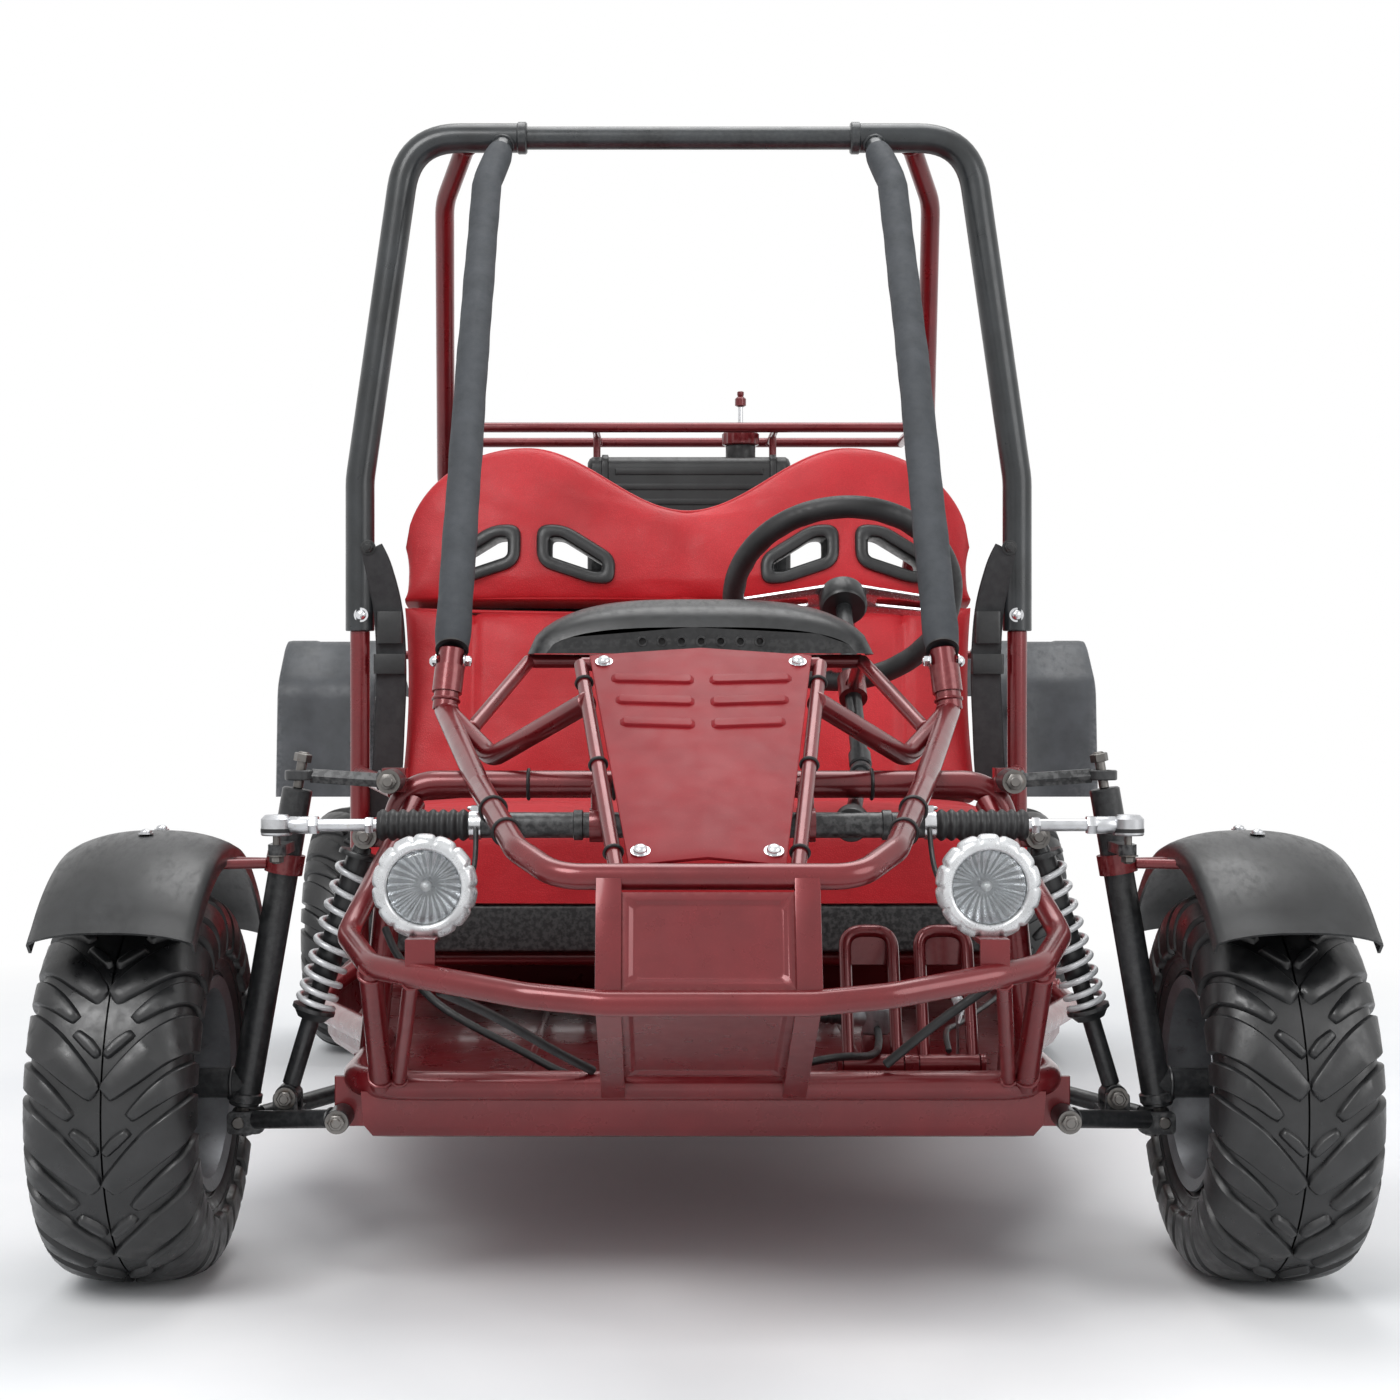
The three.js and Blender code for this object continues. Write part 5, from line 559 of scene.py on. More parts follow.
def tyre_rubber():
    """Glossy tyre rubber with dust in the low places and fine mould lines."""
    s = Shade("tyre_rubber").set(Specular_IOR_Level=0.6)
    base = s.mix(s.ranged(s.noise(35, 7), 0.35, 0.7), (0.006, 0.0065, 0.007), (0.017, 0.017, 0.018))
    dust = s.math("MULTIPLY", s.ranged(s.node("NewGeometry", _out="Pointiness"), 0.5, 0.44),
                  s.ranged(s.noise(18, 6), 0.4, 0.7))
    base = s.mix(s.math("MULTIPLY", dust, 0.5), base, (0.11, 0.095, 0.08))
    s.colour(base).roughness(s.ranged(s.noise(12, 6), 0.3, 0.7, 0.26, 0.5))
    return s.bump((s.noise(2.2, 4), 0.18, 0.5), (s.noise(20, 4), 0.5, 0.3)).material


def webbing():
    """Black seat-belt webbing: a twill of fine ribs."""
    s = Shade("webbing").set(Sheen_Weight=0.15)
    ribs = s.node("TexWave", _set={"bands_direction": "X"}, Vector=s.coords, Scale=420.0, Distortion=0.6)
    cross = s.node("TexWave", _set={"bands_direction": "Z"}, Vector=s.coords, Scale=300.0, Distortion=0.6)
    weave = s.math("MAXIMUM", ribs, cross)
    s.colour(s.mix(s.ranged(weave, 0.2, 0.9), (0.006, 0.006, 0.007), (0.022, 0.022, 0.024)))
    s.roughness(s.ranged(s.noise(12), 0.3, 0.7, 0.6, 0.85))
    return s.bump((weave, 0.4, 0.6), (s.noise(60, 3), 1.2, 0.2)).material


def glass():
    s = Shade("lens_glass").set(Transmission_Weight=1.0, IOR=1.46)
    smear = s.noise(26, 5)
    s.colour(s.mix(s.ranged(smear, 0.4, 0.7), (0.97, 0.98, 0.98), (0.9, 0.93, 0.94)))
    s.roughness(s.ranged(smear, 0.3, 0.7, 0.01, 0.06))
    return s.bump((s.noise(14, 3), 0.05, 0.2)).material


red = paint("frame_red", (0.122, 0.0045, 0.0075), (0.162, 0.0064, 0.0102), (0.24, 0.38), 0.5, 0.35,
            (0.20, 0.035, 0.035))
panel_red = paint("panel_red", (0.190, 0.0075, 0.0120), (0.235, 0.0092, 0.0145), (0.34, 0.46), 0.0, specular=0.16)
black = paint("satin_black", (0.007, 0.0075, 0.008), (0.018, 0.019, 0.021), (0.3, 0.5), 0.12, 0.0, (0.12, 0.12, 0.12))
hoop_black = paint("hoop_black", (0.010, 0.012, 0.013), (0.026, 0.030, 0.033), (0.26, 0.42), 0.2, 0.1,
                   (0.12, 0.12, 0.12))
foam_grey = moulded("pillar_foam", (0.040, 0.044, 0.049), (0.058, 0.063, 0.070), (0.7, 0.9), 1.1, 0.35, specular=0.3)
seat_red = vinyl()
plastic = moulded("black_plastic", (0.008, 0.0085, 0.009), (0.020, 0.021, 0.022), (0.34, 0.55), 0.9, 0.1,
                  (0.06, 0.06, 0.06))
grey = moulded("grey_plastic", (0.032, 0.036, 0.041), (0.058, 0.064, 0.072), (0.42, 0.62), 1.0, 0.12,
               (0.14, 0.14, 0.15))
black_rubber = moulded("black_rubber", (0.006, 0.006, 0.0065), (0.016, 0.016, 0.017), (0.45, 0.7), 1.2, 0.1)
tyre_black = tyre_rubber()
zinc = metal("zinc", (0.62, 0.63, 0.65), (0.24, 0.42), (1, 6, 6), 2.2, 0.04, (0.34, 0.30, 0.24))
bright = metal("bright_steel", (0.74, 0.75, 0.77), (0.14, 0.3), (1, 1, 1), 3.0, 0.02)
alloy = metal("cast_alloy", (0.42, 0.43, 0.45), (0.4, 0.62), (1, 1, 1), 1.6, 0.25, (0.16, 0.15, 0.14))
steel = metal("dark_steel", (0.20, 0.19, 0.18), (0.3, 0.5), (1, 5, 5), 2.0, 0.06, (0.12, 0.07, 0.04))
rim_grey = metal("rim_grey", (0.16, 0.165, 0.175), (0.34, 0.5), (1, 1, 1), 2.0, 0.06, (0.07, 0.065, 0.06), 0.6)
silver = metal("silver_plastic", (0.66, 0.67, 0.68), (0.22, 0.36), (1, 1, 1), 5.0, 0.03, metallic=0.55)
spring_white = paint("spring_white", (0.56, 0.57, 0.58), (0.72, 0.73, 0.74), (0.25, 0.4), 0.3, 0.25, (0.3, 0.3, 0.3))
web_black = webbing()
lens = glass()


# Frame: rails, hoops, stays, pan and everything welded to them.
def on_hoop(x, up):
    """A place in the upright plane of the roll hoop."""
    return P(x, hoop.back, up)


def on_swing(x):
    """A place on the swing arm's pivot, which is also the gearbox shaft."""
    return P(x, swing.pivot_back, swing.pivot_up)


def on_rack(x):
    """A place on the steering rack."""
    return P(x, steer.rack_back, steer.rack_up)


def rear_hub(x):
    """A place on the rear axle."""
    return P(x, wheelbase, rear_wheel.radius)


def across(place):
    """A place on the left and the same on the right."""
    return place * FLIP, place


def pillar_path(side):
    return [*(at(pillar, name, side) for name in ("foot", "mid", "high")), on_hoop(side * pillar.top_x, hoop.top_up)]


def kingpin_at(up):
    """The place on the right kingpin at a height."""
    return lerp(kingpin_foot, kingpin_top, (up - arm.ball_up) / (top_arm.outer_up - arm.ball_up))


kingpin_foot = P(arm.ball_x, 0, arm.ball_up)
kingpin_top = P(top_arm.outer_x, 0, top_arm.outer_up)
kingpin_length = np.linalg.norm(kingpin_top - kingpin_foot)
shock_top = P(shock.top_x, 0, shock.top_up)
shock_foot = P(arm.shock_x, 0, arm.shock_up)
rear_shock_top = P(0, rear_shock.top_back, rear_shock.top_up)
rear_shock_foot = P(0, swing.cross_back, rear_shock.foot_up)
tilt = math.radians(steer.tilt_degrees)
wheel_centre = at(steer, "wheel")
column_axis = P(0, math.cos(tilt), math.sin(tilt))
column_foot = wheel_centre - column_axis * steer.column_length
pinion_centre = on_rack(steer.pinion_x)
nose_foot = P(0, nose.foot_back, nose.foot_up)
nose_top = P(0, nose.top_back, nose.top_up)
nose_length = np.linalg.norm(nose_top - nose_foot)
nose_slope = unit(nose_top - nose_foot)
nose_out = P(0, -nose_slope[2], nose_slope[1])

frame_form, plates, pins, bolts = Form(), Form(), Form(), Form()
rail_path = both_sides([
    at(rail, "front"), P(rail.front_x, rail.kink_back, rail.front_up), P(rail.wide_x, rail.wide_back, rail.rear_up),
    at(rail, "rear"), P(rail.tail_x, rail.tail_back, rail.rear_up), at(rail, "top")])
hood_path = both_sides([at(hood, name) for name in ("front", "knee", "mid", "base")])
axle_hoop_path = both_sides([P(axle_hoop.top_x, axle_hoop.back, axle_hoop.top_up),
                             P(rail.front_x, axle_hoop.back, rail.front_up)])
for path, size in ((rail_path, rail), (hood_path, hood), (axle_hoop_path, axle_hoop)):
    frame_form.tube(bent(path, size.bend), size.radius, 24)
frame_form.strut(*across(at(rail, "top")), rail.radius, rail.radius, rail.radius, 24)
for side in (1, -1):
    base, stub, knee = at(hood, "base", side), at(pillar, "foot", side), at(brace, "knee", side)
    frame_form.strut(P(side * rail.rear_x, hoop.back, rail.rear_up), on_hoop(side * hoop.foot_x, hoop.foot_up - GAP),
                     rail.radius, rail.radius, 0, 24)
    frame_form.strut(base, stub, rail.radius, hood.radius, 0, 24)
    frame_form.ring(rail.radius - 2, rail.radius + 2.5, -15, 15, lerp(base, stub, 0.5), stub - base, 24)
    frame_form.tube(bent([base, knee, at(brace, "top", side)], 40), brace.radius, 24)
    frame_form.bead(along(base, knee, hood.radius), knee - base, brace.radius)
    frame_form.strut(P(side * axle_hoop.top_x, axle_hoop.back, axle_hoop.top_up - axle_hoop.radius / 2),
                     on_hoop(side * hoop.foot_x, side_bar.rear_up), side_bar.radius, axle_hoop.radius, rail.radius,
                     24)
    stay_path = [on_hoop(side * stay.top_x, hoop.top_up), at(stay, "shoulder", side), at(stay, "foot", side),
                 at(rail, "top", side)]
    frame_form.tube(bent(stay_path, stay.bend), stay.radius, 24)
    frame_form.bead(along(stay_path[0], stay_path[1], hoop.radius * 0.9), stay_path[1] - stay_path[0], stay.radius)
    # Ears and pins of the upper arm and the front shock.
    pivot, reach = P(side * top_arm.inner_x, 0, top_arm.inner_up), top_arm.bush_length / 2
    plates.box(pivot + P(-top_arm.bush_radius, reach + GAP, -top_arm.bush_radius),
               pivot + P(top_arm.bush_radius, axle_hoop.back, top_arm.bush_radius), 2)
    bolts.rod(pivot + B * axle_hoop.back, pivot - B * (reach + arm.ear_thick), arm.pin_radius)
    pins.bolt(pivot - B * (reach + GAP), -B, arm.ear_radius * 0.8, 6)
    eye, reach = P(side * shock.top_x, 0, shock.top_up), shock.eye_width / 2
    plates.box(P(side * (axle_hoop.top_x + 4), reach + GAP, shock.top_up - shock.eye_radius),
               P(side * (shock.top_x + shock.eye_radius), axle_hoop.back, shock.top_up + shock.eye_radius), 2)
    bolts.rod(eye + B * axle_hoop.back, eye - B * (reach + arm.ear_thick), shock.pin_radius)
    pins.bolt(eye - B * (reach + GAP), -B, shock.eye_radius * 0.75, 5)
    # Struts to the rear fender.
    share = (rear_fender.strut_up - rear_fender.foot_up) / (rear_fender.shoulder_up - rear_fender.foot_up)
    face = rear_fender.front_back + (rear_fender.shoulder_back - rear_fender.front_back) * share
    frame_form.strut(on_hoop(side * hoop.foot_x, rear_fender.strut_up),
                     P(side * (rear_fender.in_x + rear_fender.strut_radius * 3), face - GAP - 2,
                       rear_fender.strut_up),
                     rear_fender.strut_radius, rail.radius)
    share = (stay.foot_up - rear_fender.strut_top_up) / (stay.foot_up - rail.top_up)
    frame_form.strut(lerp(stay_path[2], stay_path[3], share),
                     P(side * (rear_fender.out_x + rear_fender.in_x) / 2, rear_fender.strut_back,
                       rear_fender.strut_top_up),
                     rear_fender.strut_radius, stay.radius)
    for end in (1, -1):
        pivot, reach = P(side * arm.inner_x, end * arm.inner_back, arm.inner_up), arm.bush_length / 2
        inner = end * (arm.inner_back - reach - GAP)
        plates.box(P(side * (arm.inner_x - arm.lug_width), inner - end * arm.lug_thick,
                     arm.inner_up - arm.ear_radius),
                   P(side * (arm.inner_x + arm.lug_reach), inner, rail.front_up), 2)
        bolts.rod(pivot - B * end * (reach + arm.lug_thick), pivot + B * end * (reach + 5), arm.pin_radius)
        if end < 0:
            pins.bolt(pivot - B * (reach + GAP), -B, arm.ear_radius * 0.75, 5)
    # Cross bolts through the pillar stub, and the hoop leg's bolt.
    spot = lerp(base, stub, 0.80)
    for end in (1, -1):
        bolts.bolt(spot + X * end * (rail.radius + 1), X * end, 6.5, 6, dome=end == side)
        bolts.rod(spot + X * end * rail.radius, spot + X * end * (rail.radius + 9), 3.4)
    bolts.bolt(P(side * (hoop.foot_x - 4), hoop.back - hoop.radius + 1.5, hoop.foot_up + 22), -B, 7.5, 5, dome=True)
    for back in (seat.front_tube_back, seat.rear_tube_back):
        up, bend = seat.base_up - seat.support_gap - seat.tube_radius, seat.post_x - seat.tube_radius * 3
        frame_form.rod(P(0, back, up), P(side * (bend + seat.tube_radius), back, up), seat.tube_radius)
        frame_form.strut(P(side * rail.rear_x, back, rail.rear_up), P(side * bend, back, up), seat.tube_radius,
                         rail.radius)


# The belly pan: a tray with a rolled rim and four pressed swages along it.
def pan_outline(inset):
    half = [(rail.front_x - inset, pan.front_back + inset - pan.inset), (rail.front_x - inset, rail.kink_back),
            (rail.wide_x - inset, rail.wide_back), (rail.rear_x - inset, pan.rear_back - inset + pan.inset)]
    return half + [(-x, back) for x, back in reversed(half)]


pan_floor = pan.bottom_up + pan.thick
pan_levels = ((0, rail.rear_up), (2, pan.bottom_up + 16), (10, pan.bottom_up + 4), (26, pan.bottom_up),
              (27, pan_floor),
              (12, pan_floor + 4), (5, pan.bottom_up + 18), (3, rail.rear_up))
pan_form = Form().skin([[P(x, back, up) for x, back in pan_outline(pan.inset + grow)] for grow, up in pan_levels],
                       loop=True)
pan_form.plate(U, pan_outline(pan.inset + 26), pan.bottom_up, pan_floor)
for x in (-190, -65, 65, 190):
    pan_form.tube([P(x, -40, pan_floor), P(x, 880, pan_floor)], 5, 10, squash=0.7)

# Rear rack, engine bearers, swing-arm ears and tank cradle.
cradle_up = tank.bottom_up - GAP - tank.cradle_radius
for place, radius in ((P(stay.foot_x, rack.front_back, rack.up), rack.radius),
                      (P(rack.x, rack.rear_back, rack.up), rack.radius),
                      (P(rack.x, tank.cradle_back, cradle_up), tank.cradle_radius)):
    frame_form.rod(*across(place), radius)
middle = (rack.front_back + rack.rear_back) / 2
for side in (1, -1):
    x = side * rack.post_x
    frame_form.strut(P(side * rack.x, rack.front_back - 2 * rack.radius, rack.up),
                     P(side * rack.x, rack.rear_back + rack.radius, rack.up), rack.radius)
    frame_form.strut(P(x, rack.front_back, rack.up), P(x, rack.rear_back, rack.up), rack.post_radius, rack.radius,
                     rack.radius)
    frame_form.rod(P(x, middle, rack.up), P(x, middle, tank.top_up + GAP), rack.post_radius)
bearer_up = engine.plate_up - rail.radius
tail_share = (bearer_up - rail.rear_up) / (rail.top_up - rail.rear_up)
tail_back = rail.tail_back + (rail.top_back - rail.tail_back) * tail_share
frame_form.tube(bent(both_sides([P(swing.x + swing.bush_width, swing.tube_back, swing.tube_up),
                                 P(rail.rear_x, swing.tube_back, rail.rear_up)]), 30), rail.radius, 24)
frame_form.strut(*across(P(rail.tail_x, tail_back, bearer_up)), rail.radius, rail.radius, rail.radius, 24)
for x in engine.bearer_x:
    frame_form.tube(bent([P(x, swing.tube_back, swing.tube_up), P(x, engine.front_back, bearer_up),
                          P(x, tail_back, bearer_up)], 40), engine.pipe_radius)
plates.box(P(engine.low_x, engine.front_back, engine.plate_up - engine.plate_thick),
           P(engine.high_x, engine.rear_back, engine.plate_up), 10)
ear_out = swing.ear_x + swing.ear_thick
for side in (1, -1):
    face = side * (swing.x + swing.bush_width / 2 + GAP)
    end = on_swing(face + side * swing.ear_thick)
    ear = [(swing.tube_back + rail.radius / 2, swing.tube_up),
           (swing.pivot_back + swing.bush_radius, swing.tube_up + 8),
           (swing.pivot_back + swing.bush_radius, swing.pivot_up + swing.bush_radius),
           (swing.pivot_back - swing.bush_radius, swing.pivot_up + swing.bush_radius)]
    plates.plate(X, rounded(ear, 9), face, end[0])
    bolts.rod(end, on_swing(side * (swing.x - swing.bush_width / 2)), swing.pin_radius)
    bolts.bolt(end, X * side, 11, 7)
    plates.plate(X, oblong(rear_shock.top_back - rear_shock.eye_radius, rear_shock.top_up - rear_shock.eye_radius,
                           rail.top_back, rail.top_up, 6), side * swing.ear_x, side * ear_out)
    bolts.bolt(rear_shock_top + X * side * ear_out, X * side, 9, 6)
bolts.pin(rear_shock_top, X * ear_out, rear_shock.pin_radius)


# Tubes under the nose panel, dash bar and posts, column bearing, rack saddles, pedal lugs.
def nose_tube(side):
    drop = nose_out * (nose.tube_radius + nose.thick + GAP)
    return (nose_foot + X * side * (nose.foot_x + nose.tube_out) - drop - nose_slope * hood.radius,
            nose_top + X * side * (nose.top_x + nose.tube_out) - drop)


dash_post = P(dash.post_x, dash.bar_back, dash.low_up - GAP - dash.post_radius)
bearing = wheel_centre - column_axis * steer.bearing_at
frame_form.rod(nose_tube(1)[1], nose_tube(-1)[1], nose.tube_radius)
frame_form.rod(*across(dash_post), dash.post_radius)
frame_form.strut(P(steer.wheel_x, *dash_post[1:]), bearing, dash.post_radius, 0, steer.bearing_radius)
frame_form.ring(steer.column_radius + GAP, steer.bearing_radius, -steer.bearing_length / 2, steer.bearing_length / 2,
                bearing,
                column_axis, 32)
rise = axle_hoop.top_up - steer.rack_up
for side in (1, -1):
    frame_form.strut(*nose_tube(side), nose.tube_radius, hood.radius)
    frame_form.strut(lerp(at(brace, "knee", side), at(hood, "base", side), 0.5),
                     P(side * dash_post[0], *dash_post[1:]),
                     dash.post_radius, brace.radius)
    saddle = on_rack(side * steer.saddle_x)
    frame_form.strut(P(side * steer.saddle_x, axle_hoop.back, axle_hoop.top_up),
                     saddle + P(0, -dash.post_radius, rise),
                     dash.post_radius, axle_hoop.radius)
    frame_form.rod(saddle + U * (rise + dash.post_radius), saddle + U * (steer.housing_radius + GAP),
                   dash.post_radius)
    plates.ring(steer.housing_radius + GAP, steer.housing_radius + 4, -9, 9, saddle, X, 28)
half = pedal.width / 2 + pedal.radius + pedal.lug_gap
lug_low, lug_high = pedal.brake_x - half - pedal.lug_thick, pedal.throttle_x + half + pedal.lug_thick
bolts.rod(P(lug_low, pedal.pivot_back, pedal.pivot_up), P(lug_high, pedal.pivot_back, pedal.pivot_up),
          pedal.pin_radius)
for low, high in ((lug_low, pedal.brake_x - half), (pedal.brake_x + half, pedal.throttle_x - half),
                  (pedal.throttle_x + half, lug_high)):
    plates.plate(X, oblong(pedal.pivot_back - pedal.sleeve_radius, pan.bottom_up + 1,
                           pedal.pivot_back + pedal.sleeve_radius,
                           pedal.pivot_up + pedal.sleeve_radius, 8), low, high)
plates.box(P(master.x - master.radius, master.back - master.radius, pan.bottom_up + 1),
           P(master.x + master.radius, master.back + master.radius, master.up - master.height / 2 - GAP), 3)
piece("frame_tubes", frame_form, "chassis", red, "frame_paint", "main_frame")
piece("frame_pan", pan_form, "chassis", red, "frame_paint", bevel=0.8)
piece("frame_plates", plates, "chassis", red, "frame_paint", bevel=1.0)
piece("frame_bolts", bolts, "chassis", bright, "zinc")
piece("frame_pins", pins, "chassis", steel, "zinc")

# Front bumper: bar, posts, framed upper plate, lower plate, struts and lamp brackets.
bar = both_sides([at(bumper, name) for name in ("face", "mid", "wide", "corner", "side", "rise", "end")])
bar_form, posts = Form().tube(bent(bar, bumper.bend), bumper.radius, 28), Form()
front_top = hood.front_back - bumper.post_depth / 2
bar_back = bumper.face_back + bumper.radius / 2
post = [(front_top, hood.front_up), (bar_back, bumper.plate_foot_up), (bar_back, bumper.face_up),
        (rail.front_back - bumper.radius, rail.front_up - rail.radius + 4),
        (rail.front_back + bumper.radius, rail.front_up),
        (bar_back + bumper.post_depth, bumper.face_up), (bar_back + bumper.post_depth, bumper.plate_foot_up),
        (hood.front_back, hood.front_up)]


def plate_spot(up):
    share = max(0, (up - bumper.plate_foot_up) / (hood.front_up - bumper.plate_foot_up))
    return P(0, bar_back + (front_top - bar_back) * share + 4, up)


def skid_spot(up):
    share = (bumper.face_up - up) / (bumper.face_up - rail.front_up)
    return P(0, bar_back + (rail.front_back - bumper.radius - bar_back) * share + 4, up)


def framed(form, foot, top, half, depth=6):
    """A sheet between two points with a raised frame pressed into it."""
    up = unit(top - foot)
    out = np.cross(up, X)
    out = out if out[1] < 0 else -out
    length = np.linalg.norm(top - foot)
    form.skin([[foot + X * a + up * b + out * lift for a, b in
                oblong(inset - half, inset, half - inset, length - inset, 5 if inset else 1)]
               for inset, lift in ((0, -depth), (0, 0), (7, 0), (11, -2.6), (13, -2.6))])


plate_half = bumper.post_x - bumper.post_width / 2 + 1
framed(posts, plate_spot(bumper.plate_foot_up - 4), plate_spot(bumper.plate_top_up), plate_half)
framed(posts, skid_spot(rail.front_up + rail.radius), skid_spot(bumper.face_up - bumper.radius), plate_half)
ledge = lamp.up - lamp.radius - GAP
for side in (1, -1):
    posts.plate(X, post, side * (plate_half - 1), side * (plate_half - 1 + bumper.post_width))
    bar_form.strut(at(bumper, "corner", side), P(side * bumper.strut_x, rail.front_back, rail.front_up),
                   bumper.radius,
                   bumper.radius, rail.radius, 24)
    bar_form.strut(P(side * bumper.strut_in_x, bumper.wide_back, bumper.wide_up),
                   P(side * bumper.strut_in_foot_x, rail.front_back, rail.front_up), bumper.radius - 4, bumper.radius,
                   rail.radius, 24)
    bracket = [(0, bumper.wide_up), (lamp.bracket, bumper.wide_up), (lamp.bracket, ledge - lamp.bracket),
               (lamp.ledge, ledge - lamp.bracket), (lamp.ledge, ledge), (0, ledge)]
    posts.plate(X, [(bumper.wide_back + back, up) for back, up in bracket], side * lamp.x - lamp.bracket_width / 2,
                side * lamp.x + lamp.bracket_width / 2)
piece("bumper_bar", bar_form, "chassis", red, "frame_paint", "front_bumper")
piece("bumper_posts", posts, "chassis", red, "frame_paint", bevel=1.2)


# Nose panel: two wings that meet at a crease, pressed ribs, domed bolts and cable ties on its tubes.
def nose_half(s):
    return nose.foot_x + (nose.top_x - nose.foot_x) * s / nose_length


def nose_spot(x, s, lift=0.0):
    share = abs(x) / nose_half(s)
    rise = nose.crease * (1 - share) ** 0.9 if share < 1 else 0.0
    return nose_foot + X * x + nose_slope * s + nose_out * (rise + lift)


def rib(panel, corners, height=2.6, slope=3.5):
    """A pressed rib: a flat-topped form with sloping sides."""
    flat = [np.array(p) for p in rounded(corners, 5, 3)]
    centre = np.mean(flat, axis=0)
    rings = []
    for inset, lift in ((0, -1.0), (0, 0.1), (slope, height), (slope + 1.2, height + 0.1)):
        sizes = [np.linalg.norm(centre - p) for p in flat]
        rings.append([nose_spot(*(p + (centre - p) / size * min(inset, size * 0.45)), lift) for p,
                      size in zip(flat, sizes)])
    panel.skin(rings)


panel, rows = Form(), []
for s in np.linspace(0, nose_length, 24):
    xs = [nose_half(s) * t for t in (-1, -0.985, -0.7, -0.35, -0.08, 0, 0.08, 0.35, 0.7, 0.985, 1)]
    rows.append([nose_spot(x, s) for x in xs] + [nose_spot(x, s, -nose.thick) for x in reversed(xs)])
panel.skin(rows)
nose_bolts, ties = Form(), Form()
for side in (1, -1):
    for row in range(3):
        s, w = nose.rib_top - row * (nose.rib_width + nose.rib_gap), nose.rib_width
        reach = min(nose.rib_length, nose_half(s)) - w
        rib(panel, [(side * a, s + d) for a, d in ((w / 2, -w / 2), (reach, w / 2), (reach, w * 1.4),
                                                   (w / 2, w / 2))])
    for s, inset in ((nose_length - 16, 13), (18, 12)):
        nose_bolts.bolt(nose_spot(side * (nose_half(s) - inset), s), nose_out, 6.5, 4.5, dome=True)
    for a, b, shares, radius, size in ((*nose_tube(side), (0.12, 0.5, 0.9), nose.tube_radius, 1.7),
                                       (at(hood, "mid", side), at(hood, "knee", side), (0.4, 0.75), hood.radius,
                                        1.8)):
        for share in shares:
            ties.hoop(lerp(a, b, share), b - a, radius + 1, size)
    for x in (88, 175):
        ties.hoop(P(side * x, axle_hoop.back, axle_hoop.top_up), X, axle_hoop.radius + 1, 1.8)
piece("nose_sheet", panel, "chassis", panel_red, "frame_paint", "nose_panel", bevel=0.5)
piece("nose_bolts", nose_bolts, "chassis", bright, "zinc")
piece("cable_ties", ties, "chassis", black_rubber, "rubber")


# Dash cowl: a low rounded hood, open below and behind, with a row of small holes along its front.
def dash_outline(grow, height):
    """Half-round outline of the cowl at one depth, from its left foot over the top to its right foot."""
    return [(dash.shift_x + (dash.half_width - grow) * t,
             dash.low_up + (height - dash.low_up) * max(0, (1 - abs(t) ** 3.2) ** 0.55))
            for t in np.linspace(-1, 1, 41)]


cowl, rings = Form(), []
for share, grow, height in ((0.0, 24, 658), (0.04, 12, 668), (0.10, 6, 676), (0.25, 2, 684), (0.5, 0, 690),
                            (0.8, 0, 693.5),
                            (1.0, 1, 694)):
    back = dash.front_back + (dash.rear_back - dash.front_back) * share
    rings.append([P(x, back, up) for x, up in dash_outline(grow, height)] +
                 [P(x, back + (0 if share else 3), up) for x, up in reversed(dash_outline(grow + 3.5, height - 3.5))])
cowl.skin(rings)
hole_xs = [dash.shift_x + dash.hole_span * (i / (dash.holes - 1) - 0.5) for i in range(dash.holes)]
cowl.plate(B, dash_outline(24, 658), dash.front_back, dash.front_back + 3,
           [circle(x, dash.hole_up, dash.hole_radius, 16) for x in hole_xs])
for x in hole_xs:
    r = dash.hole_radius
    cowl.turned([(r, -0.8), (r + 2, -0.8), (r + 2.4, 0.4), (r, 0.4)], P(x, dash.front_back, dash.hole_up), B, 20)
# A black box just behind the row of holes, with end walls, closes them off so they show dark: painted shade for the
# shaded inside of the hood.
span = dash.hole_span / 2 + 12
for low_x, high_x, low, high in ((-span, 2 - span, 2, 11), (span - 2, span, 2, 11), (-span, span, 9, 11)):
    cowl.box(P(dash.shift_x + low_x, dash.front_back + low, dash.hole_up - 9),
             P(dash.shift_x + high_x, dash.front_back + high, dash.hole_up + 9))
piece("dash_hood", cowl, "chassis", plastic, "black_plastic", "dash_cowl", sharp=30)

# Roll cage: hoop, crossbar with collars, pillars inside foam pads.
cage = Form()
for side in (1, -1):
    leg = [on_hoop(side * hoop.bar_x, hoop.top_up), on_hoop(side * hoop.top_x, hoop.top_up),
           on_hoop(side * hoop.foot_x, hoop.bend_up), on_hoop(side * hoop.foot_x, hoop.foot_up)]
    cage.tube(bent(leg if side > 0 else leg[::-1], hoop.bend), hoop.radius, 28)
    path = pillar_path(side)
    cage.tube(bent(path, pillar.bend), pillar.radius)
    cage.turned([(hoop.collar_radius - 2, -7), (hoop.collar_radius, -5), (hoop.collar_radius, 5),
                 (hoop.collar_radius - 2, 7),
                 (hoop.bar_radius, 7), (hoop.bar_radius, -7)], leg[0], X, 28)
    cage.bead(along(path[3], path[2], hoop.radius), path[2] - path[3], pillar.radius, 2.5)
cage.rod(*across(on_hoop(hoop.bar_x + 4, hoop.top_up)), hoop.bar_radius, 28)
piece("cage_tubes", cage, "chassis", hoop_black, "cage_paint", "roll_cage")
foot, mid, high, top = pillar_path(1)
pad_top = lerp(high, top, (pillar.pad_top_back - pillar.high_back) / (hoop.back - pillar.high_back))
path = bent([foot, mid, high, pad_top], pillar.bend)
fine = [lerp(a, b, t) for a, b in zip(path, path[1:])
        for t in np.linspace(0, 1, max(2, int(np.linalg.norm(b - a) / 14)), endpoint=False)] + [path[-1]]
radii = [pillar.pad_radius - 0.5 + 0.5 * math.sin(i * 0.9) * math.sin(i * 0.37) for i in range(len(fine))]
radii[0] = radii[-1] = pillar.pad_radius - 3
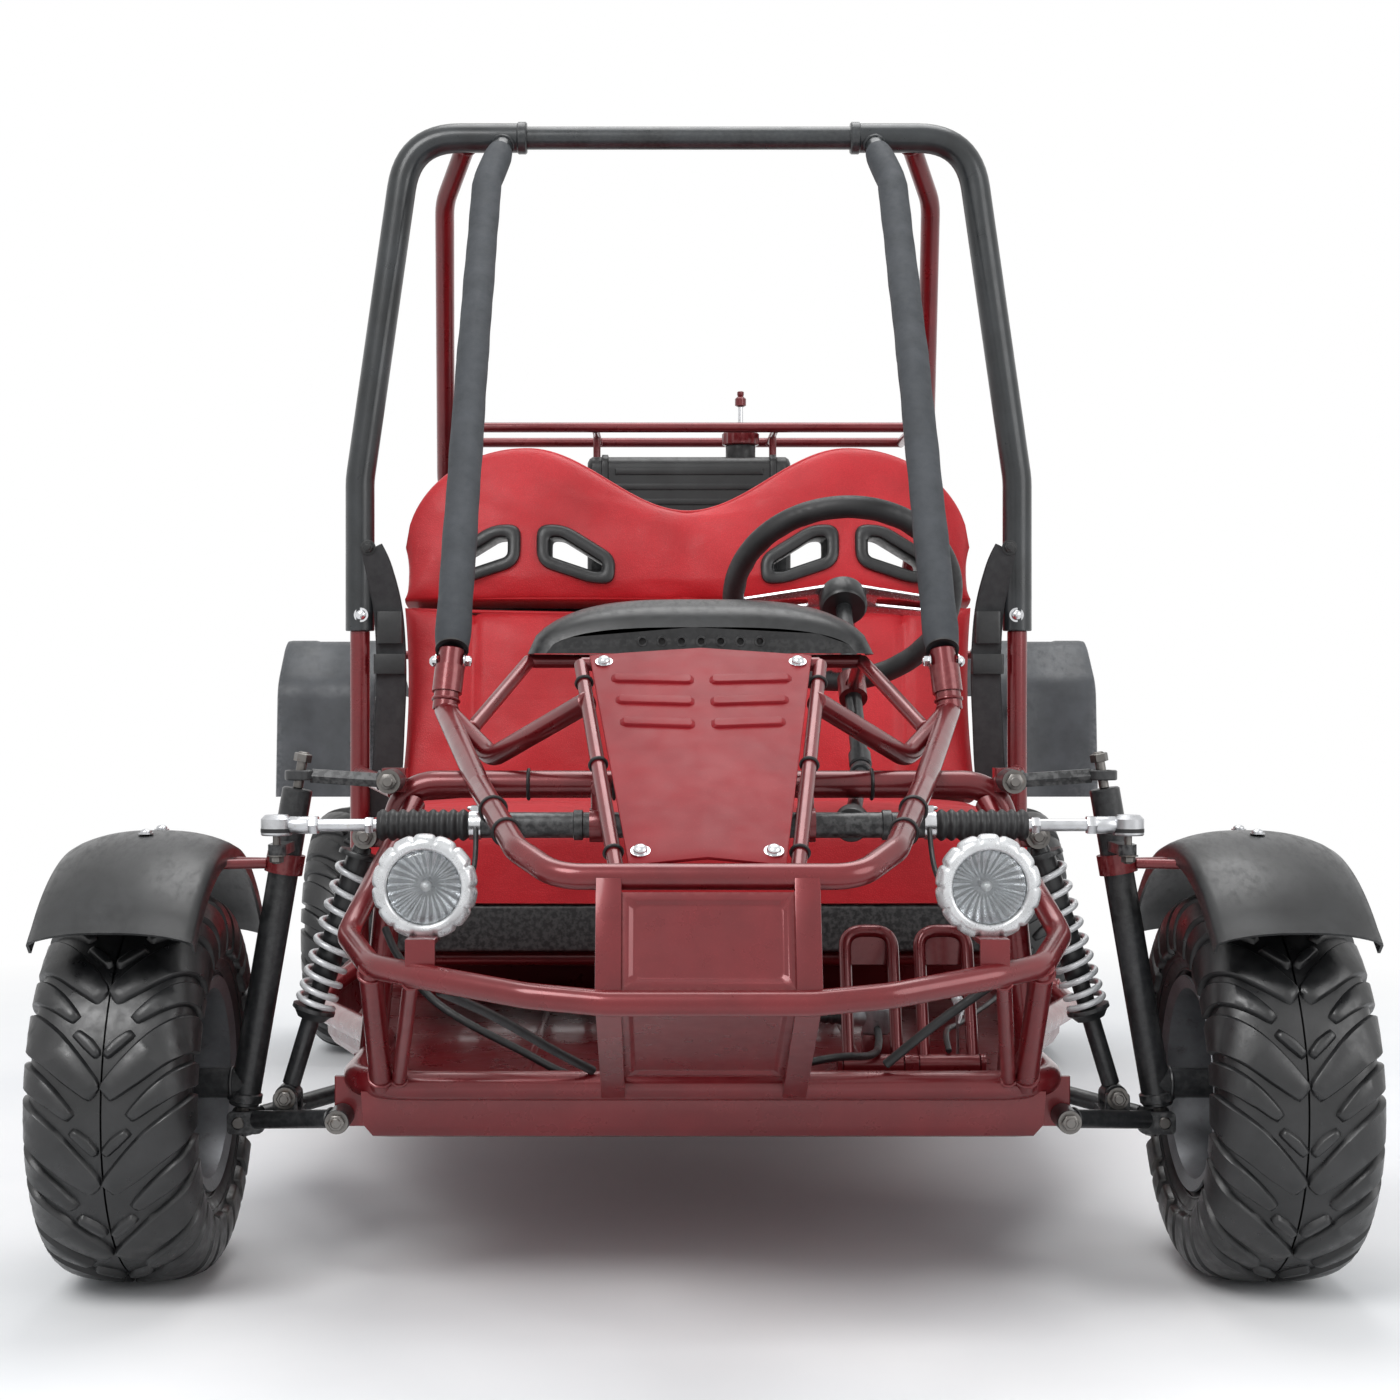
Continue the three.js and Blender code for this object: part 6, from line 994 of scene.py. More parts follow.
radii[1] = radii[-2] = pillar.pad_radius - 1
for made in pair("pad_sleeve", Form().tube(fine, radii, 28, chamfer=0), "chassis", foam_grey, "foam", "pillar_pad"):
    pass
lip = Form().ring(pillar.radius + 0.8, pillar.radius + 4.5, -1.5, 1, foot, mid - foot, 28)
pair("pad_mouth", lip, "chassis", black_rubber, "foam")


# Seat: padded panels with crowned faces, drawn-in sides, seams with piping, and through slots with bezels.
lean = math.radians(seat.lean_degrees)
back_matrix = Matrix.Translation((0, seat.rear_back, seat.pivot_up)) @ Matrix.Rotation(-lean, 4, "X")
cushion_foot = seat.base_up + seat.base_thick + GAP
seat_depth = seat.rear_back - seat.front_back - GAP
CROSS_SEAM_BACK = 740
SEAM_HALF_WIDTH = 7


def on_back(x, y, up):
    return tuple(back_matrix @ Vector((x, y, up)))


def back_top(u):
    """Height of the backrest's upper edge: two shoulders with a dip between them."""
    bump_share = seat.bump_x / seat.half_width
    u = abs(u)
    if u < bump_share:
        return seat.valley + (seat.bump - seat.valley) * (1 - math.cos(math.pi * u / bump_share)) / 2
    fall = 1 - math.sqrt(max(0, 1 - ((u - bump_share) / (1 - bump_share)) ** 2))
    return seat.bump - (seat.bump - seat.shoulder) * fall


def crown(u, v):
    """How full the stuffing stands at a place on a pad: 0 at its edge and 1 in its middle."""
    return (1 - abs(u) ** 6) ** 0.6 * (1 - abs(2 * v - 1) ** 4) ** 0.6


def valley(distance, width):
    """How deep a sewn line draws the face in at a distance from it."""
    return math.exp(-(distance / width) ** 2)


def wrinkle(x, y):
    """Low creases that run in from the edges of stretched vinyl."""
    return (1.3 * math.sin(x * 0.021 + 2.1 * math.sin(y * 0.013)) * math.sin(y * 0.017 + 0.9 * math.sin(x * 0.019))
            + 0.5 * math.sin(x * 0.06 + y * 0.035 + 1.4 * math.sin(y * 0.03)))


def stuffed(columns, rows, place):
    """A closed pad: a crowned face and a flat back on one grid, joined by a side wall that bulges a little."""
    form = Form()
    us = [math.sin(math.pi / 2 * t) * 0.35 + t * 0.65 for t in np.linspace(-1, 1, columns + 1)]
    vs = [0.5 - (math.cos(math.pi * t) * 0.35 + (1 - 2 * t) * 0.65) / 2 for t in np.linspace(0, 1, rows + 1)]
    form.points = [tuple(place(u, v, face)) for face in (1, 0) for v in vs for u in us]
    count = (columns + 1) * (rows + 1)
    grid = np.arange(count).reshape(rows + 1, columns + 1)
    for r in range(rows):
        for c in range(columns):
            a, b, d, e = (int(i) for i in (grid[r, c], grid[r, c + 1], grid[r + 1, c + 1], grid[r + 1, c]))
            form.faces += [(a, b, d, e), (count + e, count + d, count + b, count + a)]
    rim = [int(i) for i in (*grid[0, :-1], *grid[:-1, -1], *grid[-1, :0:-1], *grid[:0:-1, 0])]
    previous, centre = rim, np.mean([form.points[i] for i in rim], axis=0)
    for step in (0.3, 0.7, 1):
        ring = [count + i for i in rim]
        if step < 1:
            ring = list(range(len(form.points), len(form.points) + len(rim)))
            for i in rim:
                p = lerp(np.array(form.points[i]), np.array(form.points[count + i]), step)
                form.points.append(tuple(p + unit(p - centre) * 1.2))
        form.faces += [(previous[i], previous[i - 1], ring[i - 1], ring[i]) for i in range(len(rim))]
        previous = ring
    return form


def settle(made, pressure=2.5, cap=5):
    """Swells a closed pad with a short cloth simulation and limits how far each point moves."""
    mesh, scene = made.data, bpy.context.scene
    start = np.array([v.co for v in mesh.vertices])
    cloth = made.modifiers.new("cloth", "CLOTH")
    settings = cloth.settings
    settings.use_pressure = True
    settings.uniform_pressure_force = pressure
    settings.effector_weights.gravity = 0
    settings.quality = 4
    settings.tension_stiffness = 25
    settings.bending_stiffness = 6
    for number in range(1, 13):
        scene.frame_set(number)
    shaped = made.evaluated_get(bpy.context.evaluated_depsgraph_get()).to_mesh()
    step = np.array([v.co for v in shaped.vertices]) - start
    made.to_mesh_clear()
    made.modifiers.remove(cloth)
    scene.frame_set(1)
    far = np.linalg.norm(step, axis=1, keepdims=True)
    step *= np.minimum(1, cap * MM / np.maximum(far, 1e-9))
    mesh.vertices.foreach_set("co", (start + step).ravel())
    mesh.update()


def pad_x(u, v, pull):
    """A pad's sides, drawn in towards the middle of their height."""
    return u * (seat.half_width - 2 - pull * (1 - (2 * v - 1) ** 2))


def cushion_spot(u, v, face):
    pull = seat.drawn * face
    x = pad_x(u, v, pull)
    nose_pull = pull * (1 - u * u) * (v < 0.5)
    back = seat.front_back + nose_pull + v * (seat_depth - nose_pull)
    if not face:
        return x, back, cushion_foot
    seam = seat.channel * max(valley(x, SEAM_HALF_WIDTH), valley(back - CROSS_SEAM_BACK, SEAM_HALF_WIDTH))
    fullness = (seat.cushion_crown + wrinkle(x, back)) * crown(u, v) - 1.5 * valley(x, 60)
    return x, back, cushion_foot + seat.cushion_thick + fullness - seam


def lower_spot(u, v, face):
    pull = seat.drawn * face
    x = pad_x(u, v, pull)
    up = seat.low_foot + v * (seat.low_top - pull * (1 - u * u) - seat.low_foot)
    if not face:
        return on_back(x, 0, up)
    seam = seat.channel * max(valley(x, SEAM_HALF_WIDTH), valley(abs(x) - seat.half_width * 0.75, SEAM_HALF_WIDTH))
    return on_back(x, seam - seat.pad_thick - (seat.pad_crown + wrinkle(x + 90, up * 1.4)) * crown(u, v), up)


def upper_spot(u, v, face):
    pull = seat.drawn * face
    x = pad_x(u, v, pull)
    up = seat.upper_foot + v * (back_top(u) - pull - seat.upper_foot)
    if not face:
        return on_back(x, 0, up)
    seam = 3.5 * valley(math.hypot(abs(x) - 225, (up - 500) * 1.3), 95) + 2.5 * valley(x, 16) * (0.4 + 0.6 * v)
    return on_back(x, seam - seat.pad_thick - (seat.pad_crown + 1.2 * wrinkle(x * 0.8 + 40, up * 1.6)) * crown(u, v),
                   up)


cushion, lower, upper = (
    piece(name, stuffed(columns, rows, spot), "chassis", seat_red, "seat_vinyl", node, sharp=75)
    for name, columns, rows, spot, node in (("cushion", 96, 56, cushion_spot, "seat_cushion"),
                                            ("lower_back", 96, 36, lower_spot, "seat_lower_back"),
                                            ("upper_back", 120, 44, upper_spot, "seat_upper_back")))
for made in (cushion, lower, upper):
    settle(made)


def slot_outlines():
    """The see-through part of the slots: two wedges a seat that fall away from its middle."""
    wedge = [(slot.near, slot.near_low), (slot.far - slot.tip_width, slot.low), (slot.far - 1, slot.low),
             (slot.far, slot.tip), (slot.near + slot.top_width, slot.high), (slot.near, slot.high)]
    return [[(sign * (slot.seat_x + way * off), z) for off, z in wedge] for sign in (1, -1) for way in (1, -1)]


def through(outline, depth):
    """An outline of a slot that runs level through the leaning back, from where it is in the pad's face."""
    return [on_back(x, depth, z + (depth + seat.pad_thick) * math.tan(lean)) for x, z in outline]


def inset(outline, distance):
    """Moves a convex outline inwards, or outwards for a negative distance."""
    pts = [np.array(p, float) for p in outline]
    area = sum(a[0] * b[1] - b[0] * a[1] for a, b in zip(pts, pts[1:] + pts[:1]))
    turn, out = (1 if area > 0 else -1), []
    for i, here in enumerate(pts):
        before, after = unit(here - pts[i - 1]), unit(pts[(i + 1) % len(pts)] - here)
        n1, n2 = np.array([-before[1], before[0]]) * turn, np.array([-after[1], after[0]]) * turn
        out.append(tuple(here + (n1 + n2) / (1 + float(n1 @ n2)) * distance))
    return out


# Each slot is cut right through the pad and the board behind it.
cutter_form, bezels = Form(), Form()
slot_end = seat.pad_thick + seat.board + 4
for outline in slot_outlines():
    cutter_form.skin([through(rounded(inset(outline, -slot.lip), 9), depth) for depth in (-110, 40)])
    bezels.skin([through(rounded(inset(outline, grow), 8 - grow * 0.8, 5), depth - seat.pad_thick) for depth,
                 grow in (
        (8, 2 - slot.rim), (-19, -slot.rim), (-23, 1.5 - slot.rim), (-25, 5 - slot.rim), (-25, -5), (-23, -1.5),
                          (-19, 0),
        (slot_end, 0), (slot_end, 0.5 - slot.lip), (8, 0.5 - slot.lip))], loop=True)
cutter = piece("slot_cutter", cutter_form, "chassis", plastic, "black_plastic", ride=False)


def carve(made):
    """Cuts the slots out of a piece for good."""
    modifier = made.modifiers.new("slots", "BOOLEAN")
    modifier.object = cutter
    modifier.operation = "DIFFERENCE"
    modifier.solver = "EXACT"
    carved = bpy.data.meshes.new_from_object(made.evaluated_get(bpy.context.evaluated_depsgraph_get()))
    made.modifiers.clear()
    made.data = carved


carve(upper)
piece("slot_bezels", bezels, "chassis", plastic, "black_plastic", sharp=40)
shell = Form()
board_half = seat.half_width - 2 * seat.drawn
outline = [(-board_half, 0), (board_half, 0)] + [(u * board_half, back_top(u) - seat.drawn)
                                                 for u in np.linspace(1, -1, 61)]
board_foot = np.array(on_back(0, 0, 0))
shell.slab([outline], np.array(on_back(0, GAP, 0)), X, on_back(0, 0, 1) - board_foot, on_back(0, 1, 0) - board_foot,
           seat.board)
front, rear, rise = seat.front_back + seat.drawn, seat.rear_back, seat.base_up + seat.base_thick
shell.plate(X, rounded([(front, seat.base_up), (rear + seat.board, seat.base_up),
                        (rear + seat.board, seat.pivot_up + 4),
                        (rear + GAP, seat.pivot_up + 4), (rear + GAP, rise), (front, rise)], 5), -board_half,
            board_half)
carve(piece("seat_base", shell, "chassis", plastic, "black_plastic", "seat_shell"))
bpy.data.objects.remove(cutter)

# Piping along the seams that the front view shows.
piping = Form()
for up, draw in ((seat.low_top - 2, seat.drawn), (seat.upper_foot + 3, 0)):
    piping.tube([on_back(u * (seat.half_width - 6), -(seat.pad_thick - 1.0 + 1.5 * (1 - u ** 6)),
                         up - draw * (1 - u * u))
                 for u in np.linspace(-0.985, 0.985, 60)], 2.6, 10)
piping.tube([on_back(u * (seat.half_width - 5), 1 - seat.pad_thick, back_top(u) - seat.drawn - 0.5)
             for u in np.linspace(-0.98, 0.98, 90)], 2.6, 10)
piece("seat_piping", piping, "chassis", seat_red, "seat_vinyl")


# Fuel tank behind the seat: rounded, with moulded grooves, two raised seams and a filler neck.
def tank_ring(x, shrink):
    """The tank's rounded section at one place across."""
    return [P(x, b, u) for b, u in oblong(tank.front_back + shrink, tank.bottom_up + shrink, tank.rear_back - shrink,
                                          tank.top_up - shrink, tank.round, 6)]


ends = ((0, 12), (3, 7), (8, 4))
marks = [(tank.low_x + x, shrink) for x, shrink in ends]
marks += [(x + shift, 4) for x in np.linspace(tank.low_x + 22, tank.high_x - 22, 10) for shift in (-4, 0)]
marks += [(tank.high_x - x, shrink) for x, shrink in reversed(ends)]
tank_form = Form().skin([tank_ring(*mark) for mark in marks])
for x in (tank.low_x + tank.round, tank.high_x - tank.round - tank.ridge_width):
    tank_form.skin([tank_ring(x + dx, shrink) for dx, shrink in
                    ((0, 4.5), (1.5, 0.6), (tank.ridge_width - 1.5, 0.6), (tank.ridge_width, 4.5))])
for drop in (34, 58, 82):
    up = tank.top_up - drop
    tank_form.box(P(tank.low_x + 44, tank.front_back + 1.5, up), P(tank.high_x - 44, tank.front_back + 10, up + 9), 3)
cap_foot = P(cap.x, cap.back, tank.top_up - tank.ridge + cap.neck_height + GAP)
tank_form.turned([(cap.neck_radius, -cap.neck_height - 6), (cap.neck_radius, -GAP), (cap.neck_radius - 3, -GAP)],
                 cap_foot, U,
                 closed=False)
piece("tank_body", tank_form, "chassis", plastic, "black_plastic", "fuel_tank", bevel=0.8)


def knurl(a, r, h):
    return 0.9 * math.cos(16 * a) if 2 <= h <= cap.height - 5 and r > 20 else 0


cap_form = Form().turned([(cap.radius - 2, 0), (cap.radius, 2), (cap.radius, cap.height - 5),
                          (cap.radius - 4, cap.height - 1),
                          (cap.radius - 12, cap.height), (8, cap.height), (6, cap.height + 3),
                          (cap.rod_radius, cap.height + 4)], cap_foot, U, 64, closed=False, wave=knurl)
rod_foot = cap_foot + U * cap.height
valve = Form().turned([(3, 0), (cap.valve_radius, 3), (cap.valve_radius, 14), (4.5, 18), (5.5, 20),
                       (5.5, cap.valve_height - 1), (4, cap.valve_height)], rod_foot + U * cap.rod_height, U, 24,
                      closed=False)
piece("cap_body", cap_form, "fuel_cap", red, "cap_plastic", "fuel_cap")
piece("cap_rod", Form().rod(rod_foot, rod_foot + U * (cap.rod_height + 6), cap.rod_radius, 16), "fuel_cap", bright,
      "zinc")
piece("cap_valve", valve, "fuel_cap", red, "cap_plastic")

# Engine: crankcase, finned cylinder, recoil housing with slots, gearbox, exhaust and muffler.
FINS, FIN_PITCH, FIN_THICK = 11, 11.2, 4
eng, cover, exhaust = Form(), Form(), Form()
bottom = engine.plate_up + GAP
eng.box(P(engine.low_x + 4, engine.front_back + 4, bottom),
        P(engine.high_x - 4, engine.rear_back - 4, engine.crank_top), 16)
eng.box(P(engine.low_x + 12, engine.front_back + 10, bottom + 20),
        P(engine.high_x - 12, engine.front_back + 1, bottom + 120), 3)
cx, cb, ch = engine.cylinder_x, engine.cylinder_back, engine.cylinder_half
fins = [(ch, engine.crank_top + 8 + i * FIN_PITCH, FIN_THICK, 12) for i in range(FINS)]
for half, up, height, radius in ((ch / 2, engine.crank_top - 4, engine.head_up - engine.crank_top + 4, 10), *fins,
                                 (30, engine.head_up - 10, 10, 8)):
    eng.box(P(cx - half, cb - half, up), P(cx + half, cb + half, up + height), radius)
eng.knob(engine.gear_radius, 52, on_swing(drive.gearbox_x), X, 36, 3)
case = [(swing.pivot_back - 16, swing.pivot_up + 8), (swing.pivot_back + 22, swing.pivot_up - 10),
        (engine.front_back + 26, engine.plate_up + 26), (swing.pivot_back + 4, engine.plate_up + 26)]
eng.plate(X, rounded(case, 8), drive.gearbox_x + 2, drive.gearbox_x + 50)
piece("engine_block", eng, "chassis", alloy, "cast_metal", "engine", bevel=1.0)
shroud = P(engine.high_x, cb, (bottom + engine.crank_top) / 2)
profile = [(engine.shroud_radius - drop, h) for drop,
           h in ((2, -8), (0, -4), (0, 28), (10, 36), (14, 38), (20, 38), (24, 34))]
cover.turned(profile + [(30, 34), (26, engine.shroud_thick), (8, engine.shroud_thick)], shroud, X, 64, closed=False)
for radius in (40, 50):
    for a in turns(18):
        centre = around(shroud + X * 34, radius, a)
        cover.rod(centre, centre + X * 2.4, 2.8, 10, chamfer=0.6)
piece("engine_shroud", cover, "chassis", plastic, "black_plastic")
profile = [(engine.muffler_radius - drop, h) for drop, h in
           ((3, 1), (0, 4), (0, 8), (2, 10), (2, 278), (0, 280), (0, 286), (3, 289))]
exhaust.turned([(18, 0), *profile, (18, 290)], P(engine.muffler_low_x, engine.muffler_back, engine.muffler_up), X, 48,
               closed=False)
exhaust.tube(bent([P(cx, cb, engine.muffler_up), P(cx, engine.muffler_back, engine.muffler_up)], 30),
             engine.pipe_radius)
tail_end = engine.muffler_high_x + engine.muffler_radius
exhaust.tube(bent([P(engine.muffler_high_x - 4, engine.muffler_back, engine.muffler_up),
                   P(tail_end, engine.muffler_back, engine.muffler_up),
                   P(tail_end, engine.muffler_back + 88, engine.muffler_up)], 50), engine.pipe_radius)
piece("engine_exhaust", exhaust, "chassis", steel, "cast_metal")


def sprocket(form, centre, radius, teeth, bore, holes):
    """A toothed plate with round lightening holes."""
    outline = [polar(radius - (0 if i % 4 < 2 else 4.5), a) for i, a in enumerate(turns(teeth * 4))]
    inner = [circle(*polar((radius + bore) / 2, a), (radius - bore) * 0.24) for a in turns(holes)]
    form.slab([outline, circle(0, 0, bore, 32), *inner], centre - X * axle.plate / 2, B, U, X, axle.plate)


sprocket_form = Form()
drive_centre = on_swing(axle.sprocket_x)
sprocket(sprocket_form, drive_centre, drive.radius - 0.4, 14, drive.shaft_radius, 0)
sprocket_form.rod(on_swing(drive.shaft_end_x), on_swing(drive.gearbox_x - GAP), drive.shaft_radius, 28)
sprocket_form.bolt(drive_centre - X * (axle.plate / 2 + 1), -X, 8, 5)
piece("sprocket_small", sprocket_form, "drive_sprocket", steel, "zinc", "drive_sprocket", bevel=0.4)

# Chain: plates and rollers spaced round the loop between both sprockets.
CHAIN_PITCH = 12.7
start, end = on_swing(0)[1:], rear_hub(0)[1:]
line = end - start
heading = math.atan2(line[1], line[0])
small_radius, large_radius = drive.radius + drive.chain_height / 2, axle.sprocket_radius + drive.chain_height / 2
spread = math.acos((small_radius - large_radius) / np.linalg.norm(line))
loop = [centre + np.array(polar(radius, heading + a))
        for centre, radius, first, last in ((start, small_radius, spread, 2 * math.pi - spread),
                                            (end, large_radius, -spread, spread))
        for a in np.linspace(first, last, 60)]
loop.append(loop[0])
lengths = np.cumsum([0] + [np.linalg.norm(b - a) for a, b in zip(loop, loop[1:])])
links = int(lengths[-1] / CHAIN_PITCH / 2) * 2
spots = [np.array([np.interp(lengths[-1] * i / links, lengths, [p[k] for p in loop]) for k in (0, 1)])
         for i in range(links)]
chain_form = Form()
for i, here in enumerate(spots):
    after = spots[(i + 1) % links]
    middle, half_link = (here + after) / 2, (after - here) / 2
    ahead = unit(half_link)
    n = np.array([-ahead[1], ahead[0]])
    outline = [tuple(middle + sign * (half_link + around(0, 4.6, a, ahead, n)))
               for sign in (1, -1) for a in np.linspace(-math.pi / 2, math.pi / 2, 6)]
    for sign in (1, -1):
        low = axle.sprocket_x + sign * (3.6 if i % 2 else 5.0) - 0.7
        chain_form.plate(X, outline, low, low + 1.4)
    chain_form.rod(P(axle.sprocket_x - 6.2, *here), P(axle.sprocket_x + 6.2, *here), 3.1, 10, chamfer=0.4)
piece("chain_links", chain_form, "swing_arm", steel, "zinc", "drive_chain", sharp=30)

# Swing arm with bushes, axle bearings, shock ears and brake caliper.
arm_form, brakes = Form(), Form()
share = (swing.cross_back - swing.pivot_back) / (wheelbase - swing.pivot_back)
cross_up = swing.pivot_up + (rear_wheel.radius - swing.pivot_up) * share
arm_form.strut(*across(P(swing.x, swing.cross_back, cross_up)), swing.cross_radius, swing.tube_radius,
               swing.tube_radius)
for side in (1, -1):
    pivot, hub = on_swing(side * swing.x), rear_hub(side * swing.x)
    arm_form.strut(pivot, hub, swing.tube_radius, swing.bush_radius, swing.bearing_radius)
    arm_form.bush(swing.pin_radius + GAP, swing.bush_radius, swing.bush_width / 2, pivot, X)
    arm_form.bush(axle.radius + GAP, swing.bearing_radius, swing.bearing_width / 2, hub, X, 40, 2)
    ear = oblong(swing.cross_back - rear_shock.eye_radius, cross_up, swing.cross_back + rear_shock.eye_radius,
                 rear_shock.foot_up + rear_shock.eye_radius, 8)
    arm_form.plate(X, ear, side * swing.ear_x, side * ear_out)
arm_form.pin(rear_shock_foot, X * ear_out, rear_shock.pin_radius)
piece("swing_tubes", arm_form, "swing_arm", black, "cage_paint", "swing_arm")
slot_half = axle.plate / 2 + caliper.slot_gap
half_x, low, high = caliper.width / 2, caliper.back - caliper.length / 2, caliper.back + caliper.length / 2
for side in (1, -1):
    brakes.box(P(axle.disc_x + side * slot_half, low, caliper.up - caliper.height / 2),
               P(axle.disc_x + side * half_x, high, caliper.up + caliper.height / 2), 8)
brakes.box(P(axle.disc_x - half_x, low, caliper.up + 12),
           P(axle.disc_x + half_x, low + 9, caliper.up + caliper.height / 2), 3)
brakes.box(P(axle.disc_x - half_x, swing.cross_back, cross_up),
           P(axle.disc_x - half_x / 2, caliper.back - caliper.length / 4, caliper.up), 3)
piece("brake_caliper", brakes, "swing_arm", alloy, "cast_metal", bevel=1.5)

# Rear axle with toothed sprocket, drilled disc and hubs.
axle_form = Form()
axle_form.rod(*across(rear_hub(rear_wheel.track_x + wheel.disc_back)), axle.radius, 36)
sprocket(axle_form, rear_hub(axle.sprocket_x), axle.sprocket_radius - 0.4, 34, axle.radius + 12, 6)
axle_form.ring(axle.radius, axle.radius + 14, -9, 9, rear_hub(axle.sprocket_x), X)
drilled = [circle(0, 0, axle.disc_radius, 72), circle(0, 0, 40, 40)] + [
    circle(*polar(r, a), 3.2, 12) for r, first in ((56, 0), (70, 0.5)) for a in turns(12, first)]
axle_form.slab(drilled, rear_hub(axle.disc_x - axle.plate / 2), B, U, X, axle.plate)
axle_form.ring(axle.radius, 44, -10, -4, rear_hub(axle.disc_x), X)
for side in (1, -1):
    axle_form.turned([(axle.radius, 0), (axle.hub_radius, 0), (axle.hub_radius, 6), (24, 9), (24, axle.hub_thick),
                      (axle.radius, axle.hub_thick)],
                     rear_hub(side * (rear_wheel.track_x - wheel.disc_back - wheel.wall - GAP)), -side * X, 36)
piece("axle_shaft", axle_form, "rear_axle", zinc, "zinc", "rear_axle", sharp=30)


# Rims: a rolled barrel, a dished disc with cooling holes, a hub and wheel nuts.
def hub_place(size):
    return P(size.track_x, 0 if size is front_wheel else wheelbase, size.radius)


def rim_forms(size, hole, hub_half):
    form, fixings, centre = Form(), Form(), hub_place(size)
    half, well = size.rim_width / 2, size.rim_radius - 2 * wheel.wall
    lip = size.rim_radius + wheel.flange - wheel.wall
    outside = [(lip - 1, half + wheel.wall), (lip, half + 2), (lip - 2, half - 1), (well + 4, half - 5),
               (well + 4, half - 16),
               (well - 3, half - 26)]
    form.turned([(well, half), *outside, *((r, -h) for r, h in reversed(outside)), (well, -half),
                 (well - 8, 26 - half), (well - 8, half - 26)], centre, X, 64)
    openings = [circle(0, 0, well - 2, 72), circle(0, 0, hole + GAP, 36)] + [
        circle(*polar((well + 27) / 2, a), 8, 18) for a in turns(8, 0.5)]
    form.slab(openings, centre - X * wheel.disc_back, B, U, X, wheel.wall)
    form.bush(hole + GAP, wheel.hub_radius, hub_half, centre, X, 40, 2)
    face = centre + X * (wheel.wall - wheel.disc_back)
    for a in turns(4):
        fixings.bolt(around(face, wheel.hub_radius + 13, a), X, 7.5, 9)
    valve_spot = face + B * (well - 14)
    fixings.rod(valve_spot, valve_spot + X * 22 - B * 4, 3.4, 12)
    return form, fixings


for label, size, hole, hub_half, body in (
        ("front", front_wheel, upright.spindle_radius, wheel.hub_length / 2, "front_wheel_{}"),
        ("rear", rear_wheel, axle.radius, wheel.disc_back + wheel.wall, "rear_axle")):
    made, nuts = rim_forms(size, hole, hub_half)
    pair(f"{label}_rim_disc", made, body, rim_grey, "cast_metal", f"{label}_rim")
    pair(f"{label}_rim_nuts", nuts, body, zinc, "zinc")


# Tyres: a smooth carcass and raised directional lugs that sweep from the crown over the shoulders.
LUG = 6.0
LUGS_ROUND = 13
# How far up the wall, and how wide, the carcass is, from its bead to its crown.
CARCASS = [(1.0, 0.0), (0.998, 0.18), (0.99, 0.36), (0.972, 0.54), (0.935, 0.72), (0.87, 0.86), (0.77, 0.945),
           (0.64, 0.99),
           (0.5, 1.0), (0.36, 0.985), (0.22, 0.93), (0.10, 0.845), (0.03, 0.775), (0.004, 0.735)]
# The three lugs of one pitch: places across and round the tread, half widths, and height.
LUG_PATHS = (
    ([(4, 0, 8), (22, 20, 13), (44, 44, 16.5), (66, 61, 19), (84, 68, 21), (99, 69, 19)], LUG),
    ([(24, -22, 4), (42, -3, 8.5), (62, 13, 11.5), (82, 20, 14.5), (97, 21, 13.5)], LUG),
    ([(3.2, 36, 3.2), (12, 47, 4.6), (22, 57, 3.2)], LUG - 0.6))


def tyre_form(size):
    form, centre = Form(), hub_place(size)
    height, half = size.radius - LUG - size.rim_radius, size.width / 2 - 2.5
    fine = np.array(spline([(size.rim_radius + f * height, w * half) for f, w in CARCASS], 5))
    reach = np.cumsum([0, *np.linalg.norm(fine[1:] - fine[:-1], axis=1)])

    def surface(a, t, lift):
        """A point at a millimetres across from the crown and t millimetres round it."""
        here, ahead = (np.array([np.interp(abs(a) + step, reach, fine[:, k]) for k in (0, 1)]) for step in (0, 1.5))
        tangent = unit(ahead - here)
        r, h = here[0] + tangent[1] * lift, here[1] - tangent[0] * lift
        return around(centre + X * h * (1 if a >= 0 else -1), r, t / size.radius, U, B)

    def lug(path, top):
        points = spline([p[:2] for p in path], 5)
        widths = np.interp(np.linspace(0, 1, len(points)), np.linspace(0, 1, len(path)), [p[2] for p in path])
        last = len(points) - 1
        for side in (1, -1):
            rings = []
            for i, (p, w) in enumerate(zip(points, widths)):
                step = unit(points[min(i + 1, last)] - points[max(i - 1, 0)])
                fall = top if i in (0, last) else 0.0
                wall = ((w, top - 1.0 - fall * 0.35), (w - 1.2, top - fall * 0.3), (0, top - fall * 0.3))
                section = [(-w - 2.2, -1.0), *((-x, z) for x, z in wall), *wall[1::-1], (w + 2.2, -1.0)]
                ring = [(p + np.array([-step[1], step[0]]) * offset, lift) for offset, lift in section]
                rings.append([surface(side * max(q[0], 0.8), q[1], lift) for q, lift in ring])
                if i in (0, last):
                    foot = p + step * (2.6 if i else -2.6)
                    ring = [foot + np.array([-step[1], step[0]]) * offset * 0.96
                            for offset in (-w - 2, -w, -w + 1, 0, w - 1, w, w + 2)]
                    rings.insert(len(rings) if i else 0, [surface(side * max(q[0], 0.8), q[1], -1.0) for q in ring])
            form.skin(rings)

    inner = [(size.rim_radius + 1, half * 0.66), (size.radius - 18, half * 0.8), (size.radius - 18, -half * 0.8),
             (size.rim_radius + 1, -half * 0.66)]
    form.turned([*((r, -h) for r, h in fine[1:]), *reversed(fine.tolist()), *inner], centre, X, 144)
    # Rings moulded on the sidewall.
    for share, thick in ((0.42, 1.3), (0.30, 1.0), (0.16, 1.4)):
        for side in (1, -1):
            form.tube([surface(side * reach[-1] * (1 - share * 0.62), a * size.radius, 0.2) for a in turns(120)],
                      thick, 6,
                      loop=True)
    wide = reach[-1] / 128
    for a in turns(LUGS_ROUND):
        for path, top in LUG_PATHS:
            lug([(x * wide, a * size.radius + t, w) for x, t, w in path], top)
    return form


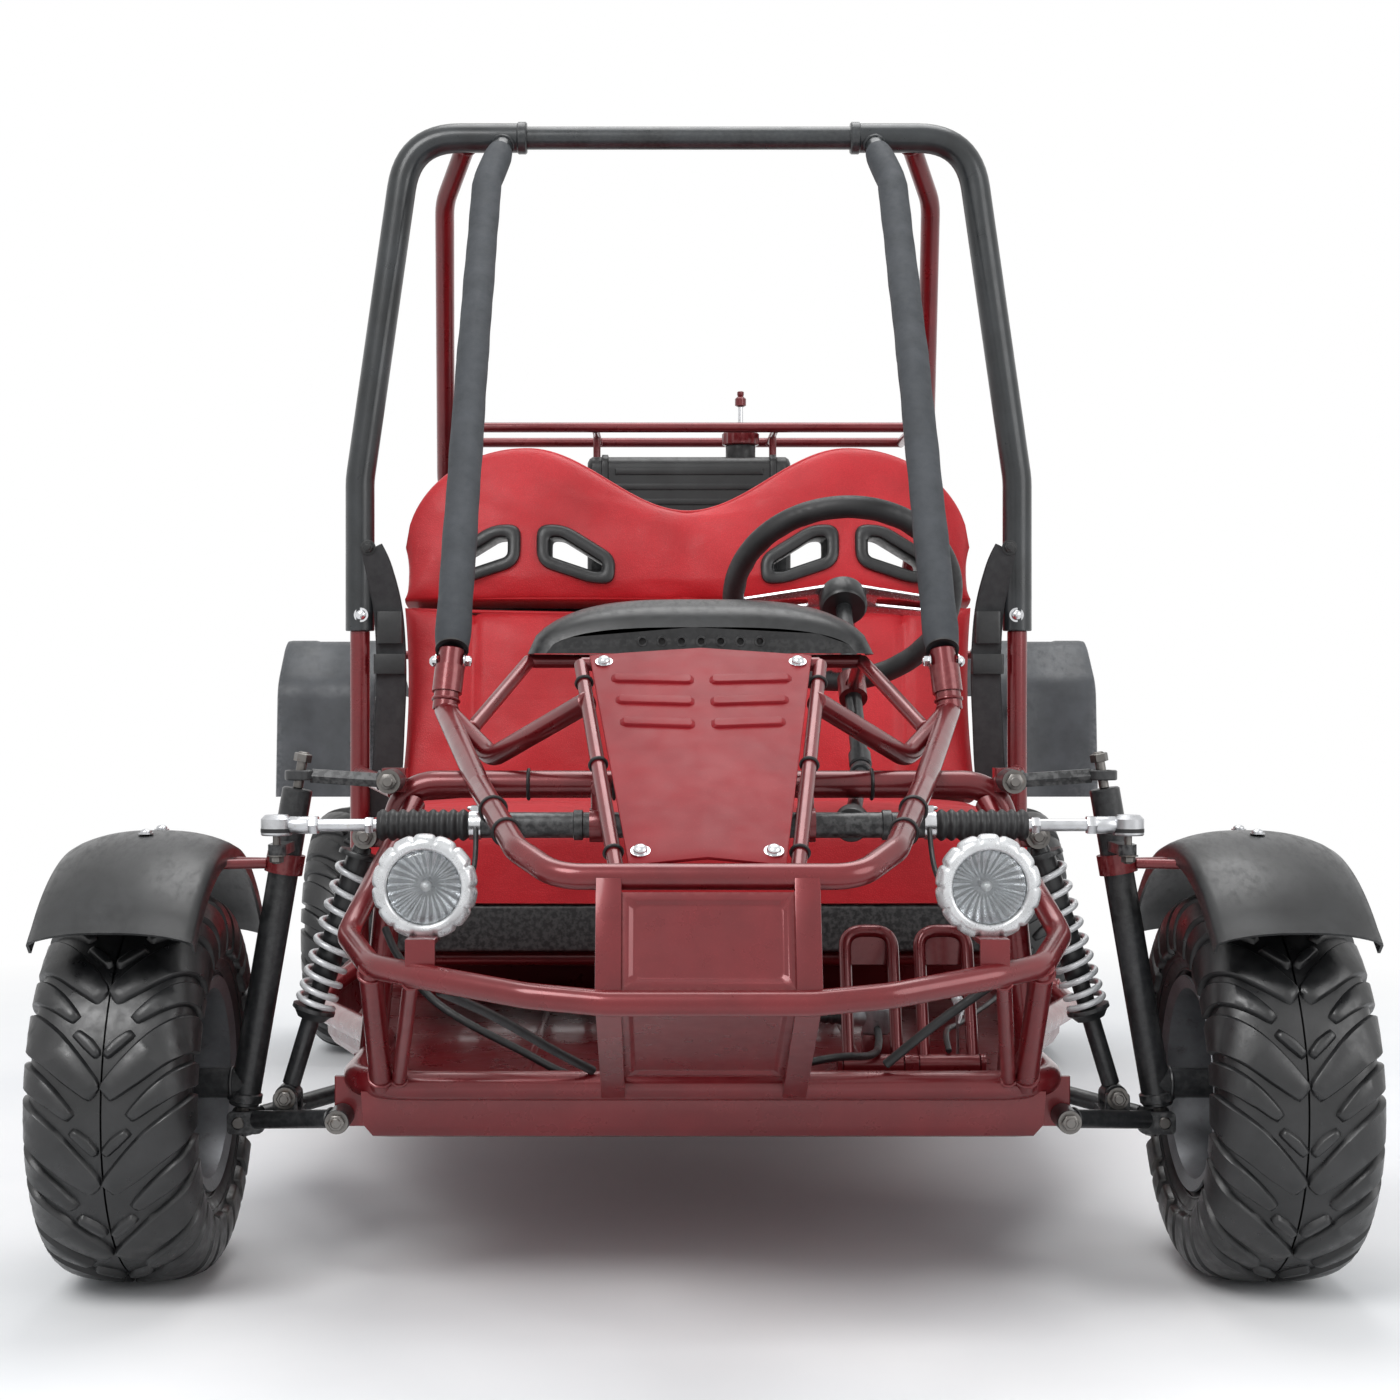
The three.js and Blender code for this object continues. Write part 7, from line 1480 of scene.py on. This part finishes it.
for label, size, body in (("front", front_wheel, "front_wheel_{}"), ("rear", rear_wheel, "rear_axle")):
    pair(f"{label}_tyre_tread", tyre_form(size), body, tyre_black, "tyre", f"{label}_tyre", sharp=42)

# Front suspension, right side; pair() mirrors it.
low_form, low_bolts = Form(), Form()
fork_up = arm.inner_up + (arm.ball_up - arm.inner_up) * (arm.fork_x - arm.inner_x) / (arm.ball_x - arm.inner_x)
share = (arm.shock_x - arm.inner_x) / (arm.fork_x - arm.inner_x)
plate_up = arm.inner_up + (fork_up - arm.inner_up) * share - arm.plate / 2
for end in (1, -1):
    bush = P(arm.inner_x, end * arm.inner_back, arm.inner_up)
    low_form.bush(arm.pin_radius + GAP, arm.bush_radius, arm.bush_length / 2, bush, B, 28)
    low_form.strut(bush, P(arm.fork_x, end * (arm.fork_gap + arm.ear_thick / 2), fork_up), arm.tube_radius,
                   arm.bush_radius)
    low, high = arm.ball_up - arm.ear_radius, arm.ball_up + arm.ear_radius
    ear = [(arm.fork_x - arm.tube_radius, low), (arm.ball_x, low), (arm.ball_x + arm.ear_radius, low),
           (arm.ball_x + arm.ear_radius, high), (arm.ball_x, high), (arm.fork_x - arm.tube_radius, high)]
    low_form.plate(B, rounded(ear, 10), end * arm.fork_gap, end * (arm.fork_gap + arm.ear_thick),
                   [circle(arm.ball_x, arm.ball_up, ball_joint.stem_radius + GAP, 20)])
    ear = oblong(arm.shock_x - shock.eye_radius, plate_up, arm.shock_x + shock.eye_radius,
                 arm.shock_up + shock.eye_radius / 2, 6)
    low_form.plate(B, ear, end * arm.shock_ear, end * (arm.shock_ear + arm.ear_thick))
    low_bolts.bolt(shock_foot + B * end * (arm.shock_ear + arm.ear_thick), B * end, 8, 5)
half = arm.fork_gap + (arm.inner_back - arm.fork_gap) * (1 - share)
low_form.box(P(arm.shock_x - shock.body_radius, -half, plate_up),
             P(arm.shock_x + shock.body_radius, half, plate_up + arm.plate), 5)
low_bolts.pin(shock_foot, B * (arm.shock_ear + arm.ear_thick), shock.pin_radius)
pair("lower_arm_tubes", low_form, "lower_arm_{}", black, "cage_paint", "lower_arm")
pair("lower_arm_bolts", low_bolts, "lower_arm_{}", steel, "zinc")

top_form = Form()
pivot = P(top_arm.inner_x, 0, top_arm.inner_up)
top_form.bush(arm.pin_radius + GAP, top_arm.bush_radius, top_arm.bush_length / 2, pivot, B, 28)
top_form.strut(pivot, along(kingpin_top, pivot, top_arm.eye_bore + 1), top_arm.bar_radius, top_arm.bush_radius, 0, 6)
top_form.bush(top_arm.eye_bore, top_arm.eye_radius, top_arm.eye_height / 2, kingpin_top, U)
pair("upper_arm_bar", top_form, "upper_arm_{}", black, "cage_paint", "upper_arm")

ball_form = Form()
ball_form.turned(arc(ball_joint.radius, -math.pi / 2 + 0.15, math.pi / 2 - 0.5, 14), kingpin_foot,
                 kingpin_top - kingpin_foot,
                 28, closed=False)
ball_form.rod(kingpin_foot, along(kingpin_foot, kingpin_top, ball_joint.stem_length), ball_joint.stem_radius)
ball_form.pin(kingpin_foot, B * ball_joint.pin_length, ball_joint.stem_radius)
pair("ball_stud", ball_form, "ball_joint_{}", steel, "zinc", "ball_joint")

up_form, up_bolts = Form(), Form()
foot, head, stud_foot, stud_end = (along(kingpin_foot, kingpin_top, distance) for distance in (
    upright.foot_along, kingpin_length - upright.top_short, kingpin_length + upright.top_short,
    kingpin_length + upright.top_short + upright.nut_height))
up_form.rod(foot, head, upright.radius, 28, chamfer=1.5)
up_form.turned([(upright.radius, 4), (upright.radius + 2.4, 5), (upright.radius + 2.4, 13), (upright.radius, 14)],
               foot,
               head - foot, 28)
hub = kingpin_at(front_wheel.radius)
hub_inner = P(front_wheel.track_x - wheel.hub_length / 2 - GAP, 0, front_wheel.radius)
hub_outer = P(front_wheel.track_x + wheel.hub_length / 2, 0, front_wheel.radius)
up_form.strut(hub, hub_inner, upright.shoulder_radius, upright.radius)
pad_centre = on_rack(tie_rod.outer_x) - U * tie_rod.pad_drop
pad_up = pad_centre[2]
arm_root, w = kingpin_at(pad_up - upright.arm_thick / 2), upright.arm_width / 2
steering_arm = [(arm_root[0] - w, 0), (arm_root[0] + w, 0), (tie_rod.outer_x + w, steer.rack_back),
                (tie_rod.outer_x, steer.rack_back - w), (tie_rod.outer_x - w, steer.rack_back)]
up_form.plate(U, rounded(steering_arm, 6), pad_up - upright.arm_thick, pad_up)
up_bolts.rod(head, stud_end, upright.stud_radius)
up_bolts.bolt(stud_foot, kingpin_top - kingpin_foot, upright.nut_radius, upright.nut_height - 1.5, washer=False)
up_bolts.rod(hub, hub_outer + X * upright.nut_height, upright.spindle_radius)
up_bolts.bolt(hub_outer + X * GAP, X, upright.shoulder_radius, upright.nut_height - 2, washer=False)
up_bolts.rod(pad_centre - U * 4, pad_centre + U * tie_rod.bore_depth, tie_rod.stud_radius)
up_bolts.bolt(pad_centre - U * upright.arm_thick, -U, 7, 6)
pair("upright_tube", up_form, "upright_{}", black, "cage_paint", "upright")
pair("upright_bolts", up_bolts, "upright_{}", steel, "zinc")

rod_form = Form()
inner, outer = on_rack(tie_rod.inner_x), on_rack(tie_rod.outer_x)
rod_form.turned(arc(tie_rod.ball_radius, -1.35, 1.35, 14), inner, X, 24, closed=False)
rod_form.rod(inner, outer - X * (tie_rod.housing_radius - 2), tie_rod.radius)
for centre, r, width in ((outer - X * 36, 9.5, 9), (inner + X * 18, 8.5, 8)):
    w = width / 2
    rod_form.turned([(r * 0.94, -w), (r, 1 - w), (r, w - 1), (r * 0.94, w)], centre, X, 6, closed=False)
rod_form.turned([(7.5, 0), (8.5, 3), (8.5, 20), (7, 22)], outer - X * 33, X, 24, closed=False)
half, r = tie_rod.housing_height / 2, tie_rod.housing_radius
rod_form.turned([(tie_rod.bore, -half), (r - 1, -half), (r, 1 - half), (r, half - 4), (r - 4, half), (2, half)],
                outer, U, 36,
                closed=False)
rod_boot = Form().turned([(r - 0.6, 2.4), (r + 0.3, 3.2), (r + 0.3, 6.6), (r - 0.6, 7.4)], outer - U * half, U, 36)
pair("tie_rod_bar", rod_form, "tie_rod_{}", zinc, "zinc", "tie_rod")
pair("tie_rod_boot", rod_boot, "tie_rod_{}", black_rubber, "rubber")

# Rack housing, bar, pinion tower, bellows with clamps, lower shaft with its joint.
housing, clamps, shaft_form = Form(), Form(), Form()
r = steer.housing_radius
housing.ring(steer.rack_radius + GAP, r, -steer.housing_x, steer.housing_x, on_rack(0), X)
to_column = unit(column_foot - pinion_centre)
profile = [(1, 0), (0, 2), (0, 26), (3, 29), (3, steer.pinion_length - 2), (5, steer.pinion_length)]
housing.turned([(steer.pinion_radius - drop, h) for drop, h in profile], pinion_centre, to_column, closed=False)
for x in (-120, 40, 178):
    housing.turned([(r, -5), (r + 2.2, -4), (r + 2.2, 4), (r, 5)], on_rack(x), X, 36)
for side in (1, -1):
    clamp = on_rack(side * (steer.housing_x - steer.clamp_width / 2))
    clamps.ring(r, steer.clamp_radius, -5.5, 5.5, clamp, X)
    clamps.box(clamp + P(-4, -4, steer.clamp_radius - 1), clamp + P(4, 5, steer.clamp_radius + 5), 1)
    clamps.pin(clamp + U * (steer.clamp_radius + 2.4), X * 8, 1.8, 12)
piece("rack_tube", housing, "chassis", black, "cage_paint", "rack_housing")
piece("rack_clamps", clamps, "chassis", bright, "zinc")
rack_rod = Form().pin(on_rack(0), X * (tie_rod.inner_x - tie_rod.ball_radius - GAP), steer.rack_radius, 32)
piece("rack_rod", rack_rod, "rack_bar", zinc, "zinc", "rack_bar")
length = bellows.end_x - bellows.start_x
crests = np.linspace(0, bellows.ribs, bellows.ribs * 8 + 1)
profile = [(bellows.root + (bellows.crest - bellows.root) * ((1 - math.cos(2 * math.pi * t)) / 2) ** 0.8,
            length * t / bellows.ribs) for t in crests] + [(bellows.bore, length), (bellows.bore, 0)]
sleeve = Form().turned(profile, on_rack(bellows.start_x), X)
for made, (side, sign) in zip(pair("bellows_sleeve", sleeve, "chassis", black_rubber, "rubber", "bellows", ride=False,
                                   sharp=60), SIDES):
    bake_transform(made)
shaft_form.rod(pinion_centre + to_column * (steer.pinion_length + GAP), column_foot, steer.shaft_radius, 24)
shaft_form.knob(steer.joint_radius, steer.joint_length, along(column_foot, pinion_centre, steer.cross_radius),
                pinion_centre - column_foot)
for direction in (X, -X):
    shaft_form.rod(column_foot - direction * 3, column_foot + direction * (steer.cross_radius - 0.4), 3, 16)
shaft_form.turned(arc(steer.cross_radius, -1.3, 1.3, 10), column_foot, X, 20, closed=False)
piece("steering_link", shaft_form, "steering_shaft", black, "cage_paint", "steering_shaft")

# Steering wheel: a grained rim, a slotted plate with three spokes, hub cap and column.
wheel_v = np.cross(column_axis, X)
rings = []
for a in turns(120):
    sizes = [(steer.grip_radius - 1.4 * max(0, -math.cos(t)) ** 4 * (0.5 + 0.5 * math.cos(24 * a)) - 0.3, t)
             for t in turns(24)]
    rings.append([around(wheel_centre + column_axis * size * math.sin(t), steer.rim_radius + size * math.cos(t), a, X,
                         wheel_v)
                  for size, t in sizes])
piece("wheel_rim", Form().skin(rings, loop=True), "steering_wheel", black_rubber, "cage_paint", "steering_wheel",
      sharp=60)
spokes, boss, wheel_bolts = Form(), Form(), Form()
half, r = steer.spoke_width / 2, steer.rim_radius
for degrees in (8, 172, 90):
    a = math.radians(degrees)
    outside = [(0, half + 4), (r * 0.55, half), (r + 3, half * 0.8)]
    window = [(steer.hub_radius * 1.45, half * 0.4), (r * 0.8, half * 0.34)]
    outlines = [rounded([(x, -y) for x, y in edge] + edge[::-1], radius) for edge,
                radius in ((outside, 10), (window, 4))]
    spokes.slab(outlines, wheel_centre - column_axis * 2.5, around(0, 1, a, X, wheel_v), around(0, 1, a, wheel_v, -X),
                column_axis, steer.plate)
piece("wheel_spokes", spokes, "steering_wheel", bright, "cage_paint", bevel=0.8)
boss.turned([(steer.hub_radius - 3, -steer.hub_length), (steer.hub_radius, -steer.hub_length + 4),
             (steer.hub_radius, -3),
             (steer.hub_radius - 2, steer.plate), (12, steer.plate + 1), (10, steer.plate)], wheel_centre,
            column_axis, 40,
            closed=False)
column_end = column_foot + column_axis * (steer.cross_radius + GAP)
boss.rod(column_end, wheel_centre, steer.column_radius, 28)
boss.knob(steer.joint_radius, steer.joint_length, column_end, column_axis)
piece("wheel_boss", boss, "steering_wheel", black, "cage_paint")
for a in turns(6):
    wheel_bolts.bolt(around(wheel_centre + column_axis * (steer.plate + 0.5), 20, a, X, wheel_v), column_axis, 3.2, 2,
                     washer=False, dome=True)
piece("wheel_bolts", wheel_bolts, "steering_wheel", bright, "zinc")


# Shock absorbers with their coil springs.
def shock_forms(top, foot, size, eye_axis, open_slack):
    body, stem = Form(), Form()
    for form, centre, slack in ((body, top, 0), (stem, foot, open_slack)):
        form.bush(size.pin_radius + GAP + slack, size.eye_radius, size.eye_width / 2, centre, eye_axis)
    r, collar_foot = size.body_radius, size.spring_top - size.collar_thick
    body.turned([(size.rod_radius, size.eye_radius - 1), (size.rod_radius + 1, collar_foot),
                 (size.collar_radius - 1, collar_foot), (size.collar_radius, size.spring_top - 3),
                 (size.collar_radius, size.spring_top), (r, size.spring_top + 0.5), (r, size.body_end - 3),
                 (r - 2, size.body_end)], top, foot - top, 36, closed=False)
    stem.rod(along(top, foot, size.tube_start), along(foot, top, size.eye_radius - 1), size.rod_radius, 28)
    stem.turned([(size.rod_radius, 12), (size.rod_radius + 5, 12), (size.collar_radius - 3, 6),
                 (size.collar_radius, 4),
                 (size.collar_radius, 0), (size.rod_radius, 0)], along(foot, top, size.spring_foot), foot - top, 36)
    return body, stem


def coil(top, foot, size, spring):
    """A spring between the two collars, with both of its ends."""
    start, end = along(top, foot, size.spring_top + GAP), along(foot, top, size.spring_foot + GAP)
    length = np.linalg.norm(end - start)
    u, v, n = axes_of(end - start)
    steps = int(spring.turns * 32)
    points = []
    for turn in np.arange(steps + 1) / steps:
        height = spring.wire_radius + (length - 2 * spring.wire_radius) * (1 - (1 - turn) ** spring.crowding)
        points.append(around(start + n * height, spring.coil_radius, 2 * math.pi * spring.turns * turn, u, v))
    return Form().tube(points, spring.wire_radius, 12), start, end


body, stem = shock_forms(shock_top, shock_foot, shock, B, 2.1)
pair("shock_tube", body, "shock_body_{}", black, "cage_paint", "shock_body")
pair("shock_stem", stem, "shock_rod_{}", black, "cage_paint", "shock_rod")
coil_form, start, end = coil(shock_top, shock_foot, shock, front_spring)
for made, (side, sign) in zip(pair("coil", coil_form, "shock_body", spring_white, "spring_paint", "spring",
                                   ride=False,
                                   sharp=60), SIDES):
    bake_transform(made)
body, stem = shock_forms(rear_shock_top, rear_shock_foot, rear_shock, X, 2.8)
piece("rear_shock_tube", body, "rear_shock_body", black, "cage_paint", "rear_shock_body")
piece("rear_shock_stem", stem, "rear_shock_rod", black, "cage_paint", "rear_shock_rod")
coil_form, start, end = coil(rear_shock_top, rear_shock_foot, rear_shock, rear_spring)
made = piece("rear_coil", coil_form, "rear_shock_body", spring_white, "spring_paint", "rear_spring", ride=False,
             sharp=60)
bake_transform(made)

# Front fender: a crowned shell with rolled lips, on two red stays.
middle = (fender.in_x + fender.out_x) / 2
section = [(fender.in_x, fender.radius - fender.lip), (fender.in_x, fender.radius - 4),
           (fender.in_x + 1.5, fender.radius)]
section += [(fender.in_x + (fender.out_x - fender.in_x) * t,
             fender.radius + fender.crown * (1 - abs(2 * t - 1) ** 2.6))
            for t in np.linspace(0.06, 0.94, 19)]
section += [(fender.in_x + fender.out_x - x, r) for x, r in section[2::-1]]
section += [(x + (2.6 if x < middle - 70 else -2.6 if x > middle + 70 else 0),
             r - (3 if r > fender.radius - 2 else 0))
            for x, r in section[::-1]]
rings = []
for i, degrees in enumerate(np.linspace(-fender.front_degrees, fender.rear_degrees, 49)):
    grow = {0: 2.2, 1: 1.2}.get(min(i, 48 - i), 0)
    rings.append([around(P(x, 0, front_wheel.radius), r + grow, math.radians(degrees), U, B) for x, r in section])
pair("fender_shell", Form().skin(rings), "upright_{}", plastic, "black_plastic", "front_fender", sharp=40)
stays, fender_bolts = Form(), Form()
root = kingpin_at(fender.stay_up)
stays.ring(upright.radius + GAP, upright.radius + 4, -10, 10, root, kingpin_top - kingpin_foot, 32)
for end in (1, -1):
    under = P(middle, end * fender.stay_back, fender.stay_up)
    top = P(middle, end * fender.stay_back, front_wheel.radius + fender.radius + fender.crown - 6)
    stays.tube(bent([P(root[0] + upright.radius + 2, end * 8, fender.stay_up), under, top], 16), fender.stay_radius,
               16)
    fender_bolts.bolt(top + U * 4.5, U, 5.5, 3, dome=True)
pair("fender_stays", stays, "upright_{}", red, "frame_paint")
pair("fender_bolts", fender_bolts, "upright_{}", zinc, "zinc")

# Rear fender: a bent sheet with a rolled edge and a raised rib.
corners = [("front_back", "foot_up"), ("shoulder_back", "shoulder_up"), ("top_back", "top_up"),
           ("rear_back", "rear_up"),
           ("end_back", "end_up")]
curve = bent([P(0, getattr(rear_fender, back), getattr(rear_fender, up)) for back, up in corners], 60)
width = rear_fender.out_x - rear_fender.in_x
outside = [(0, -6), (0.015, -1), (0.06, 0), (0.1, 0), (0.3, 0), (0.34, -1.5)]
outside += [(1 - share, lift) for share, lift in reversed(outside)]
outside += [(0.985, -6), (0.94, -rear_fender.wall), (0.06, -rear_fender.wall), (0.015, -6)]
rings = []
for i, p in enumerate(curve):
    t = unit(curve[min(i + 1, len(curve) - 1)] - curve[max(i - 1, 0)])
    n = P(0, -t[2], t[1])
    n = -n if n[2] < 0 < n[1] else n
    rings.append([p + n * lift + X * (rear_fender.in_x + width * share) for share, lift in outside])
pair("rear_fender_sheet", Form().skin(rings), "chassis", grey, "grey_plastic", "rear_fender", sharp=40)


# Headlights: a bowl, a scalloped bezel, a fluted reflector, a bulb and a domed lens.
def scallop(a, r, h):
    """Notches round the bezel's rim."""
    return -2.3 * max(0, math.cos(14 * a)) ** 6 if r > lamp.radius - 2 else 0


def flute(a, r, h):
    """Low ridges that run out along the reflector."""
    return 0.35 * math.cos(24 * a) if r > 12 else 0


R, L, C = lamp.radius, lamp.lens_radius, lamp.rear_radius
cone = [(3, 22)] + [(6 + 27 * t, 22 + 30 * t ** 1.7) for t in np.linspace(0, 1, 12)]
dome = [(L * math.sin(t), 54 + 5.4 * math.cos(t)) for t in np.linspace(0.06, math.pi / 2, 10)]
for name, profile, sides, material, node, wave, sharp in (
        ("bowl", [(4, 0), (C, 1), (C + 8, 14), (R - 4, 36), (R - 1, 42), (R - 1, 46), (R - 4, 46), (R - 7, 36),
                  (C + 5, 17),
                  (C - 2, 4), (4, 4)], 48, plastic, "headlight", None, 38),
        ("bezel", [(R - 3, 40), (R + 4, 42), (R + 5, 47), (R + 4, 54), (R, 58.5), (R - 3.5, 60), (L + 2, 60), (L, 58),
                   (L, 52),
                   (R - 4, 50)], 140, silver, None, scallop, 50),
        ("reflector", cone + [(r - 1, h + 1.6) for r, h in reversed(cone)][:-1], 96, bright, None, flute, 60),
        ("bulb", [(3, 22), (3, 30), (4.5, 34), (5, 39), (3.6, 43), (1.4, 44.5)], 24, silver, None, None, 38),
        ("lens", dome + [(r - 0.8 if r > 3 else r, h - 1.6) for r, h in reversed(dome)], 72, lens, None, None, 60)):
    form = Form().turned(profile, P(lamp.x, lamp.face_back + lamp.depth, lamp.up), -B, sides, name != "bulb", wave)
    pair(f"lamp_{name}", form, "chassis", material, "lamp", node, sharp=sharp)

# Pedals, return spring, master cylinder with its boot, the brake hose and the cables.
half = pedal.width / 2
for label, x in (("brake", pedal.brake_x), ("throttle", pedal.throttle_x)):
    form, tread = Form(), Form()
    foot, top = P(x, pedal.pivot_back, pedal.pivot_up), P(x, pedal.top_back, pedal.top_up)
    form.tube(bent([foot - X * half, top - X * half, top + X * half, foot + X * half], 20), pedal.radius)
    form.bush(pedal.pin_radius + GAP, pedal.sleeve_radius, half + 6.5, foot, X, 28)
    form.box(top - P(half, 2, pedal.width * 0.7), top + X * half, 3)
    piece(f"{label}_lever", form, f"{label}_pedal", red, "frame_paint", f"{label}_pedal")
    for i in range(5):
        middle = top - U * (6 + i * 6.5)
        tread.box(middle - P(half - 5, 1, 1.6), middle + P(half - 5, 2.4, 1.6), 0.8)
    piece(f"{label}_tread", tread, f"{label}_pedal", black_rubber, "rubber")
small, pull, r = Form(), Form(), master.radius
centre = at(master)
small.turned([(r - 1.5, -17), (r, -15), (r, 9), (r - 2, 11), (r - 2, 15), (r - 5, 17)], centre, U, 40, closed=False)
small.turned([(master.tube_radius, 0), (master.tube_radius, 27), (master.tube_radius - 2, 30)], centre, -X,
             closed=False)
small.bolt(centre + U * 17, U, 6, 4)
piece("master_body", small, "chassis", alloy, "cast_metal", "master_cylinder")
profile = [(master.boot_radius * (1 - 0.5 * t) + 0.9 * math.cos(12 * math.pi * t), 30 + 50 * t)
           for t in np.linspace(0, 1, 33)]
boot = Form().turned([(4, 30), *profile, (3, 80)], centre, -X, 28, closed=False)
piece("master_boot", boot, "chassis", black_rubber, "rubber")
hose = Form().tube(spline([
    (190, 150, 230), (188, 100, 216), (170, 10, 218), (120, -60, 226), (0, -92, 206), (-107, -92, 210),
                           (-180, -80, 240),
    (-256, -60, 279), (-300, -10, 318), (-318, 18, 345)]), 4, 12)
cables = Form()
for radius, sides, route in (
        (4.5, 12, [(-233, -283, 322), (-190, -225, 292), (-140, -165, 252), (-104, -126, 226)]),
        (4.5, 12, [(334, -152, 347), (290, -140, 322), (225, -132, 276), (171, -124, 231)]),
        (3.2, 10, [(256, 60, 214), (262, 120, 226), (300, 260, 216), (380, 480, 224), (410, 800, 226),
                   (300, 1040, 262),
                   (120, 1130, 330)]),
        *((2.6, 10, [(side * 232, -228, 404), (side * 226, -196, 392), (side * 214, -150, 420),
                     (side * 222, -40, 470)])
          for side in (1, -1))):
    cables.tube(spline(route), radius, sides)
piece("brake_hose", hose, "chassis", black_rubber, "rubber")
piece("cables", cables, "chassis", black_rubber, "rubber")
pull.tube([around(P(274, 92 + 40 * t, 250 + 8 * t), 5, 20 * math.pi * t, X, U) for t in np.linspace(0, 1, 200)], 1.1,
          8)
pull.tube([(274, 92, 250), (268, 74, 240)], 1.4, 8)
pull.tube([(274, 132, 258), (276, 138, 214), (276, 140, pan_floor + 0.5)], 1.8, 8)
piece("pedal_spring", pull, "chassis", zinc, "zinc")

# Seat belts hang at the outer sides of the seat from the hoop's legs.
strap, buckle = Form(), Form()
route = spline([(452, 884, 786), (438, 884, 756), (425, 890, 700), (421, 896, 620), (424, 899, 540), (428, 902, 470),
                (437, 908, 420), (446, 914, 350), (450, 918, 290)])
for side in (1, -1):
    for w, shift in ((21.5, 0), (20, 2.6)):
        edge = [(-w, 0.45), (-w + 1, 0.9), (-14, 0.9), (0, 0.9), (14, 0.9), (w - 1, 0.9), (w, 0.45)]
        rings = []
        for i, p in enumerate(route):
            tangent = unit(route[min(i + 1, len(route) - 1)] - route[max(i - 1, 0)])
            flat = around(0, 1, 0.16 * math.sin(i * 0.12), X, B)
            width = unit(flat - tangent * float(flat @ tangent))
            n = np.cross(tangent, width)
            rings.append([(p + n * shift + width * a + n * b) * P(side, 1, 1)
                          for a, b in [(a, -b) for a, b in edge] + edge[::-1]])
        strap.skin(rings)
    buckle.box(P(side * 400, 884, 612), P(side * 445, 893, 640), 3)
    buckle.box(P(side * 404, 880, 655), P(side * 441, 892, 700), 5)
    buckle.bolt(P(side * 452, hoop.back - hoop.radius + 1, 790), -B, 8, 5)
piece("belt_straps", strap, "chassis", web_black, "rubber", sharp=60)
piece("belt_buckles", buckle, "chassis", plastic, "black_plastic", bevel=1.0)


# Floor, world and lamps: plain, pale and soft.
def mixed(tree, factor, first, second, target):
    """Feeds a target from two shaders, by a factor."""
    mixer = tree.nodes.new("ShaderNodeMixShader")
    for socket, given in zip(mixer.inputs, (factor, first, second)):
        tree.links.new(given, socket)
    tree.links.new(mixer.outputs[0], target)


def seen_plainly(tree):
    """1 for rays from the camera, from glossy surfaces and through glass."""
    path = tree.nodes.new("ShaderNodeLightPath")
    seen = path.outputs["Is Camera Ray"]
    for kind in ("Is Glossy Ray", "Is Transmission Ray"):
        largest = tree.nodes.new("ShaderNodeMath")
        largest.operation = "MAXIMUM"
        tree.links.new(seen, largest.inputs[0])
        tree.links.new(path.outputs[kind], largest.inputs[1])
        seen = largest.outputs[0]
    return seen


def light(tree, kind, colour, strength):
    made = tree.nodes.new(kind)
    made.inputs[0].default_value, made.inputs[1].default_value = (*colour, 1), strength
    return made.outputs[0]


def floor_finish():
    s = Shade("floor").set(Roughness=0.9, Specular_IOR_Level=0.1)
    s.colour(s.mix(s.ranged(s.noise(400, 4), 0.4, 0.6), (0.84, 0.845, 0.85), (0.87, 0.87, 0.87)))
    far = s.node("VectorMath", _out="Value", _set={"operation": "LENGTH"}, Vector=s.coords)
    fade = s.math("MULTIPLY", seen_plainly(s.tree), s.ranged(far, 1.2, 2.4))
    mixed(s.tree, fade, s.bsdf.outputs[0], light(s.tree, "ShaderNodeEmission", (1, 1, 1), 1.0),
          s.out.inputs["Surface"])
    return s.material


floor_mesh = bpy.data.meshes.new("floor")
ROUND = 96
ring_sizes = (0.5, 1.5, 3, 6, 12)
verts = [(0, 0, 0)] + [(*polar(r, a), 0) for r in ring_sizes for a in turns(ROUND)]
faces = [(0, 1 + i, 1 + (i + 1) % ROUND) for i in range(ROUND)]
for a in range(1, 1 + ROUND * (len(ring_sizes) - 1), ROUND):
    b = a + ROUND
    faces += [(a + i, b + i, b + (i + 1) % ROUND, a + (i + 1) % ROUND) for i in range(ROUND)]
floor_mesh.from_pydata(verts, [], faces)
floor = bpy.data.objects.new("floor", floor_mesh)
floor_mesh.materials.append(floor_finish())
bpy.context.scene.collection.objects.link(floor)

bpy.context.scene.view_settings.view_transform = "Standard"
world = bpy.data.worlds.new("studio")
bpy.context.scene.world = world
world.use_nodes = True
tree = world.node_tree
tree.nodes.clear()
world_out = tree.nodes.new("ShaderNodeOutputWorld")
mixed(tree, seen_plainly(tree), light(tree, "ShaderNodeBackground", (0.93, 0.96, 1.0), 0.62),
      light(tree, "ShaderNodeBackground", (1, 1, 1), 1.0), world_out.inputs[0])

for name, place, target, size, power in (("key", (-1.6, -3.2, 3.4), (0, -0.3, 0.5), 2.2, 95),
                                         ("fill", (2.8, -2.4, 1.8), (0, -0.2, 0.5), 2.4, 38),
                                         ("top", (0.2, 0.8, 3.8), (0, 0, 0.4), 2.6, 60)):
    data = bpy.data.lights.new(name, "AREA")
    data.shape = "DISK"
    data.size = size
    data.energy = power
    made = bpy.data.objects.new(name, data)
    made.location = place
    made.rotation_euler = (Vector(target) - Vector(place)).to_track_quat("-Z", "Y").to_euler()
    bpy.context.scene.collection.objects.link(made)
